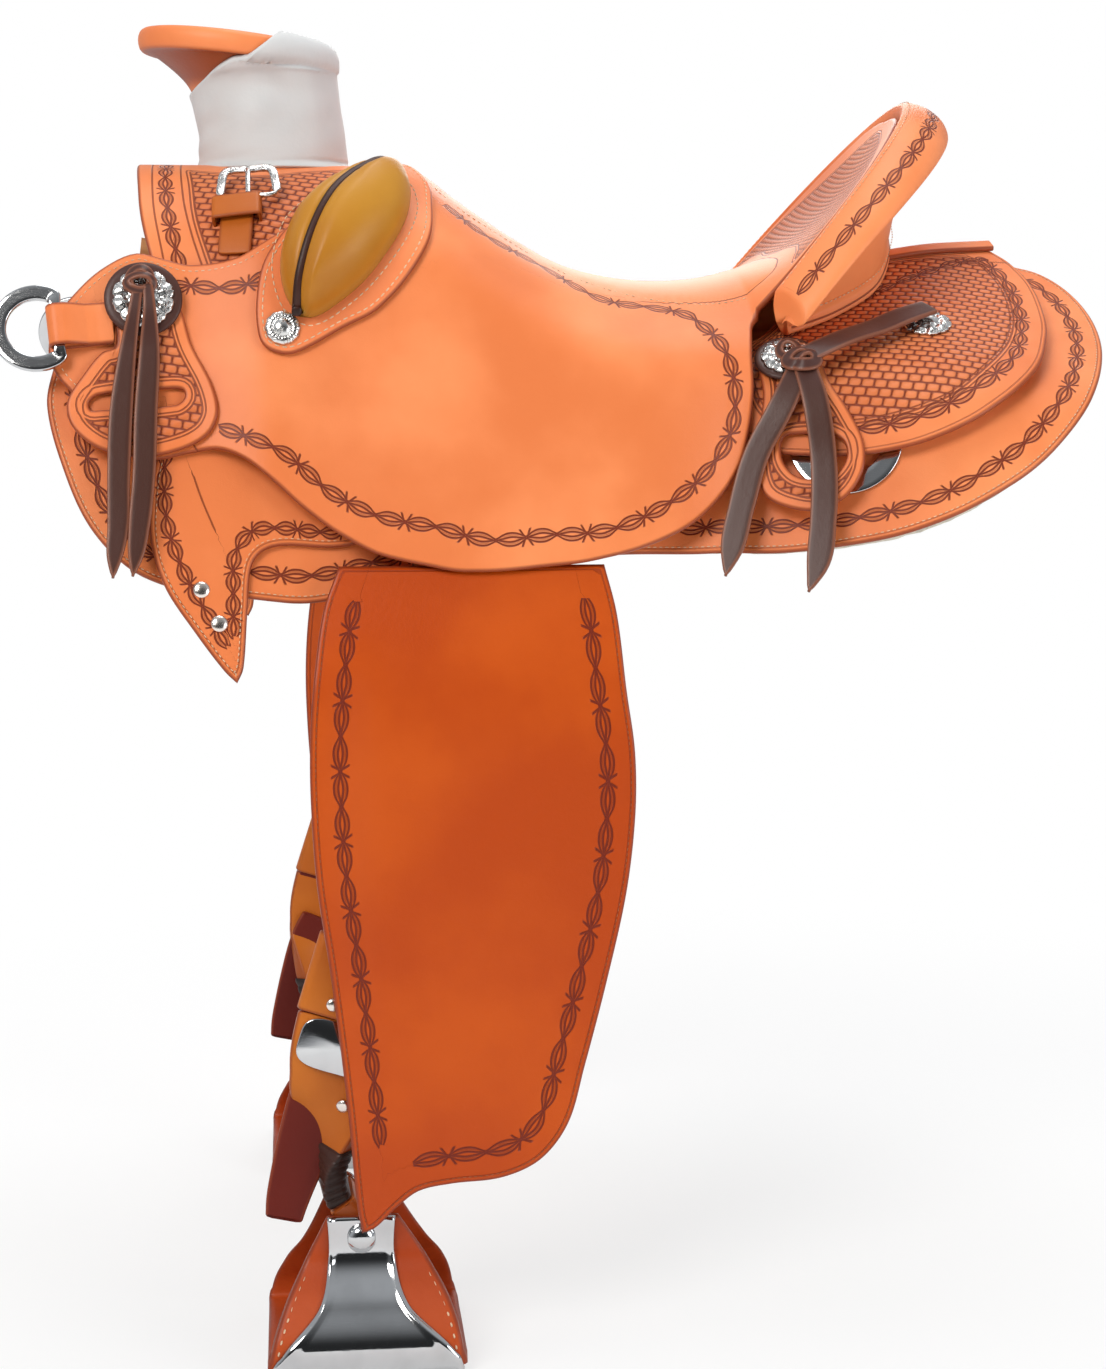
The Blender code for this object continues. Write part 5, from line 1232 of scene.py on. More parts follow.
class SADDLE_OT_rear_jockeys(bpy.types.Operator):
    """Makes the rear jockeys, their basket field and the strip along the ridge"""
    bl_idname = "saddle.rear_jockeys"
    bl_label = "Rear jockeys"

    def execute(self, context):
        border = between(border_inside(JOCKEY_POINTS, 17.0), 150, 322)
        border = border[(border[:, 1] > 100) | (border[:, 0] > 290)]
        field = closed_line([(212, 36), (240, 30), (284, 27), (300, 27), (309, 40), (315, 70),
                             (314, 105), (306, 140), (289, 173), (258, 203), (236, 211),
                             (200, 211), (165, 203), (134, 188), (124, 170), (124, 142),
                             (142, 120), (168, 84), (196, 50)])
        made = panel(back, two_sides(JOCKEY_POINTS, JOCKEY_KEYS, 3.5), REAR_JOCKEY_AT,
                     REAR_JOCKEY_TOP, "basket", 40, borders=[border], field=[field],
                     lines=[inset(field, 3.2)])
        pair(made, "rear_jockey_leather", "rear_jockey")
        edge = open_line([(224, 23), (250, 21), (285, 16), (321, 12)])
        middle, normal = run(back, edge, REAR_JOCKEY_TOP + 2.0)
        made = sweep(middle, np.cross(normal, open_way(middle)), normal, 6.0, 1.9, "plain")
        pair(made, "ridge_strip")
        return {"FINISHED"}


class SADDLE_OT_rigging(bpy.types.Operator):
    """Makes the front rigging plates with rivets and stitching"""
    bl_idname = "saddle.rigging"
    bl_label = "Rigging plates"

    def execute(self, context):
        border = open_line([(-258, 200), (-262, 235), (-259, 275), (-247, 303), (-231, 325),
                            (-222, 337)])
        other = open_line([(-219, 330), (-219, 300), (-217, 272), (-206, 254), (-186, 245),
                           (-150, 241), (-133, 238)])
        made = panel(back, two_sides(PLATE_POINTS, PLATE_KEYS, 3.0), PLATE_AT,
                     lambda x, u: PLATE_AT + PLATE - 1.5 * smooth(300, 350, u),
                     "tooled", 26, borders=[border, other],
                     lines=[open_line([(-244, 230), (-238, 246), (-230, 263)])], repeat=0.8)
        pair(made, "rigging_leather", "rigging_plate")
        line, _ = rounded(PLATE_POINTS, 2.0)
        path = between(inset(line, 4.0), -275, -150)
        pair(stitches([run(back, path, PLATE_AT + PLATE - 0.1)]), "rigging_stitching")
        rivets = [turned([(0, 0), (5.6, 0), (5.6, 1.4), (5.0, 2.2), (3.2, 2.9), (0, 3.2)],
                         "rivet", *spot_on(back, x, u, PLATE_AT + PLATE - 1.4), steps=28)
                  for x, u in ((-239, 305), (-228, 323))]
        pair(merge(rivets), "rigging_rivets")
        return {"FINISHED"}


class SADDLE_OT_seat(bpy.types.Operator):
    """Makes the seat leather with its jockeys, tooling and seams"""
    bl_idname = "saddle.seat"
    bl_label = "Seat"

    def execute(self, context):
        line, starts = rounded(SEAT_POINTS)
        seam_line = open_line(SEAT_SEAM)

        def shape(x, w):
            seam, oval = (nearest(seat(x, w), [seat(*path.T)])[0]
                          for path in (seam_line, open_line(SADDLE_OVAL)))
            return -(0.9 * np.exp(-(seam / 2.0) ** 2) + 0.5 * np.exp(-(oval / 2.2) ** 2))

        made = panel(seat, two_sides(SEAT_POINTS, SEAT_KEYS, 4.5), -JOCKEY, 0, "seat", 44,
                     edges=[line[:starts[46] + 1]],
                     borders=[open_line(SEAT_BORDER), open_line(SEAT_FRONT_BORDER)],
                     field=[np.array(DISH + [(162, -10), (241, -10), (241, 0)], float)],
                     lines=[open_line(SADDLE_OVAL),
                            open_line([(-232, 300), (-241, 283), (-250, 268)])],
                     shape=shape, weave=over_seat)
        single(joined_halves(made), "seat_and_jockeys", "seat_leather")
        front = inset(line[:starts[46]], 5.0)[starts[3]:starts[15]]
        runs = [run(seat, front, 0.05), run(seat, seam_line, -0.3)]
        pair(stitches(runs, 2.4, 4.2, 0.36), "seat_stitching")
        return {"FINISHED"}


class SADDLE_OT_fork(bpy.types.Operator):
    """Makes the fork cover with its basket stamping"""
    bl_idname = "saddle.fork"
    bl_label = "Fork cover"

    def execute(self, context):
        line, starts = rounded(FORK_POINTS)
        border = open_line([(-262, 0), (-262, 45), (-261, 90), (-257, 125), (-250, 160),
                            (-244, 180)])
        rows = [open_line([(-252, 0), (-252, 60), (-249, 100), (-243, 135), (-235, 165)]),
                open_line([(-272, 0), (-271, 60), (-268, 110), (-260, 160)])]
        field = closed_line([(-247, 62, 1), (-245, 80), (-241, 120), (-234, 150), (-227, 172, 1),
                             (-204, 176), (-175, 155), (-150, 130), (-118, 100), (-106, 70),
                             (-110, 55), (-137, 58), (-166, 64), (-195, 73), (-222, 69)])
        made = panel(seat, two_sides(FORK_POINTS, FORK_KEYS, 4.0), FORK_SKIN_TOP - 4.5,
                     FORK_SKIN_TOP, "fork", 40, edges=[line[:starts[13] + 1]],
                     borders=[border], field=[field], lines=rows, weave=over_seat)
        single(joined_halves(made), "fork_leather", "fork_cover")
        return {"FINISHED"}


def rim(degrees):
    """Rim point, outward direction and foot of the cantle's back at an angle from the centre."""
    a = np.radians(np.abs(degrees))
    x = CORNER_X + (TOP_X - CORNER_X) * np.cos(a) ** (1 / 1.1)
    y = RIM_HALF * np.sin(a)
    z = CORNER_Z + (TOP_Z - CORNER_Z) * (x - CORNER_X) / (TOP_X - CORNER_X)
    point = np.stack([x, -y, z], -1)
    swing = math.radians(62) * smooth(0, 80, np.degrees(a))
    outward = np.stack([np.cos(swing), -np.sin(swing), 0 * swing], -1)
    fx = through(np.degrees(a), [0, 20, 45, 66, 90], [248, 243, 223, 190, 147])
    fu = through(np.degrees(a), [0, 20, 45, 66, 90], [0, 26, 73, 103, 125])
    foot = placed(back, fx, fu, REAR_JOCKEY_TOP + LAY + 0.4)
    flip = np.where(np.asarray(degrees)[..., None] < 0, [1, -1, 1], [1, 1, 1])
    return point * flip, outward * flip, foot * flip


class SADDLE_OT_cantle(bpy.types.Operator):
    """Makes the cantle's rolled rim and back leather"""
    bl_idname = "saddle.cantle"
    bl_label = "Cantle"

    def execute(self, context):
        drop = math.radians(27)
        angles = np.linspace(85, -85, 181)
        point, outward, foot = rim(angles)
        up = np.array([0, 0, 1.0])
        e = outward * math.cos(drop) - up * math.sin(drop)
        f = outward * math.sin(drop) + up * math.cos(drop)
        local = [(1.0, 1.5), (2.5, 4.5), (7.0, 7.2), (18, 9.0), (28, 7.4), (35, 3.6), (38.8, -1.5),
                 (36.5, -6.0), (30, -8.0), (21, -9.0)]
        control = [point + e * a + f * b for a, b in local]
        control += [point + e * 17.5 - f * 14, foot + outward * 1.0 + up * 9.0,
                    foot + outward * 3.0 + up * 1.0,
                    foot - outward * 3.0 + up * 0.4, point + e * 12 - f * 15, point + e * 4 - f * 7]
        control = np.stack(control, 1)
        n = control.shape[1]
        closed = np.concatenate([control[:, -2:], control, control[:, :3]], 1)
        steps = np.linspace(0, n, n * 5, endpoint=False)
        i = steps.astype(int)
        t = (steps - i)[None, :, None]
        p0, p1, p2, p3 = (closed[:, i + k + 1] for k in range(4))
        d0, d1, d2 = (np.maximum(np.linalg.norm(b - a, axis=-1, keepdims=True), 1e-6)
                      for a, b in ((p0, p1), (p1, p2), (p2, p3)))
        ring = hermite(t, p1, (p2 - p0) * d1 / (d0 + d1), p2, (p3 - p1) * d1 / (d2 + d1))
        start = 5 * 3 + 2
        arc = np.concatenate([np.zeros((len(ring), 1)), np.cumsum(np.linalg.norm(
            np.diff(ring, axis=1), axis=-1), axis=1)], 1)
        v = arc - arc[:, start:start + 1]
        on_roll = steps < 6.2
        v = np.where(on_roll[None, :], v, FAR)
        s = lengths(ring[:, start])
        repeat = millimetres(settings().period)
        s = s / s[-1] * round(s[-1] / repeat)
        middle = ring.mean(1, keepdims=True)
        along = open_way(middle)
        caps = []
        for row, way in ((0, -1), (-1, 1)):
            own = [middle[row] + (ring[row] - middle[row]) * k + along[row] * way * push
                   for k, push in ((0.985, 1.2), (0.93, 2.4), (0.8, 3.2), (0.0, 3.4))]
            caps.append(own)
        points = np.stack([*caps[0][::-1], *ring, *caps[1]])
        s = np.r_[[s[0]] * 4, s, [s[-1]] * 4]
        v = np.pad(v, ((4, 4), (0, 0)), constant_values=FAR)
        edge_of, lines = np.full(v.shape, INNER), np.full(v.shape, FAR)
        lip = np.abs(steps - 7.2)
        edge_of[4:-4] = np.where(lip < 1.2, 2.2 + lip * 3, 9)[None, :]
        seam_gap = steps - 11.6
        lines[4:-4] = np.where(np.abs(seam_gap) < 1.5, seam_gap * 8, FAR)[None, :]
        border = np.stack([np.broadcast_to(s[:, None], v.shape), v], -1)
        cloth = np.stack([border[..., 0] * 48, v], -1)
        made = build(points, grid_faces(*v.shape), "tooled_roll",
                     {**untooled(edge_of), "line": lines},
                     {"weave": (cloth, None), "border": (border, None)})
        single(made, "cantle_binding", "cantle_roll")
        seam = point + e * 4.2 + f * 6.6
        back_seam = foot + outward * 4.2 + up * 13
        made = stitches([(seam, unit(f - e * 0.6)), (back_seam, outward)], 2.6, 4.4, 0.42)
        single(made, "cantle_stitching")
        return {"FINISHED"}


def horn_surface(angle, q):
    """The horn's skin. In words: tilted rings whose centre, height and radius follow smooth
    curves of q, from the fork at 0 over the rim at 0.7 to the middle of the cap at 1."""
    keys = [0, 0.10, 0.26, 0.42, 0.54, 0.61, 0.645, 0.675, 0.70, 0.73, 0.755, 0.78, 0.83, 1.0]
    centre = through(q, keys, [HORN_X, HORN_X, HORN_X, HORN_X - 4, HORN_X - 12, CAP_X + 4,
                               CAP_X + 1, CAP_X, CAP_X, CAP_X, CAP_X, CAP_X, CAP_X, CAP_X])
    height = through(q, keys, [104, 112, 124, 148, 170, 182, 186.5, 187.5, 193.5, 200, 202.4,
                               201.2, 200.9, 200.6])
    radius = through(q, keys, [53, 50, 48, 46, 47.5, 56, 60.5, 65.8, 67.4, 65.8, 62, 58, 52, 0])
    tilt = math.tan(CAP_TILT) * smooth(0.42, 0.62, q)
    width = 1 - 0.06 * smooth(0.45, 0.65, q)
    x = radius * np.cos(angle)
    y = radius * width * np.sin(angle)
    return np.stack([centre + x, y, height - tilt * x], -1)


def horn_normal(angle, q, e=0.004):
    across = horn_surface(angle + e, q) - horn_surface(angle - e, q)
    up = horn_surface(angle, np.minimum(q + e, 0.995)) - horn_surface(angle, q - e)
    return unit(np.cross(across, up))


class SADDLE_OT_horn(bpy.types.Operator):
    """Makes the leather covered horn and its wrap"""
    bl_idname = "saddle.horn"
    bl_label = "Horn"

    def execute(self, context):
        a = circle(96)
        q = np.r_[0.0, 0.0, np.linspace(0.02, 1, 90)]
        aa, qq = np.meshgrid(a, q)
        points = horn_surface(aa, qq)
        points[0] = points[0].mean(0)
        # Edge values that darken the horn: the stamped grooves at the rim's foot and on the cap, and,
        # from q 0.56 up to the rim, the cone under the cap, given the burnish colour as painted shade
        # under the rim
        groove_and_cap_shade = np.minimum(np.abs(qq - 0.65) * 55, np.abs(qq - 0.785) * 70)
        groove_and_cap_shade = np.where((qq > 0.47) & (qq < 0.65), 0.6 + 3 * smooth(0.56, 0.47, qq), groove_and_cap_shade + 0.5)
        made = build(points, grid_faces(*qq.shape), "horn", {
            **untooled(groove_and_cap_shade), "line": (qq - 0.82) * 120},
            {"weave": (np.stack([aa * 60, qq * 100], -1), None),
             "border": (no_border(qq.shape), None)})
        single(made, "horn_leather", "horn")
        rise_to = through(np.abs((a + math.pi) % (2 * math.pi) - math.pi),
                          [0, 0.45, 0.85, 1.25, 1.7, 2.2, 2.7, math.pi],
                          [0.87, 0.86, 0.80, 0.715, 0.62, 0.555, 0.515, 0.50])
        rows = np.r_[0, 0.004, 0.012, np.linspace(0.03, 0.97, 70), 0.988, 0.996, 1]
        k, aa = np.meshgrid(rows, a, indexing="ij")
        q = 0.085 + (rise_to[None, :] - 0.085) * k
        fold = (0.5 * np.sin(3 * aa + 9 * k) * np.sin(5 * k + aa)
                + 0.45 * np.sin(14 * k + 2.2 * np.sin(aa * 2 + 0.7)) * np.sin(math.pi * k)
                + 0.3 * np.sin(23 * k - 3 * aa) * np.sin(math.pi * k))
        rear = np.abs((aa + math.pi) % (2 * math.pi) - math.pi)
        seam = through(rear, [0, math.pi / 2, math.pi], [0.66, 0.585, 0.51])
        lap = smooth(0.0, 0.010, q - seam) * 1.3
        skirt = 3.4 * smooth(0.16, 0.0, k)
        end = np.minimum(k, 1 - k) * 90
        bead = quarter(end / 1.2)
        outer = 1.2 + (WRAP - 2.2 + fold * 0.75 + lap + skirt) * (0.55 + 0.45 * bead)
        normal = horn_normal(aa, q)
        skin = horn_surface(aa, q)
        top = skin + normal * outer[..., None]
        foot, rim_at = 0.20 + 0 * q, 0.70 + 0 * q
        share = np.clip((q - foot) / (rim_at - foot), 0, 1)[..., None]
        straight = (1 - share) * (horn_surface(aa, foot) + 4 * horn_normal(aa, foot)) + share * (
            horn_surface(aa, rim_at) + 3 * horn_normal(aa, rim_at))
        fill = smooth(1.35, 0.75, rear) * (q > foot) * (q < rim_at) * 0.85
        wrinkle = normal * (fold * 0.75 + lap)[..., None]
        top = top + (straight + wrinkle - top) * fill[..., None]
        low = skin + normal * 0.5
        ring = np.concatenate([top, low[::-1]], 0)
        made = build(ring, grid_faces(*ring.shape[:2], True), "wrap",
                     {"edge": np.full(ring[..., 0].size, INNER)})
        single(made, "horn_wrapping", "horn_wrap")
        return {"FINISHED"}


class SADDLE_OT_rolls(bpy.types.Operator):
    """Makes the bucking rolls: base, padded halves, welt and screw"""
    bl_idname = "saddle.rolls"
    bl_label = "Bucking rolls"

    def execute(self, context):
        made = panel(seat, two_sides(ROLL_POINTS, ROLL_KEYS, 3.0), LAY, ROLL_TOP, "roll_base", 26)
        pair(made, "roll_base_leather", "bucking_roll_base")
        outer = inset(rounded(ROLL_POINTS, 2.0)[0], 4.2)
        pad_line, _ = rounded(PAD_POINTS, 2.0)
        inner = inset(pad_line, -5.0)
        inner = inner[(inner[:, 1] > 84)]
        made = stitches([run(seat, line, ROLL_TOP + 0.1) for line in (outer, inner)], 3.4, 4.9, 0.5)
        pair(made, "roll_stitching")
        high = millimetres(settings().pad_height)
        near, far = two_sides(PAD_POINTS[::-1], [(1, 1), (2, 0), (3, 10), (4, 9), (5, 8), (6, 6)],
                              2.2)
        outline = seat(*np.concatenate([pad_line, pad_line[:1]]).T)
        crease = open_line(WELT, 1.0)
        welt = walk(crease, len(near))
        share = np.r_[0, 0.012, 0.03, 0.06, np.linspace(0.1, 0.9, 26), 0.94, 0.97, 0.988, 1]
        share = share[None, :, None]
        for flank, stem in ((near, "roll_pad_front"), (far, "roll_pad_rear")):
            flat = flank[:, None] * (1 - share) + welt[:, None] * share
            x, u = flat[..., 0], flat[..., 1]
            ground, normal = seat(x, u), facing(seat, x, u)
            rim_gap = nearest(ground, [outline])[0]
            mid_gap = nearest(ground, [seat(*open_line(WELT).T)])[0]
            dome = quarter(rim_gap / 33, 2.1)
            seam = 0.66 + 0.34 * quarter(mid_gap / 13, 2.2)
            pull = 0.35 * np.sin(rim_gap * 0.5 + x * 0.12) * np.exp(-rim_gap / 7)
            t = ROLL_TOP + 0.4 + (high * dome * seam + pull * dome)
            top = ground + normal * t[..., None]
            low = ground + normal * (ROLL_TOP + 0.3)
            ring = np.concatenate([top, low[:, ::-1]], 1)
            gap = np.concatenate([np.minimum(rim_gap, mid_gap + 1.0)] * 2, 1)
            made = build(ring, grid_faces(*ring.shape[:2]), "pad", untooled(gap))
            for piece in pair(made, stem, "bucking_roll_pad"):
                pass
        middle, normal = run(seat, walk(crease, 60), 0.0)
        dome = quarter(nearest(middle, [outline])[0] / 33, 2.1)
        path = middle + normal * (ROLL_TOP + 0.6 + high * dome * 0.74)[:, None]
        pair(ribbon(path, normal, 3.3, 3.4, "welt", 2.6), "roll_welt")

        def petals(r, h, a):
            return (r * (1 + 0.02 * np.cos(12 * a) * (r > 8)),
                    h + 0.25 * np.cos(24 * a) * ((r > 5.5) & (r < 10)))

        made = turned([(0, 0), (11.2, 0), (11.4, 1.2), (10.8, 2.2), (9.6, 2.9), (8.0, 3.3),
                       (6.6, 3.2), (6.2, 2.6), (5.8, 3.2), (4.6, 4.2), (2.4, 4.9), (0, 5.1)],
                      "silver", *spot_on(seat, -185.0, 204.0, ROLL_TOP), steps=72, wave=petals)
        pair(made, "roll_concho")
        return {"FINISHED"}


def frame_of(form, x, u, t, toward):
    """Point, normal and two directions on a form, the first toward another pattern point."""
    p, n = spot_on(form, x, u, t)
    a = level(placed(form, *toward, t) - p, n)
    return p, n, a, np.cross(n, a)


def concho(stem, form, x, u, t, rosette, plate):
    """A scalloped leather rosette under a domed, scalloped silver plate."""
    p, n, a, _ = frame_of(form, x, u, t, (x + 10, u))
    if rosette:
        made = turned([(0, 0), (rosette - 1, 0), (rosette, 1.0), (rosette, 2.0),
                       (rosette - 0.9, 3.0), (rosette - 4, 3.2), (0, 3.2)],
                      "string", p, n, a, 96)
        pair(made, stem + "_rosette")
    base = ROSETTE if rosette else 0.0

    def scallop(r, h, angle):
        rim_part = np.clip(r / plate, 0, 1) ** 4
        petal = np.abs(np.sin(angle * 5))
        r = r * (1 - 0.075 * (1 - petal) * rim_part - 0.015 * np.cos(20 * angle) * rim_part)
        h = h + 0.5 * np.cos(angle * 10 + np.pi) * ((r > plate * 0.45) & (r < plate * 0.93))
        return r, h

    profile = [(0, 0), (plate, 0), (plate, 1.4), (plate * 0.96, 2.0), (plate * 0.88, 2.3),
               (plate * 0.76, 3.0), (plate * 0.64, 3.4), (plate * 0.56, 2.7), (plate * 0.50, 2.6),
               (plate * 0.44, 3.2), (plate * 0.25, 4.3), (0, 4.6)]
    made = turned([(r, h + base) for r, h in profile], "silver", p, n, a, 140, scallop)
    pair(made, stem + "_silver", stem)


def strand(form, points):
    """A flat strand of string on a form, through points with a height and a half width."""
    pts = np.array(points, float)
    d = lengths(pts[:, :2])
    s = np.linspace(0, d[-1], max(8, int(d[-1] / 3.5)))
    x, u, t, half = (through(s, d, pts[:, k]) for k in range(4))
    return ribbon(*spot_on(form, x, u, t), half, 1.5, "string", 1.0)


# Heights of a rosette and of the plate on it
ROSETTE, PLATE_RISE = 3.2, 4.6
LATIGO_TOP = LATIGO_AT + KEEPER
FLANK_TOP = FLANK_AT + KEEPER


class SADDLE_OT_keepers(bpy.types.Operator):
    """Makes the latigo and flank keepers"""
    bl_idname = "saddle.keepers"
    bl_label = "Keepers"

    def execute(self, context):
        for stem, form, outer, slot, keys, at, rim_wide, slot_wide in (
                ("latigo_keeper", seat, LATIGO_POINTS, LATIGO_SLOT, LATIGO_KEYS, LATIGO_AT,
                 9.0, 6.5),
                ("flank_keeper", back, FLANK_POINTS, FLANK_SLOT, FLANK_KEYS, FLANK_AT, 7.0, 5.5)):
            field = inset(closed_line(outer), rim_wide)
            hole = inset(closed_line(slot, 1.5), -slot_wide)
            made = panel(form, two_loops(outer, slot, keys, 2.5), at, at + KEEPER,
                         "keeper", 16, loop=True, field=[field, hole])
            pair(made, stem + "_leather", stem)
        return {"FINISHED"}


def ring_frame():
    """The front ring's rod: its middle, along it, outward and toward the keeper."""
    p, n = spot_on(seat, -328.0, 204.0, 7.0)
    forward = unit(placed(seat, -293.0, 200.0, 7.3) - p)
    out = level(n, forward)
    return p, np.cross(out, forward), out, forward


BOW_STEPS, ROD_STEPS = 90, 16
ON_ROD = np.r_[np.zeros(BOW_STEPS), np.ones(ROD_STEPS)]


def dee(radius, half=20.0):
    """A bow closed by a straight rod, and the rod's distance from the bow's centre."""
    reach = math.sqrt(radius**2 - half**2)
    start = math.atan2(half, reach)
    a = np.linspace(start, 2 * math.pi - start, BOW_STEPS)
    rod = np.stack([np.full(ROD_STEPS, reach), np.linspace(-half, half, ROD_STEPS + 2)[1:-1]], 1)
    return np.concatenate([radius * np.stack([np.cos(a), np.sin(a)], 1), rod]), reach


class SADDLE_OT_rings(bpy.types.Operator):
    """Makes the front rings with their loops and the rear dees"""
    bl_idname = "saddle.rings"
    bl_label = "Rings"

    def execute(self, context):
        p, along, out, forward = ring_frame()
        path, reach = dee(24.0)
        soft = ON_ROD
        for _ in range(4):
            soft = (np.roll(soft, 1) + soft * 2 + np.roll(soft, -1)) / 4
        middle = p + forward * (path[:, :1] - reach) + along * path[:, 1:]
        made = flat_ring(middle, out, 4.9 - 1.5 * soft, 2.0 + 1.2 * soft, "steel", 1.0, 2)
        pair(made, "front_ring_steel", "front_dee", "front_ring")

        profile = np.array([(35, -5.3), (20, -5.3), (6, -5.3)]
                           + [(5.35 * math.cos(b), 5.35 * math.sin(b))
                              for b in np.linspace(4.6, 1.68, 18)]
                           + [(5.5, 4.9), (11, 2.4), (18, -1.5), (25, -2.7), (35, -2.9)])
        line = walk(profile, 60)
        middle = p + forward * line[:, :1] + out * line[:, 1:]
        pair(strip(middle, along, 14.0, 1.1, "plain"), "ring_loop", "dee_loop")

        point, n = spot_on(back, 181.0, 214.0, PLATE_AT + 1.6)
        down = level(placed(back, 181.0, 239.0, 7.0) - placed(back, 181.0, 189.0, 7.0), n)
        path, _ = dee(30.5)
        middle = point - down * path[:, :1] + np.cross(n, down) * path[:, 1:]
        made = flat_ring(middle, n, np.where(ON_ROD > 0, 2.2, 6.5), 1.5, "steel", 0.7)
        pair(made, "rear_ring_steel", "rear_dee", "rear_ring")
        return {"FINISHED"}


class SADDLE_OT_strings(bpy.types.Operator):
    """Makes the conchos and the saddle strings tied through them"""
    bl_idname = "saddle.strings"
    bl_label = "Conchos and strings"

    def execute(self, context):
        concho("front_concho", seat, -274.0, 185.0, LATIGO_TOP + 0.8, 25.0, 20.0)
        concho("rear_concho", back, 148.0, 158.0, FLANK_TOP + 0.5, 21.0, 17.0)
        concho("back_concho", back, 249.0, 128.0, REAR_JOCKEY_TOP + 0.6, 0, 17.0)
        top = LATIGO_TOP + 0.8 + ROSETTE + PLATE_RISE
        hanging = LATIGO_TOP + 3.0
        front = [
            [(-277, 178, top + 1.0, 3.4), (-279, 192, top + 1.6, 3.8),
             (-283, 216, hanging + 1.8, 5.2), (-288, 262, hanging, 7.4),
             (-289.5, 305, hanging, 7.2), (-290, 340, hanging, 6.6), (-292, 357, hanging, 5),
             (-293, 371, hanging, 1.0)],
            [(-271, 178, top + 1.6, 3.4), (-270, 192, top + 2.2, 4.0),
             (-270, 216, hanging + 2.6, 6.2), (-272.5, 262, hanging + 1, 7.4),
             (-274, 305, hanging + 1, 7.2), (-277, 338, hanging + 1, 6.6),
             (-279, 356, hanging + 1, 5), (-281, 370, hanging + 1, 1.0)]]
        rear_top = FLANK_TOP + 0.5 + ROSETTE + PLATE_RISE
        low = FLANK_TOP + 2.8
        rear = [
            [(158, 168, rear_top + 2.2, 7.5), (146, 184, rear_top + 0.2, 8.4),
             (127, 210, low + 1, 8.5), (115, 245, low, 8.5), (108, 272, low, 7),
             (104, 287, low, 1.0)],
            [(158, 172, rear_top + 3.0, 7.5), (163, 190, rear_top + 1.2, 8.4),
             (167, 230, low + 1.2, 8.5), (165, 270, low + 1.2, 8.5), (160, 300, low + 1.2, 7),
             (154, 315, low + 1.2, 1.0)],
            [(158, 168, rear_top + 5.0, 7.5), (176, 163, rear_top + 3.0, 8),
             (205, 148, low + 3, 9.4), (232, 132, low + 2.4, 9.6), (252, 121, low + 1.4, 8.6)]]
        for stem, form, strands in (("front_strings", seat, front), ("rear_strings", back, rear)):
            parts = [strand(form, points) for points in strands] + self.knot(stem, form)
            pair(merge(parts), stem + "_leather", stem)
        return {"FINISHED"}

    def knot(self, stem, form):
        """The loop of the string over the concho's bridge."""
        if stem == "front_strings":
            p, n, a, b = frame_of(form, -276.0, 178.0, LATIGO_TOP + 0.8 + ROSETTE + 3.6,
                                  (-276.0, 200.0))
            loops = [((-3, 0), 8.5, 7.0, 3.2, -0.8), ((-1, 0), 5.5, 8.5, 2.8, 0.8)]
        else:
            p, n, a, b = frame_of(form, 152.0, 162.0, FLANK_TOP + 0.5 + ROSETTE + 3.6,
                                  (160.0, 176.0))
            loops = [((-4, 0), 9.0, 6.5, 3.2, -0.4), ((8, 0), 7.0, 8.5, 4.4, 2.8),
                     ((13, 2), 5.5, 7.0, 4.4, 4.4)]
        parts = []
        for (ca, cb), ra, rb, half, lift in loops:
            t = circle(44)
            middle = (p + a * (ca + ra * np.cos(t))[:, None] + b * (cb + rb * np.sin(t))[:, None]
                      + n * (lift + 2.2 * np.cos(t + 0.6) ** 2 + 1.0)[:, None])
            step = closed_way(middle)
            wide = unit(np.cross(n, step) * 0.9 + n * 0.45)
            wide = unit(wide - step * (wide * step).sum(1, keepdims=True))
            parts.append(sweep(middle, wide, np.cross(step, wide), half, 1.3,
                               "string", loop=True, bead=1.0))
        return parts


LOWER_PATH = [
    (-66, 0.15, -5.0, 0, 44, 8), (-70, 30, -6.0, 0, 60, 8), (-82, 80, -8.0, 0, 60, 8),
    (-96, 130, -9.0, 0, 60, 8), (-121, 190, -9.0, 0, 60, 8), (-151, 285, -9.0, 0, 60, 8),
    (-159, 320, -12.0, 0, 54, 8), (-162, 340, -17.0, 20, 48, 9), (-164, 358, -23.0, 45, 44, 10),
    (-164, 376, -28.0, 72, 41, 11), (-159, 394, -32.0, 90, 40, 12), (-149, 409, -34.0, 90, 40, 13),
    (-143, 416, -34.5, 90, 40, 13)]


def on_hang(x, v, t):
    """Points at a height over the hanging form, and the normals there."""
    base = hang(x, v)
    normal = np.cross(unit(hang(x, v + 1) - base), [1.0, 0, 0])
    normal = np.where(normal[..., 1:2] > 0, -normal, normal)
    return base + normal * np.asarray(t)[..., None], normal


def lower_axes(along, normal):
    """Directions across the lower leather and out of its face."""
    across = unit(np.cross(along, normal))
    across = np.where(across[..., :1] < 0, -across, across)
    face = np.cross(across, along)
    return across, np.where(face[..., 1:2] > 0, -face, face)


def lower_line(values):
    """Middle, width direction, thickness direction, width and thickness of the lower leather at
    lengths given as station numbers."""
    rows = np.array(LOWER_PATH, float)
    k = np.arange(len(rows))
    x, v, t, twist, width, thick = (through(values, k, rows[:, c]) for c in range(6))
    middle, normal = on_hang(x, v, t)
    across, face = lower_axes(open_way(middle), normal)
    a = np.radians(twist)[:, None]
    wide = across * np.cos(a) + face * np.sin(a)
    thin = face * np.cos(a) - across * np.sin(a)
    return middle, wide, thin, width, thick


def strap_place():
    """Frame on the straight part of the lower leather: start, along, across and outward."""
    (start, normal), (end, _) = (on_hang(*row[:3]) for row in np.array(LOWER_PATH[4:6], float))
    along = unit(end - start)
    return start, along, *lower_axes(along, normal)


def box(a, power, half_a, half_b):
    """A rectangle with round corners, as two coordinates at the angles a."""
    c, s = np.cos(a), np.sin(a)
    return np.sign(c) * np.abs(c) ** power * half_a, np.sign(s) * np.abs(s) ** power * half_b


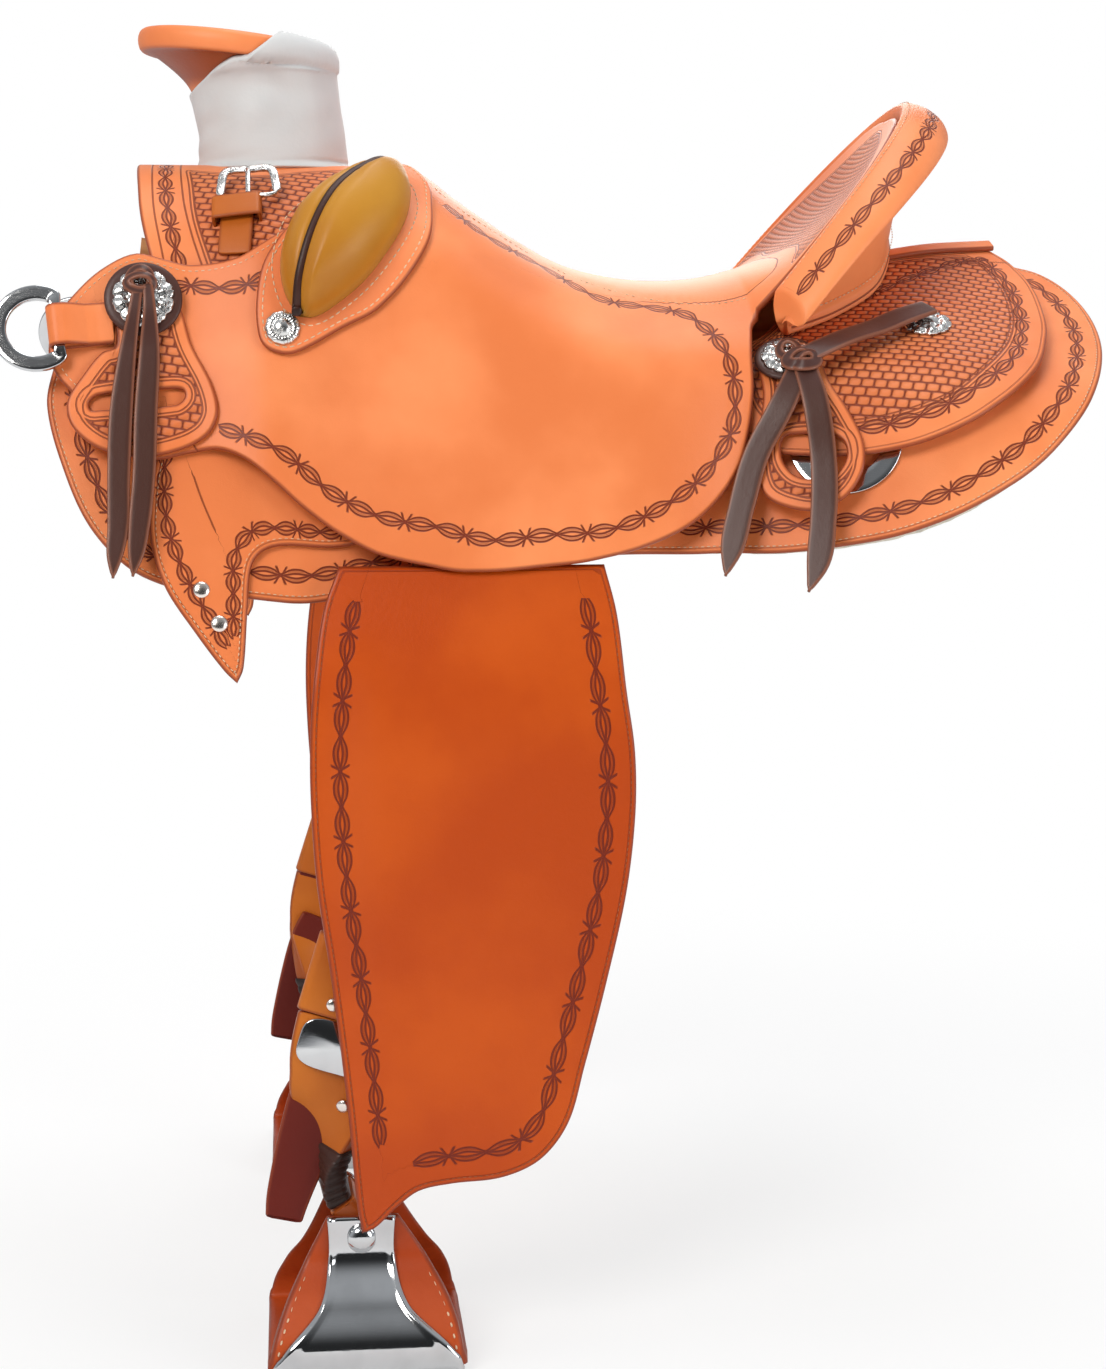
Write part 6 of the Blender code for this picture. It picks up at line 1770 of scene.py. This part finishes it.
def band_line(count, sharp, half_a, half_b, r, steps):
    """A closed line round a flat strap, with rounded corners."""
    c, s = np.cos(circle(count)), np.sin(circle(count))
    path = np.stack([np.clip(c * sharp, -1, 1) * half_a + r * c,
                     np.clip(s * sharp, -1, 1) * half_b + r * s], 1)
    return walk(np.concatenate([path, path[:1]]), steps)[:-1]


def rivet(point, normal, radius=4.6):
    return turned([(0, 0), (radius, 0), (radius, 0.8), (radius * 0.9, 1.6), (radius * 0.5, 2.2),
                   (0, 2.4)], "rivet", point, normal, (0.3, 0.2, 1), 28)


def from_hinge(line):
    """A fender line without its last point, starting where it crosses the hinge's middle."""
    away = np.hypot(line[:-1, 0] + 66, line[:-1, 1] + 12)
    return np.roll(line[:-1], -int(np.argmin(away)), 0)


class SADDLE_OT_leathers(bpy.types.Operator):
    """Makes the stirrup leathers, fenders and lower straps"""
    bl_idname = "saddle.leathers"
    bl_label = "Fenders and stirrup leathers"

    def execute(self, context):
        self.upper()
        self.fenders()
        self.lower()
        return {"FINISHED"}

    def upper(self):
        """The strap folded over its carrier, as a path of radius and outward place."""
        fold, half_thick = DISC_RADIUS + 0.6, STRAP / 2
        under = DISC_INNER - 0.5
        bend = np.linspace(0, math.pi / 2, 7)
        path = [(r, STRAP_AT + half_thick, 1.0) for r in np.linspace(-HINGE_DOWN + 0.3, 44, 30)]
        path += [(fold + half_thick * math.sin(b), STRAP_AT + half_thick * math.cos(b), 1.0)
                 for b in bend]
        path += [(fold + half_thick, out, 0.82)
                 for out in np.linspace(STRAP_AT - 1.5, DISC_INNER + 1.0, 6)]
        path += [(fold + half_thick * math.cos(b), under - half_thick * math.sin(b), 0.68)
                 for b in bend]
        path = np.array(path + [(fold - 2.0, under - half_thick, 0.66)])
        share = np.linspace(-1, 1, 15)
        radius, out, narrow = path[:, 0:1], path[:, 1:2], path[:, 2:]
        way = open_way(path[:, :2])
        half = STRAP_WIDTH / 2
        rings = []
        for sign in (1, -1):
            rr = radius - way[:, 1:2] * half_thick * sign
            oo = out + way[:, 0:1] * half_thick * sign
            a = share[None, :] * half * narrow
            blend = smooth(0, 30, rr)
            angle = a / fold
            fx = np.where(rr <= 0, a, a + (rr * np.sin(angle) - a) * blend)
            fz = np.where(rr <= 0, rr, rr + (rr * np.cos(angle) - rr) * blend)
            rings.append(side_plane(fx, fz, np.broadcast_to(oo, fx.shape)))
        ring = np.concatenate([rings[0], rings[1][:, ::-1]], 1)
        gap = np.broadcast_to(half * (1 - np.abs(share)), (len(path), len(share)))
        made = build(ring, tube_faces(*ring.shape[:2]), "plain",
                     untooled(np.concatenate([gap, gap], 1)))
        pair(made, "stirrup_strap", "stirrup_leather", body="swing")

    def fenders(self):
        """The fenders, over the hanging form, which turns from the side's slope to the leg's below
        the hinge.
        """
        border = from_hinge(border_inside(FENDER_POINTS, 18.5))
        border = border[(border[:, 1] > 8) & ~((border[:, 0] < -110) & (border[:, 1] > 363))]
        cuts = np.flatnonzero(np.linalg.norm(np.diff(border, axis=0), axis=1) > 8) + 1
        made = panel(fender_form, two_sides(FENDER_POINTS, FENDER_KEYS, 4.0), 0, FENDER, "fender",
                     36, borders=np.split(border, cuts), open_end=True, repeat=1.15, bead=1.8)
        made, other = pair(made, "fender_leather", riding=False)
        edge = from_hinge(inset(rounded(FENDER_POINTS, 2.0)[0], 3.4))
        edge = edge[edge[:, 1] > 6]
        thread = stitches([run(fender_form, edge, FENDER + 0.02)], 2.2, 3.6, 0.3, "thread_dark")
        pair(thread, "fender_stitching", body="leg")
        for piece, (side, sign) in zip((made, other), SIDES):
            top, low = (Vector(side_plane(0, up - HINGE_DOWN, FENDER_AT) * [1, sign, 1] * MM)
                        for up in (10, -12))
            "swing_" + side
            "leg_" + side
            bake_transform(piece)
            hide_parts("fender_" + side)

    def lower(self):
        """The doubled strap, its binding, hobble strap, buckle and tail."""
        def piece(stations, look, bead, grow=0.0, thicker=0.0, lift=0.0):
            middle, wide, thin, width, thick = lower_line(stations)
            return sweep(middle + thin * lift, wide, thin, width / 2 + grow,
                         thick / 2 + thicker, look, bead=bead)

        # The doubled strap behind the fender, painted almost black as shade
        pair(piece(np.linspace(0, 5.0, 60), "deep", 1.4), "doubled_strap", "lower_leather",
             body="leg")
        k = np.linspace(4.95, 11.6, 80)
        below = piece(k, "tan", 2.2, 1.5 * smooth(7.5, 5.5, k), 0.6,
                      (2.2 * smooth(5.6, 5.2, k))[:, None] * 0.3)
        pair(below, "lower_strap", body="leg")
        middle, wide, thin, _, thick = lower_line(np.linspace(4.0, 7.0, 61))
        rivets = []
        for across, down in ((-14, 108), (10, 150)):
            i = int(np.argmin(np.abs(lengths(middle) - down)))
            rivets.append(rivet(middle[i] + wide[i] * across + thin[i] * (thick[i] / 2 + 0.4),
                                thin[i]))
        pair(merge(rivets), "strap_rivets", body="leg")
        ripple = 0.7 * np.abs(np.sin(np.linspace(0, 7 * math.pi, 90)))
        made = piece(np.linspace(8.15, 10.35, 90), "welt", 4.0, 1.6 + ripple, 1.8 + ripple)
        pair(made, "strap_binding", body="leg")
        hobble = np.linspace(10.4, 11.3, 24)
        pair(piece(hobble, "tan", 4.5, 3.0, 3.0), "hobble_strap", body="leg")
        middle, wide, thin, width, _ = lower_line(hobble)
        at = len(hobble) // 2
        down = unit(middle[at + 1] - middle[at - 1])
        box_a, box_b = box(circle(48), 0.5, 10, 11)
        ring = (middle[at] - wide[at] * (width[at] / 2 + 4.2) + thin[at] * box_a[:, None]
                + down * box_b[:, None])
        pair(flat_ring(ring, -wide[at], 1.5, 1.3, "steel"), "hobble_buckle",
             body="leg")
        rows = np.array([(-160, 312, -17.0, 17), (-168, 330, -19.0, 18.5), (-177, 360, -20.0, 18),
                         (-188, 395, -20.5, 14.5), (-192, 413, -20.5, 12)], float)
        x, v, t, half = (through(np.linspace(0, 4, 50), np.arange(5), rows[:, c])
                         for c in range(4))
        # The strap's tail behind the fender, painted almost black as shade
        pair(ribbon(*on_hang(x, v, t), half, 2.0, "deep"), "strap_tail", body="leg")


class SADDLE_OT_sleeves(bpy.types.Operator):
    """Makes the leather sleeves and the length buckles"""
    bl_idname = "saddle.sleeves"
    bl_label = "Keepers and length buckles"

    def execute(self, context):
        start, along, across, face = strap_place()
        line = band_line(80, 1.9, 26.9, 0.9, 5.0, 97)
        middle = start + along * 70.0 + across * line[:, :1] + face * line[:, 1:]
        pair(strip(middle, along, 26.0, 1.3, "tan", True, 1.2), "sliding_sleeve",
             "leather_keeper", body="sleeve")
        rivets = [rivet(start + along * b + across * -12.0 + face * 7.1, face, 4.3)
                  for b in (53, 70, 87)]
        pair(merge(rivets), "sleeve_rivets", body="sleeve")
        wide, tall = box(circle(72), 0.55, 26.5, 16.5)
        centre = start + along * 113.5 + face * 5.6
        rings = [centre + across * (wide * scale)[:, None] + along * (tall * scale)[:, None]
                 + face * out
                 for scale, out in ((0, -1.0), (0.97, -1.0), (1.0, -0.6), (1.0, 0.6), (0.97, 1.0),
                                    (0, 1.2))]
        made = build(np.stack(rings), grid_faces(6, 72), "steel")
        pair(made, "length_buckle_steel", "length_buckle", "leg")
        return {"FINISHED"}


def stirrup_line(drop, count=121):
    """The band's line across the horse, as sideways and down from the bolt, and its share."""
    top, low, wide, foot = STIRRUP_TOP_HALF, STIRRUP_DROP, STIRRUP_BOTTOM_HALF, 8.0
    high = min(drop, 4.0)
    points = [(-top + high, -14), (-top + high, 13), (-47 + drop * 0.9, 38),
              (-wide + 6 + drop * 0.9, low - foot - 6), (-wide + foot + drop * 0.6, low - 2 - drop),
              (-wide + 22, low - drop), (0, low - drop)]
    points = points + [(-y, z) for y, z in points[-2::-1]]
    pts = np.array(points, float)
    d = lengths(pts)
    s = np.linspace(0, d[-1], count)
    line = np.stack([through(s, d, pts[:, k]) for k in range(2)], 1)
    return line, np.interp(s, d, np.arange(len(pts)))


def from_bolt(x, line):
    """Points at a place along the horse and on a line across it, from the bolt."""
    return np.stack([BOLT[0] + x, BOLT[1] + line[..., 0], BOLT[2] - line[..., 1]], -1)


def band(inner, outer, widths, look, edge_roll=0.0):
    """A band bent round the foot. In words: two lines across the horse, widened along it by
    smooth half widths, with rounded edges and a rolled rim on the outside."""
    line_in, at = stirrup_line(inner)
    line_out, _ = stirrup_line(outer)
    rows = np.array(widths, float)
    front, rear = (through(at, np.arange(len(rows)), rows[:, k]) for k in range(2))
    share = np.r_[0, 0.012, 0.035, 0.07, np.linspace(0.11, 0.89, 19), 0.93, 0.965, 0.988, 1]
    x = front[:, None] + (rear - front)[:, None] * share
    width = (rear - front)[:, None]
    gap = np.minimum(share, 1 - share) * width
    thick = np.linalg.norm(line_out - line_in, axis=1)[:, None]
    r = min(1.1, 0.45 * float(thick.mean()))
    drop = r * (1 - quarter(gap / r))
    roll = edge_roll * np.exp(-((gap - 2.2) / 1.7) ** 2)
    out_dir = unit(line_out - line_in)[:, None]
    far = line_out[:, None] + out_dir * (roll - drop)[..., None]
    near = line_in[:, None] + out_dir * drop[..., None]
    ring = np.concatenate([from_bolt(x, far), from_bolt(x, near)[:, ::-1]], 1)
    along = lengths(line_out)
    end = np.minimum(along, along[-1] - along)[:, None]
    edge = np.minimum(gap, end)
    cloth = np.stack([np.broadcast_to(along[:, None], x.shape), x], -1)
    return build(ring, tube_faces(*ring.shape[:2]), look,
                 untooled(np.concatenate([edge, edge], 1)),
                 {"weave": (np.concatenate([cloth, cloth], 1), None)})


METAL = [(-22, 22), (-22, 22), (-28, 30), (-52, 58), (-60, 64), (-61, 64)]
METAL += [(-61, 64)] + METAL[::-1]
LINER = [(-22, 24), (-36, 42), (-50, 57), (-59, 64), (-61, 66), (-61, 67)]
LINER += [(-61, 67)] + LINER[::-1]


class SADDLE_OT_stirrups(bpy.types.Operator):
    """Makes the stirrups: metal band, leather lining, bolt and stitching"""
    bl_idname = "saddle.stirrups"
    bl_label = "Stirrups"

    def execute(self, context):
        made = band(0.0, -STIRRUP_METAL, METAL, "steel", 2.0)
        pair(made, "stirrup_metal", "stirrup", "stirrup")
        made = band(STIRRUP_LINER, 0.4, LINER, "liner")
        pair(made, "stirrup_lining", "stirrup_binding", body="stirrup")
        head = STIRRUP_TOP_HALF + STIRRUP_METAL + 0.5
        made = turned([(0, -head - 3.0), (8.2, -head - 3.0), (9.0, -head - 2.2), (9.0, -head),
                       (5, -head), (5, head), (9.2, head), (9.2, head + 1.4), (8.4, head + 2.8),
                       (6.2, head + 4.4), (3.2, head + 5.3), (0, head + 5.6)], "steel", BOLT,
                      (0, -1, 0), steps=48)
        pair(made, "stirrup_bolt_steel", "stirrup_bolt", "stirrup")
        line_out, at = stirrup_line(0.2)
        rows = np.array(LINER, float)
        runs = []
        for k, inward in ((0, 5.0), (1, -5.0)):
            x = through(at, np.arange(len(rows)), rows[:, k]) + inward
            line = from_bolt(x, line_out)
            step = open_way(line_out)
            n = np.stack([0 * x, step[:, 1], step[:, 0]], 1)
            n = np.where((n[:, 1:2] * line_out[:, :1] < 0) & (np.abs(line_out[:, :1]) > 5), -n, n)
            n[:, 2] = np.where(np.abs(line_out[:, 0]) < 50, -1.0, n[:, 2])
            half = len(x) // 2
            for part in (slice(14, half - 14), slice(half + 14, len(x) - 14)):
                runs.append((line[part], unit(n[part])))
        made = stitches(runs, 3.0, 7.0, 0.7)
        pair(made, "lining_stitching", body="stirrup")
        return {"FINISHED"}


class SADDLE_OT_rope_strap(bpy.types.Operator):
    """Makes the rope strap with its loop and buckle"""
    bl_idname = "saddle.rope_strap"
    bl_label = "Rope strap"

    def execute(self, context):
        at = FORK_SKIN_TOP + LAY
        line = open_line([(-216, 150), (-215, 135), (-214, 118), (-213, 101)], 1.5)
        single(ribbon(*run(seat, line, at + 1.5), 11.0, 1.5, "tan", 1.0), "rope_strap_leather",
               "rope_strap")
        p, n = spot_on(seat, -214.0, 112.0, at + 1.5)
        down = unit(placed(seat, -214.0, 128.0, at) - placed(seat, -214.0, 100.0, at))
        down = level(down, n)
        line = band_line(72, 1.8, 13.2, 2.6, 2.2, 90)
        middle = p + down * 1.0 + np.cross(down, n) * line[:, :1] + n * (line[:, 1:] + 0.6)
        single(strip(middle, down, 10.5, 1.1, "tan", True, 0.9), "rope_strap_loop")
        point, normal = spot_on(seat, -206.0, 102.0, at + 3.2)
        down = unit(seat(-206.0, 118.0) - seat(-206.0, 94.0))
        across = np.cross(down, normal)

        def place(q):
            return point + across * q[:, :1] - down * q[:, 1:2] + normal * q[:, 2:]

        line = closed_line([(-17, -0.5), (-17.6, 14), (-14, 24.5), (0, 25.2), (14, 24.5),
                            (17.6, 14), (17, -0.5), (0, -0.5)], 1.0)[:-1]
        middle = place(np.c_[line, 2.4 + 1.2 * smooth(10, 20, line[:, 1])])
        step = closed_way(middle)
        wide = unit(np.cross(np.broadcast_to(normal, step.shape), step))
        rim_part = sweep(middle, wide, np.cross(step, wide), 2.9 - 1.3 * smooth(
            3.0, 1.0, line[:, 1]), 1.6, "silver", loop=True, bead=1.2)
        s = np.linspace(0, 1, 24)
        middle = place(np.c_[0 * s, -1.0 + 27.5 * s, 3.4 + 1.4 * np.sin(s * 2.6)])
        tongue = strip(middle, across, 1.7, 1.3, "bright", bead=1.2)
        single(merge([rim_part, tongue]), "rope_buckle_silver", "rope_strap_buckle",
               "rope_buckle")
        return {"FINISHED"}


class SADDLE_OT_tree(bpy.types.Operator):
    """Gives the tree's own pieces a rawhide surface"""
    bl_idname = "saddle.tree"
    bl_label = "Tree"

    def execute(self, context):
        for name, look in (("tree_fork", "roll_base"), ("tree_cantle", "rawhide"),
                           ("ground_seat", "rawhide")):
            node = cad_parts[name]
            node.data.materials.clear()
            node.data.materials.append(LOOKS[look])
        for side, _ in SIDES:
            self.bar(side)
        return {"FINISHED"}

    def bar(self, side):
        """The bar of the tree, cut off and closed where the fork's leather hides it."""
        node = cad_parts["tree_bar_" + side]
        bm = bmesh.new()
        bm.from_mesh(node.data)
        bm.transform(node.matrix_world)
        bmesh.ops.remove_doubles(bm, verts=bm.verts, dist=2e-6)
        cut = bmesh.ops.bisect_plane(
            bm, geom=bm.verts[:] + bm.edges[:] + bm.faces[:], plane_co=(BAR_FRONT * MM, 0, 0),
            plane_no=(1, 0, 0), clear_inner=True)
        bmesh.ops.edgeloop_fill(bm, edges=[e for e in cut["geom_cut"]
                                           if isinstance(e, bmesh.types.BMEdge)])
        bmesh.ops.recalc_face_normals(bm, faces=bm.faces)
        open_edges = sum(1 for e in bm.edges if len(e.link_faces) != 2)
        if open_edges:
            raise RuntimeError("the cut bar has %d open edges" % open_edges)
        mesh = bpy.data.meshes.new("tree_bar_rawhide_" + side)
        bm.to_mesh(mesh)
        bm.free()
        mesh.materials.append(LOOKS["rawhide"])
        settle(added(mesh.name, mesh), "saddle", "tree_bar_" + side)


FLOOR_Z = -0.6625
LIGHTS_AIM = (0, 0, -0.12)
# Name, place, size, power and tint
LIGHTS = [("key", (-1.5, -2.2, 1.7), 1.5, 60, (1.0, 0.97, 0.93)),
          ("fill", (2.3, -2.0, 0.3), 1.6, 30, (0.97, 0.98, 1.0)),
          ("top", (0.2, 0.3, 2.4), 1.6, 26, (1.0, 1.0, 1.0)),
          ("rim_back", (0.6, 2.4, 1.2), 1.4, 18, (1.0, 0.98, 0.95))]
# Degrees to the front and up, the point looked at and the distance from it
CAMERA_TURN, CAMERA_AIM, CAMERA_AWAY = (-6, 7.5), (0.0069, 0, -0.2519), 1.8


def fresh(tree, *kinds):
    """New shader nodes in an emptied tree."""
    tree.nodes.clear()
    return [tree.nodes.new("ShaderNode" + kind) for kind in kinds]


def join(tree, *links):
    for source, target in links:
        tree.links.new(source, target)


class SADDLE_OT_studio(bpy.types.Operator):
    """Sets the floor, the lights, the background and the camera"""
    bl_idname = "saddle.studio"
    bl_label = "Studio"

    def execute(self, context):
        scene = context.scene
        scene.world = bpy.data.worlds.new("studio")
        scene.world.use_nodes = True
        self.backdrop(scene.world.node_tree)
        look = bpy.data.materials.new("floor_white")
        look.use_nodes = True
        self.floor_shade(look.node_tree)
        mesh = bpy.data.meshes.new("floor")
        mesh.from_pydata([(x, y, FLOOR_Z) for x, y in ((-14, -14), (14, -14), (14, 14), (-14, 14))],
                         [], [(0, 1, 2, 3)])
        mesh.materials.append(look)
        made = [added("studio_floor", mesh)]
        for name, place, size, power, tint in LIGHTS:
            data = bpy.data.lights.new(name, "AREA")
            data.energy, data.size, data.color, data.shape = power, size, tint, "DISK"
            lamp = added(name + "_light", data)
            lamp.location = place
            aim = Vector(LIGHTS_AIM) - Vector(place)
            lamp.rotation_euler = aim.to_track_quat("-Z", "Y").to_euler()
            made.append(lamp)
        azimuth, elevation = map(math.radians, CAMERA_TURN)
        back_way = Vector((math.sin(azimuth) * math.cos(elevation),
                           -math.cos(azimuth) * math.cos(elevation), math.sin(elevation)))
        data = bpy.data.cameras.new("camera")
        data.lens, data.sensor_width, data.clip_end = 65.0, 36.0, 60.0
        scene.camera = added("camera", data)
        scene.camera.location = Vector(CAMERA_AIM) + back_way * CAMERA_AWAY
        scene.camera.rotation_euler = back_way.to_track_quat("Z", "Y").to_euler()
        scene.view_settings.view_transform = "Standard"
        return {"FINISHED"}

    def backdrop(self, tree):
        """White to the camera; to the leather a cool sky that is darker behind the camera."""
        out, seen, lit, way, cut, path, mixer = fresh(
            tree, "OutputWorld", "Background", "Background", "TexCoord", "SeparateXYZ",
            "LightPath", "MixShader")
        seen.inputs[0].default_value = (1, 1, 1, 1)
        lit.inputs[0].default_value = (0.93, 0.96, 1.0, 1)
        tree.links.new(way.outputs["Generated"], cut.inputs[0])
        join(tree, (fade(tree, cut.outputs[1], -0.95, -0.3, 0.03, 0.5), lit.inputs[1]),
             (path.outputs["Is Camera Ray"], mixer.inputs[0]), (lit.outputs[0], mixer.inputs[1]),
             (seen.outputs[0], mixer.inputs[2]), (mixer.outputs[0], out.inputs[0]))

    def floor_shade(self, tree):
        """A matt floor that fades to pure white away from the saddle."""
        glow, matt, blend, end, ray, dim, far, spread = fresh(
            tree, "Emission", "BsdfDiffuse", "MixShader", "OutputMaterial", "LightPath", "Math",
            "TexCoord", "VectorMath")
        matt.inputs[0].default_value = (0.9, 0.9, 0.9, 1)
        dim.operation, spread.operation = "MULTIPLY", "LENGTH"
        tree.links.new(far.outputs["Object"], spread.inputs[0])
        join(tree, (fade(tree, spread.outputs["Value"], 0.7, 1.35, 0.7, 1.0), dim.inputs[1]),
             (ray.outputs["Is Camera Ray"], dim.inputs[0]), (dim.outputs[0], blend.inputs[0]),
             (matt.outputs[0], blend.inputs[1]), (glow.outputs[0], blend.inputs[2]),
             (blend.outputs[0], end.inputs[0]))


class SADDLE_PT_panel(bpy.types.Panel):
    """The saddle's settings and steps"""
    bl_idname = "SADDLE_PT_panel"
    bl_label = "Wade saddle"
    bl_space_type = "VIEW_3D"
    bl_region_type = "UI"
    bl_category = "Saddle"

    def draw(self, context):
        box = self.layout.box()
        for key in SaddleSettings.__annotations__:
            box.prop(context.scene.wade_saddle, key)
        for step in STEPS:
            self.layout.operator(step.bl_idname)


STEPS = (SADDLE_OT_looks, SADDLE_OT_skirts, SADDLE_OT_rear_jockeys, SADDLE_OT_rigging,
         SADDLE_OT_seat, SADDLE_OT_fork, SADDLE_OT_cantle, SADDLE_OT_horn, SADDLE_OT_rolls,
         SADDLE_OT_keepers, SADDLE_OT_rings, SADDLE_OT_strings, SADDLE_OT_leathers,
         SADDLE_OT_sleeves, SADDLE_OT_stirrups, SADDLE_OT_rope_strap, SADDLE_OT_tree,
         SADDLE_OT_studio)
CLASSES = (SaddleSettings, *STEPS, SADDLE_PT_panel)


def register():
    for cls in CLASSES:
        bpy.utils.register_class(cls)
    bpy.types.Scene.wade_saddle = PointerProperty(type=SaddleSettings)


def unregister():
    del bpy.types.Scene.wade_saddle
    for cls in reversed(CLASSES):
        bpy.utils.unregister_class(cls)


def main():
    """Registers the classes and builds the looks in order."""
    register()
    for step in STEPS:
        group, name = step.bl_idname.split(".")
        getattr(getattr(bpy.ops, group), name)()


if __name__ == "__main__":
    main()
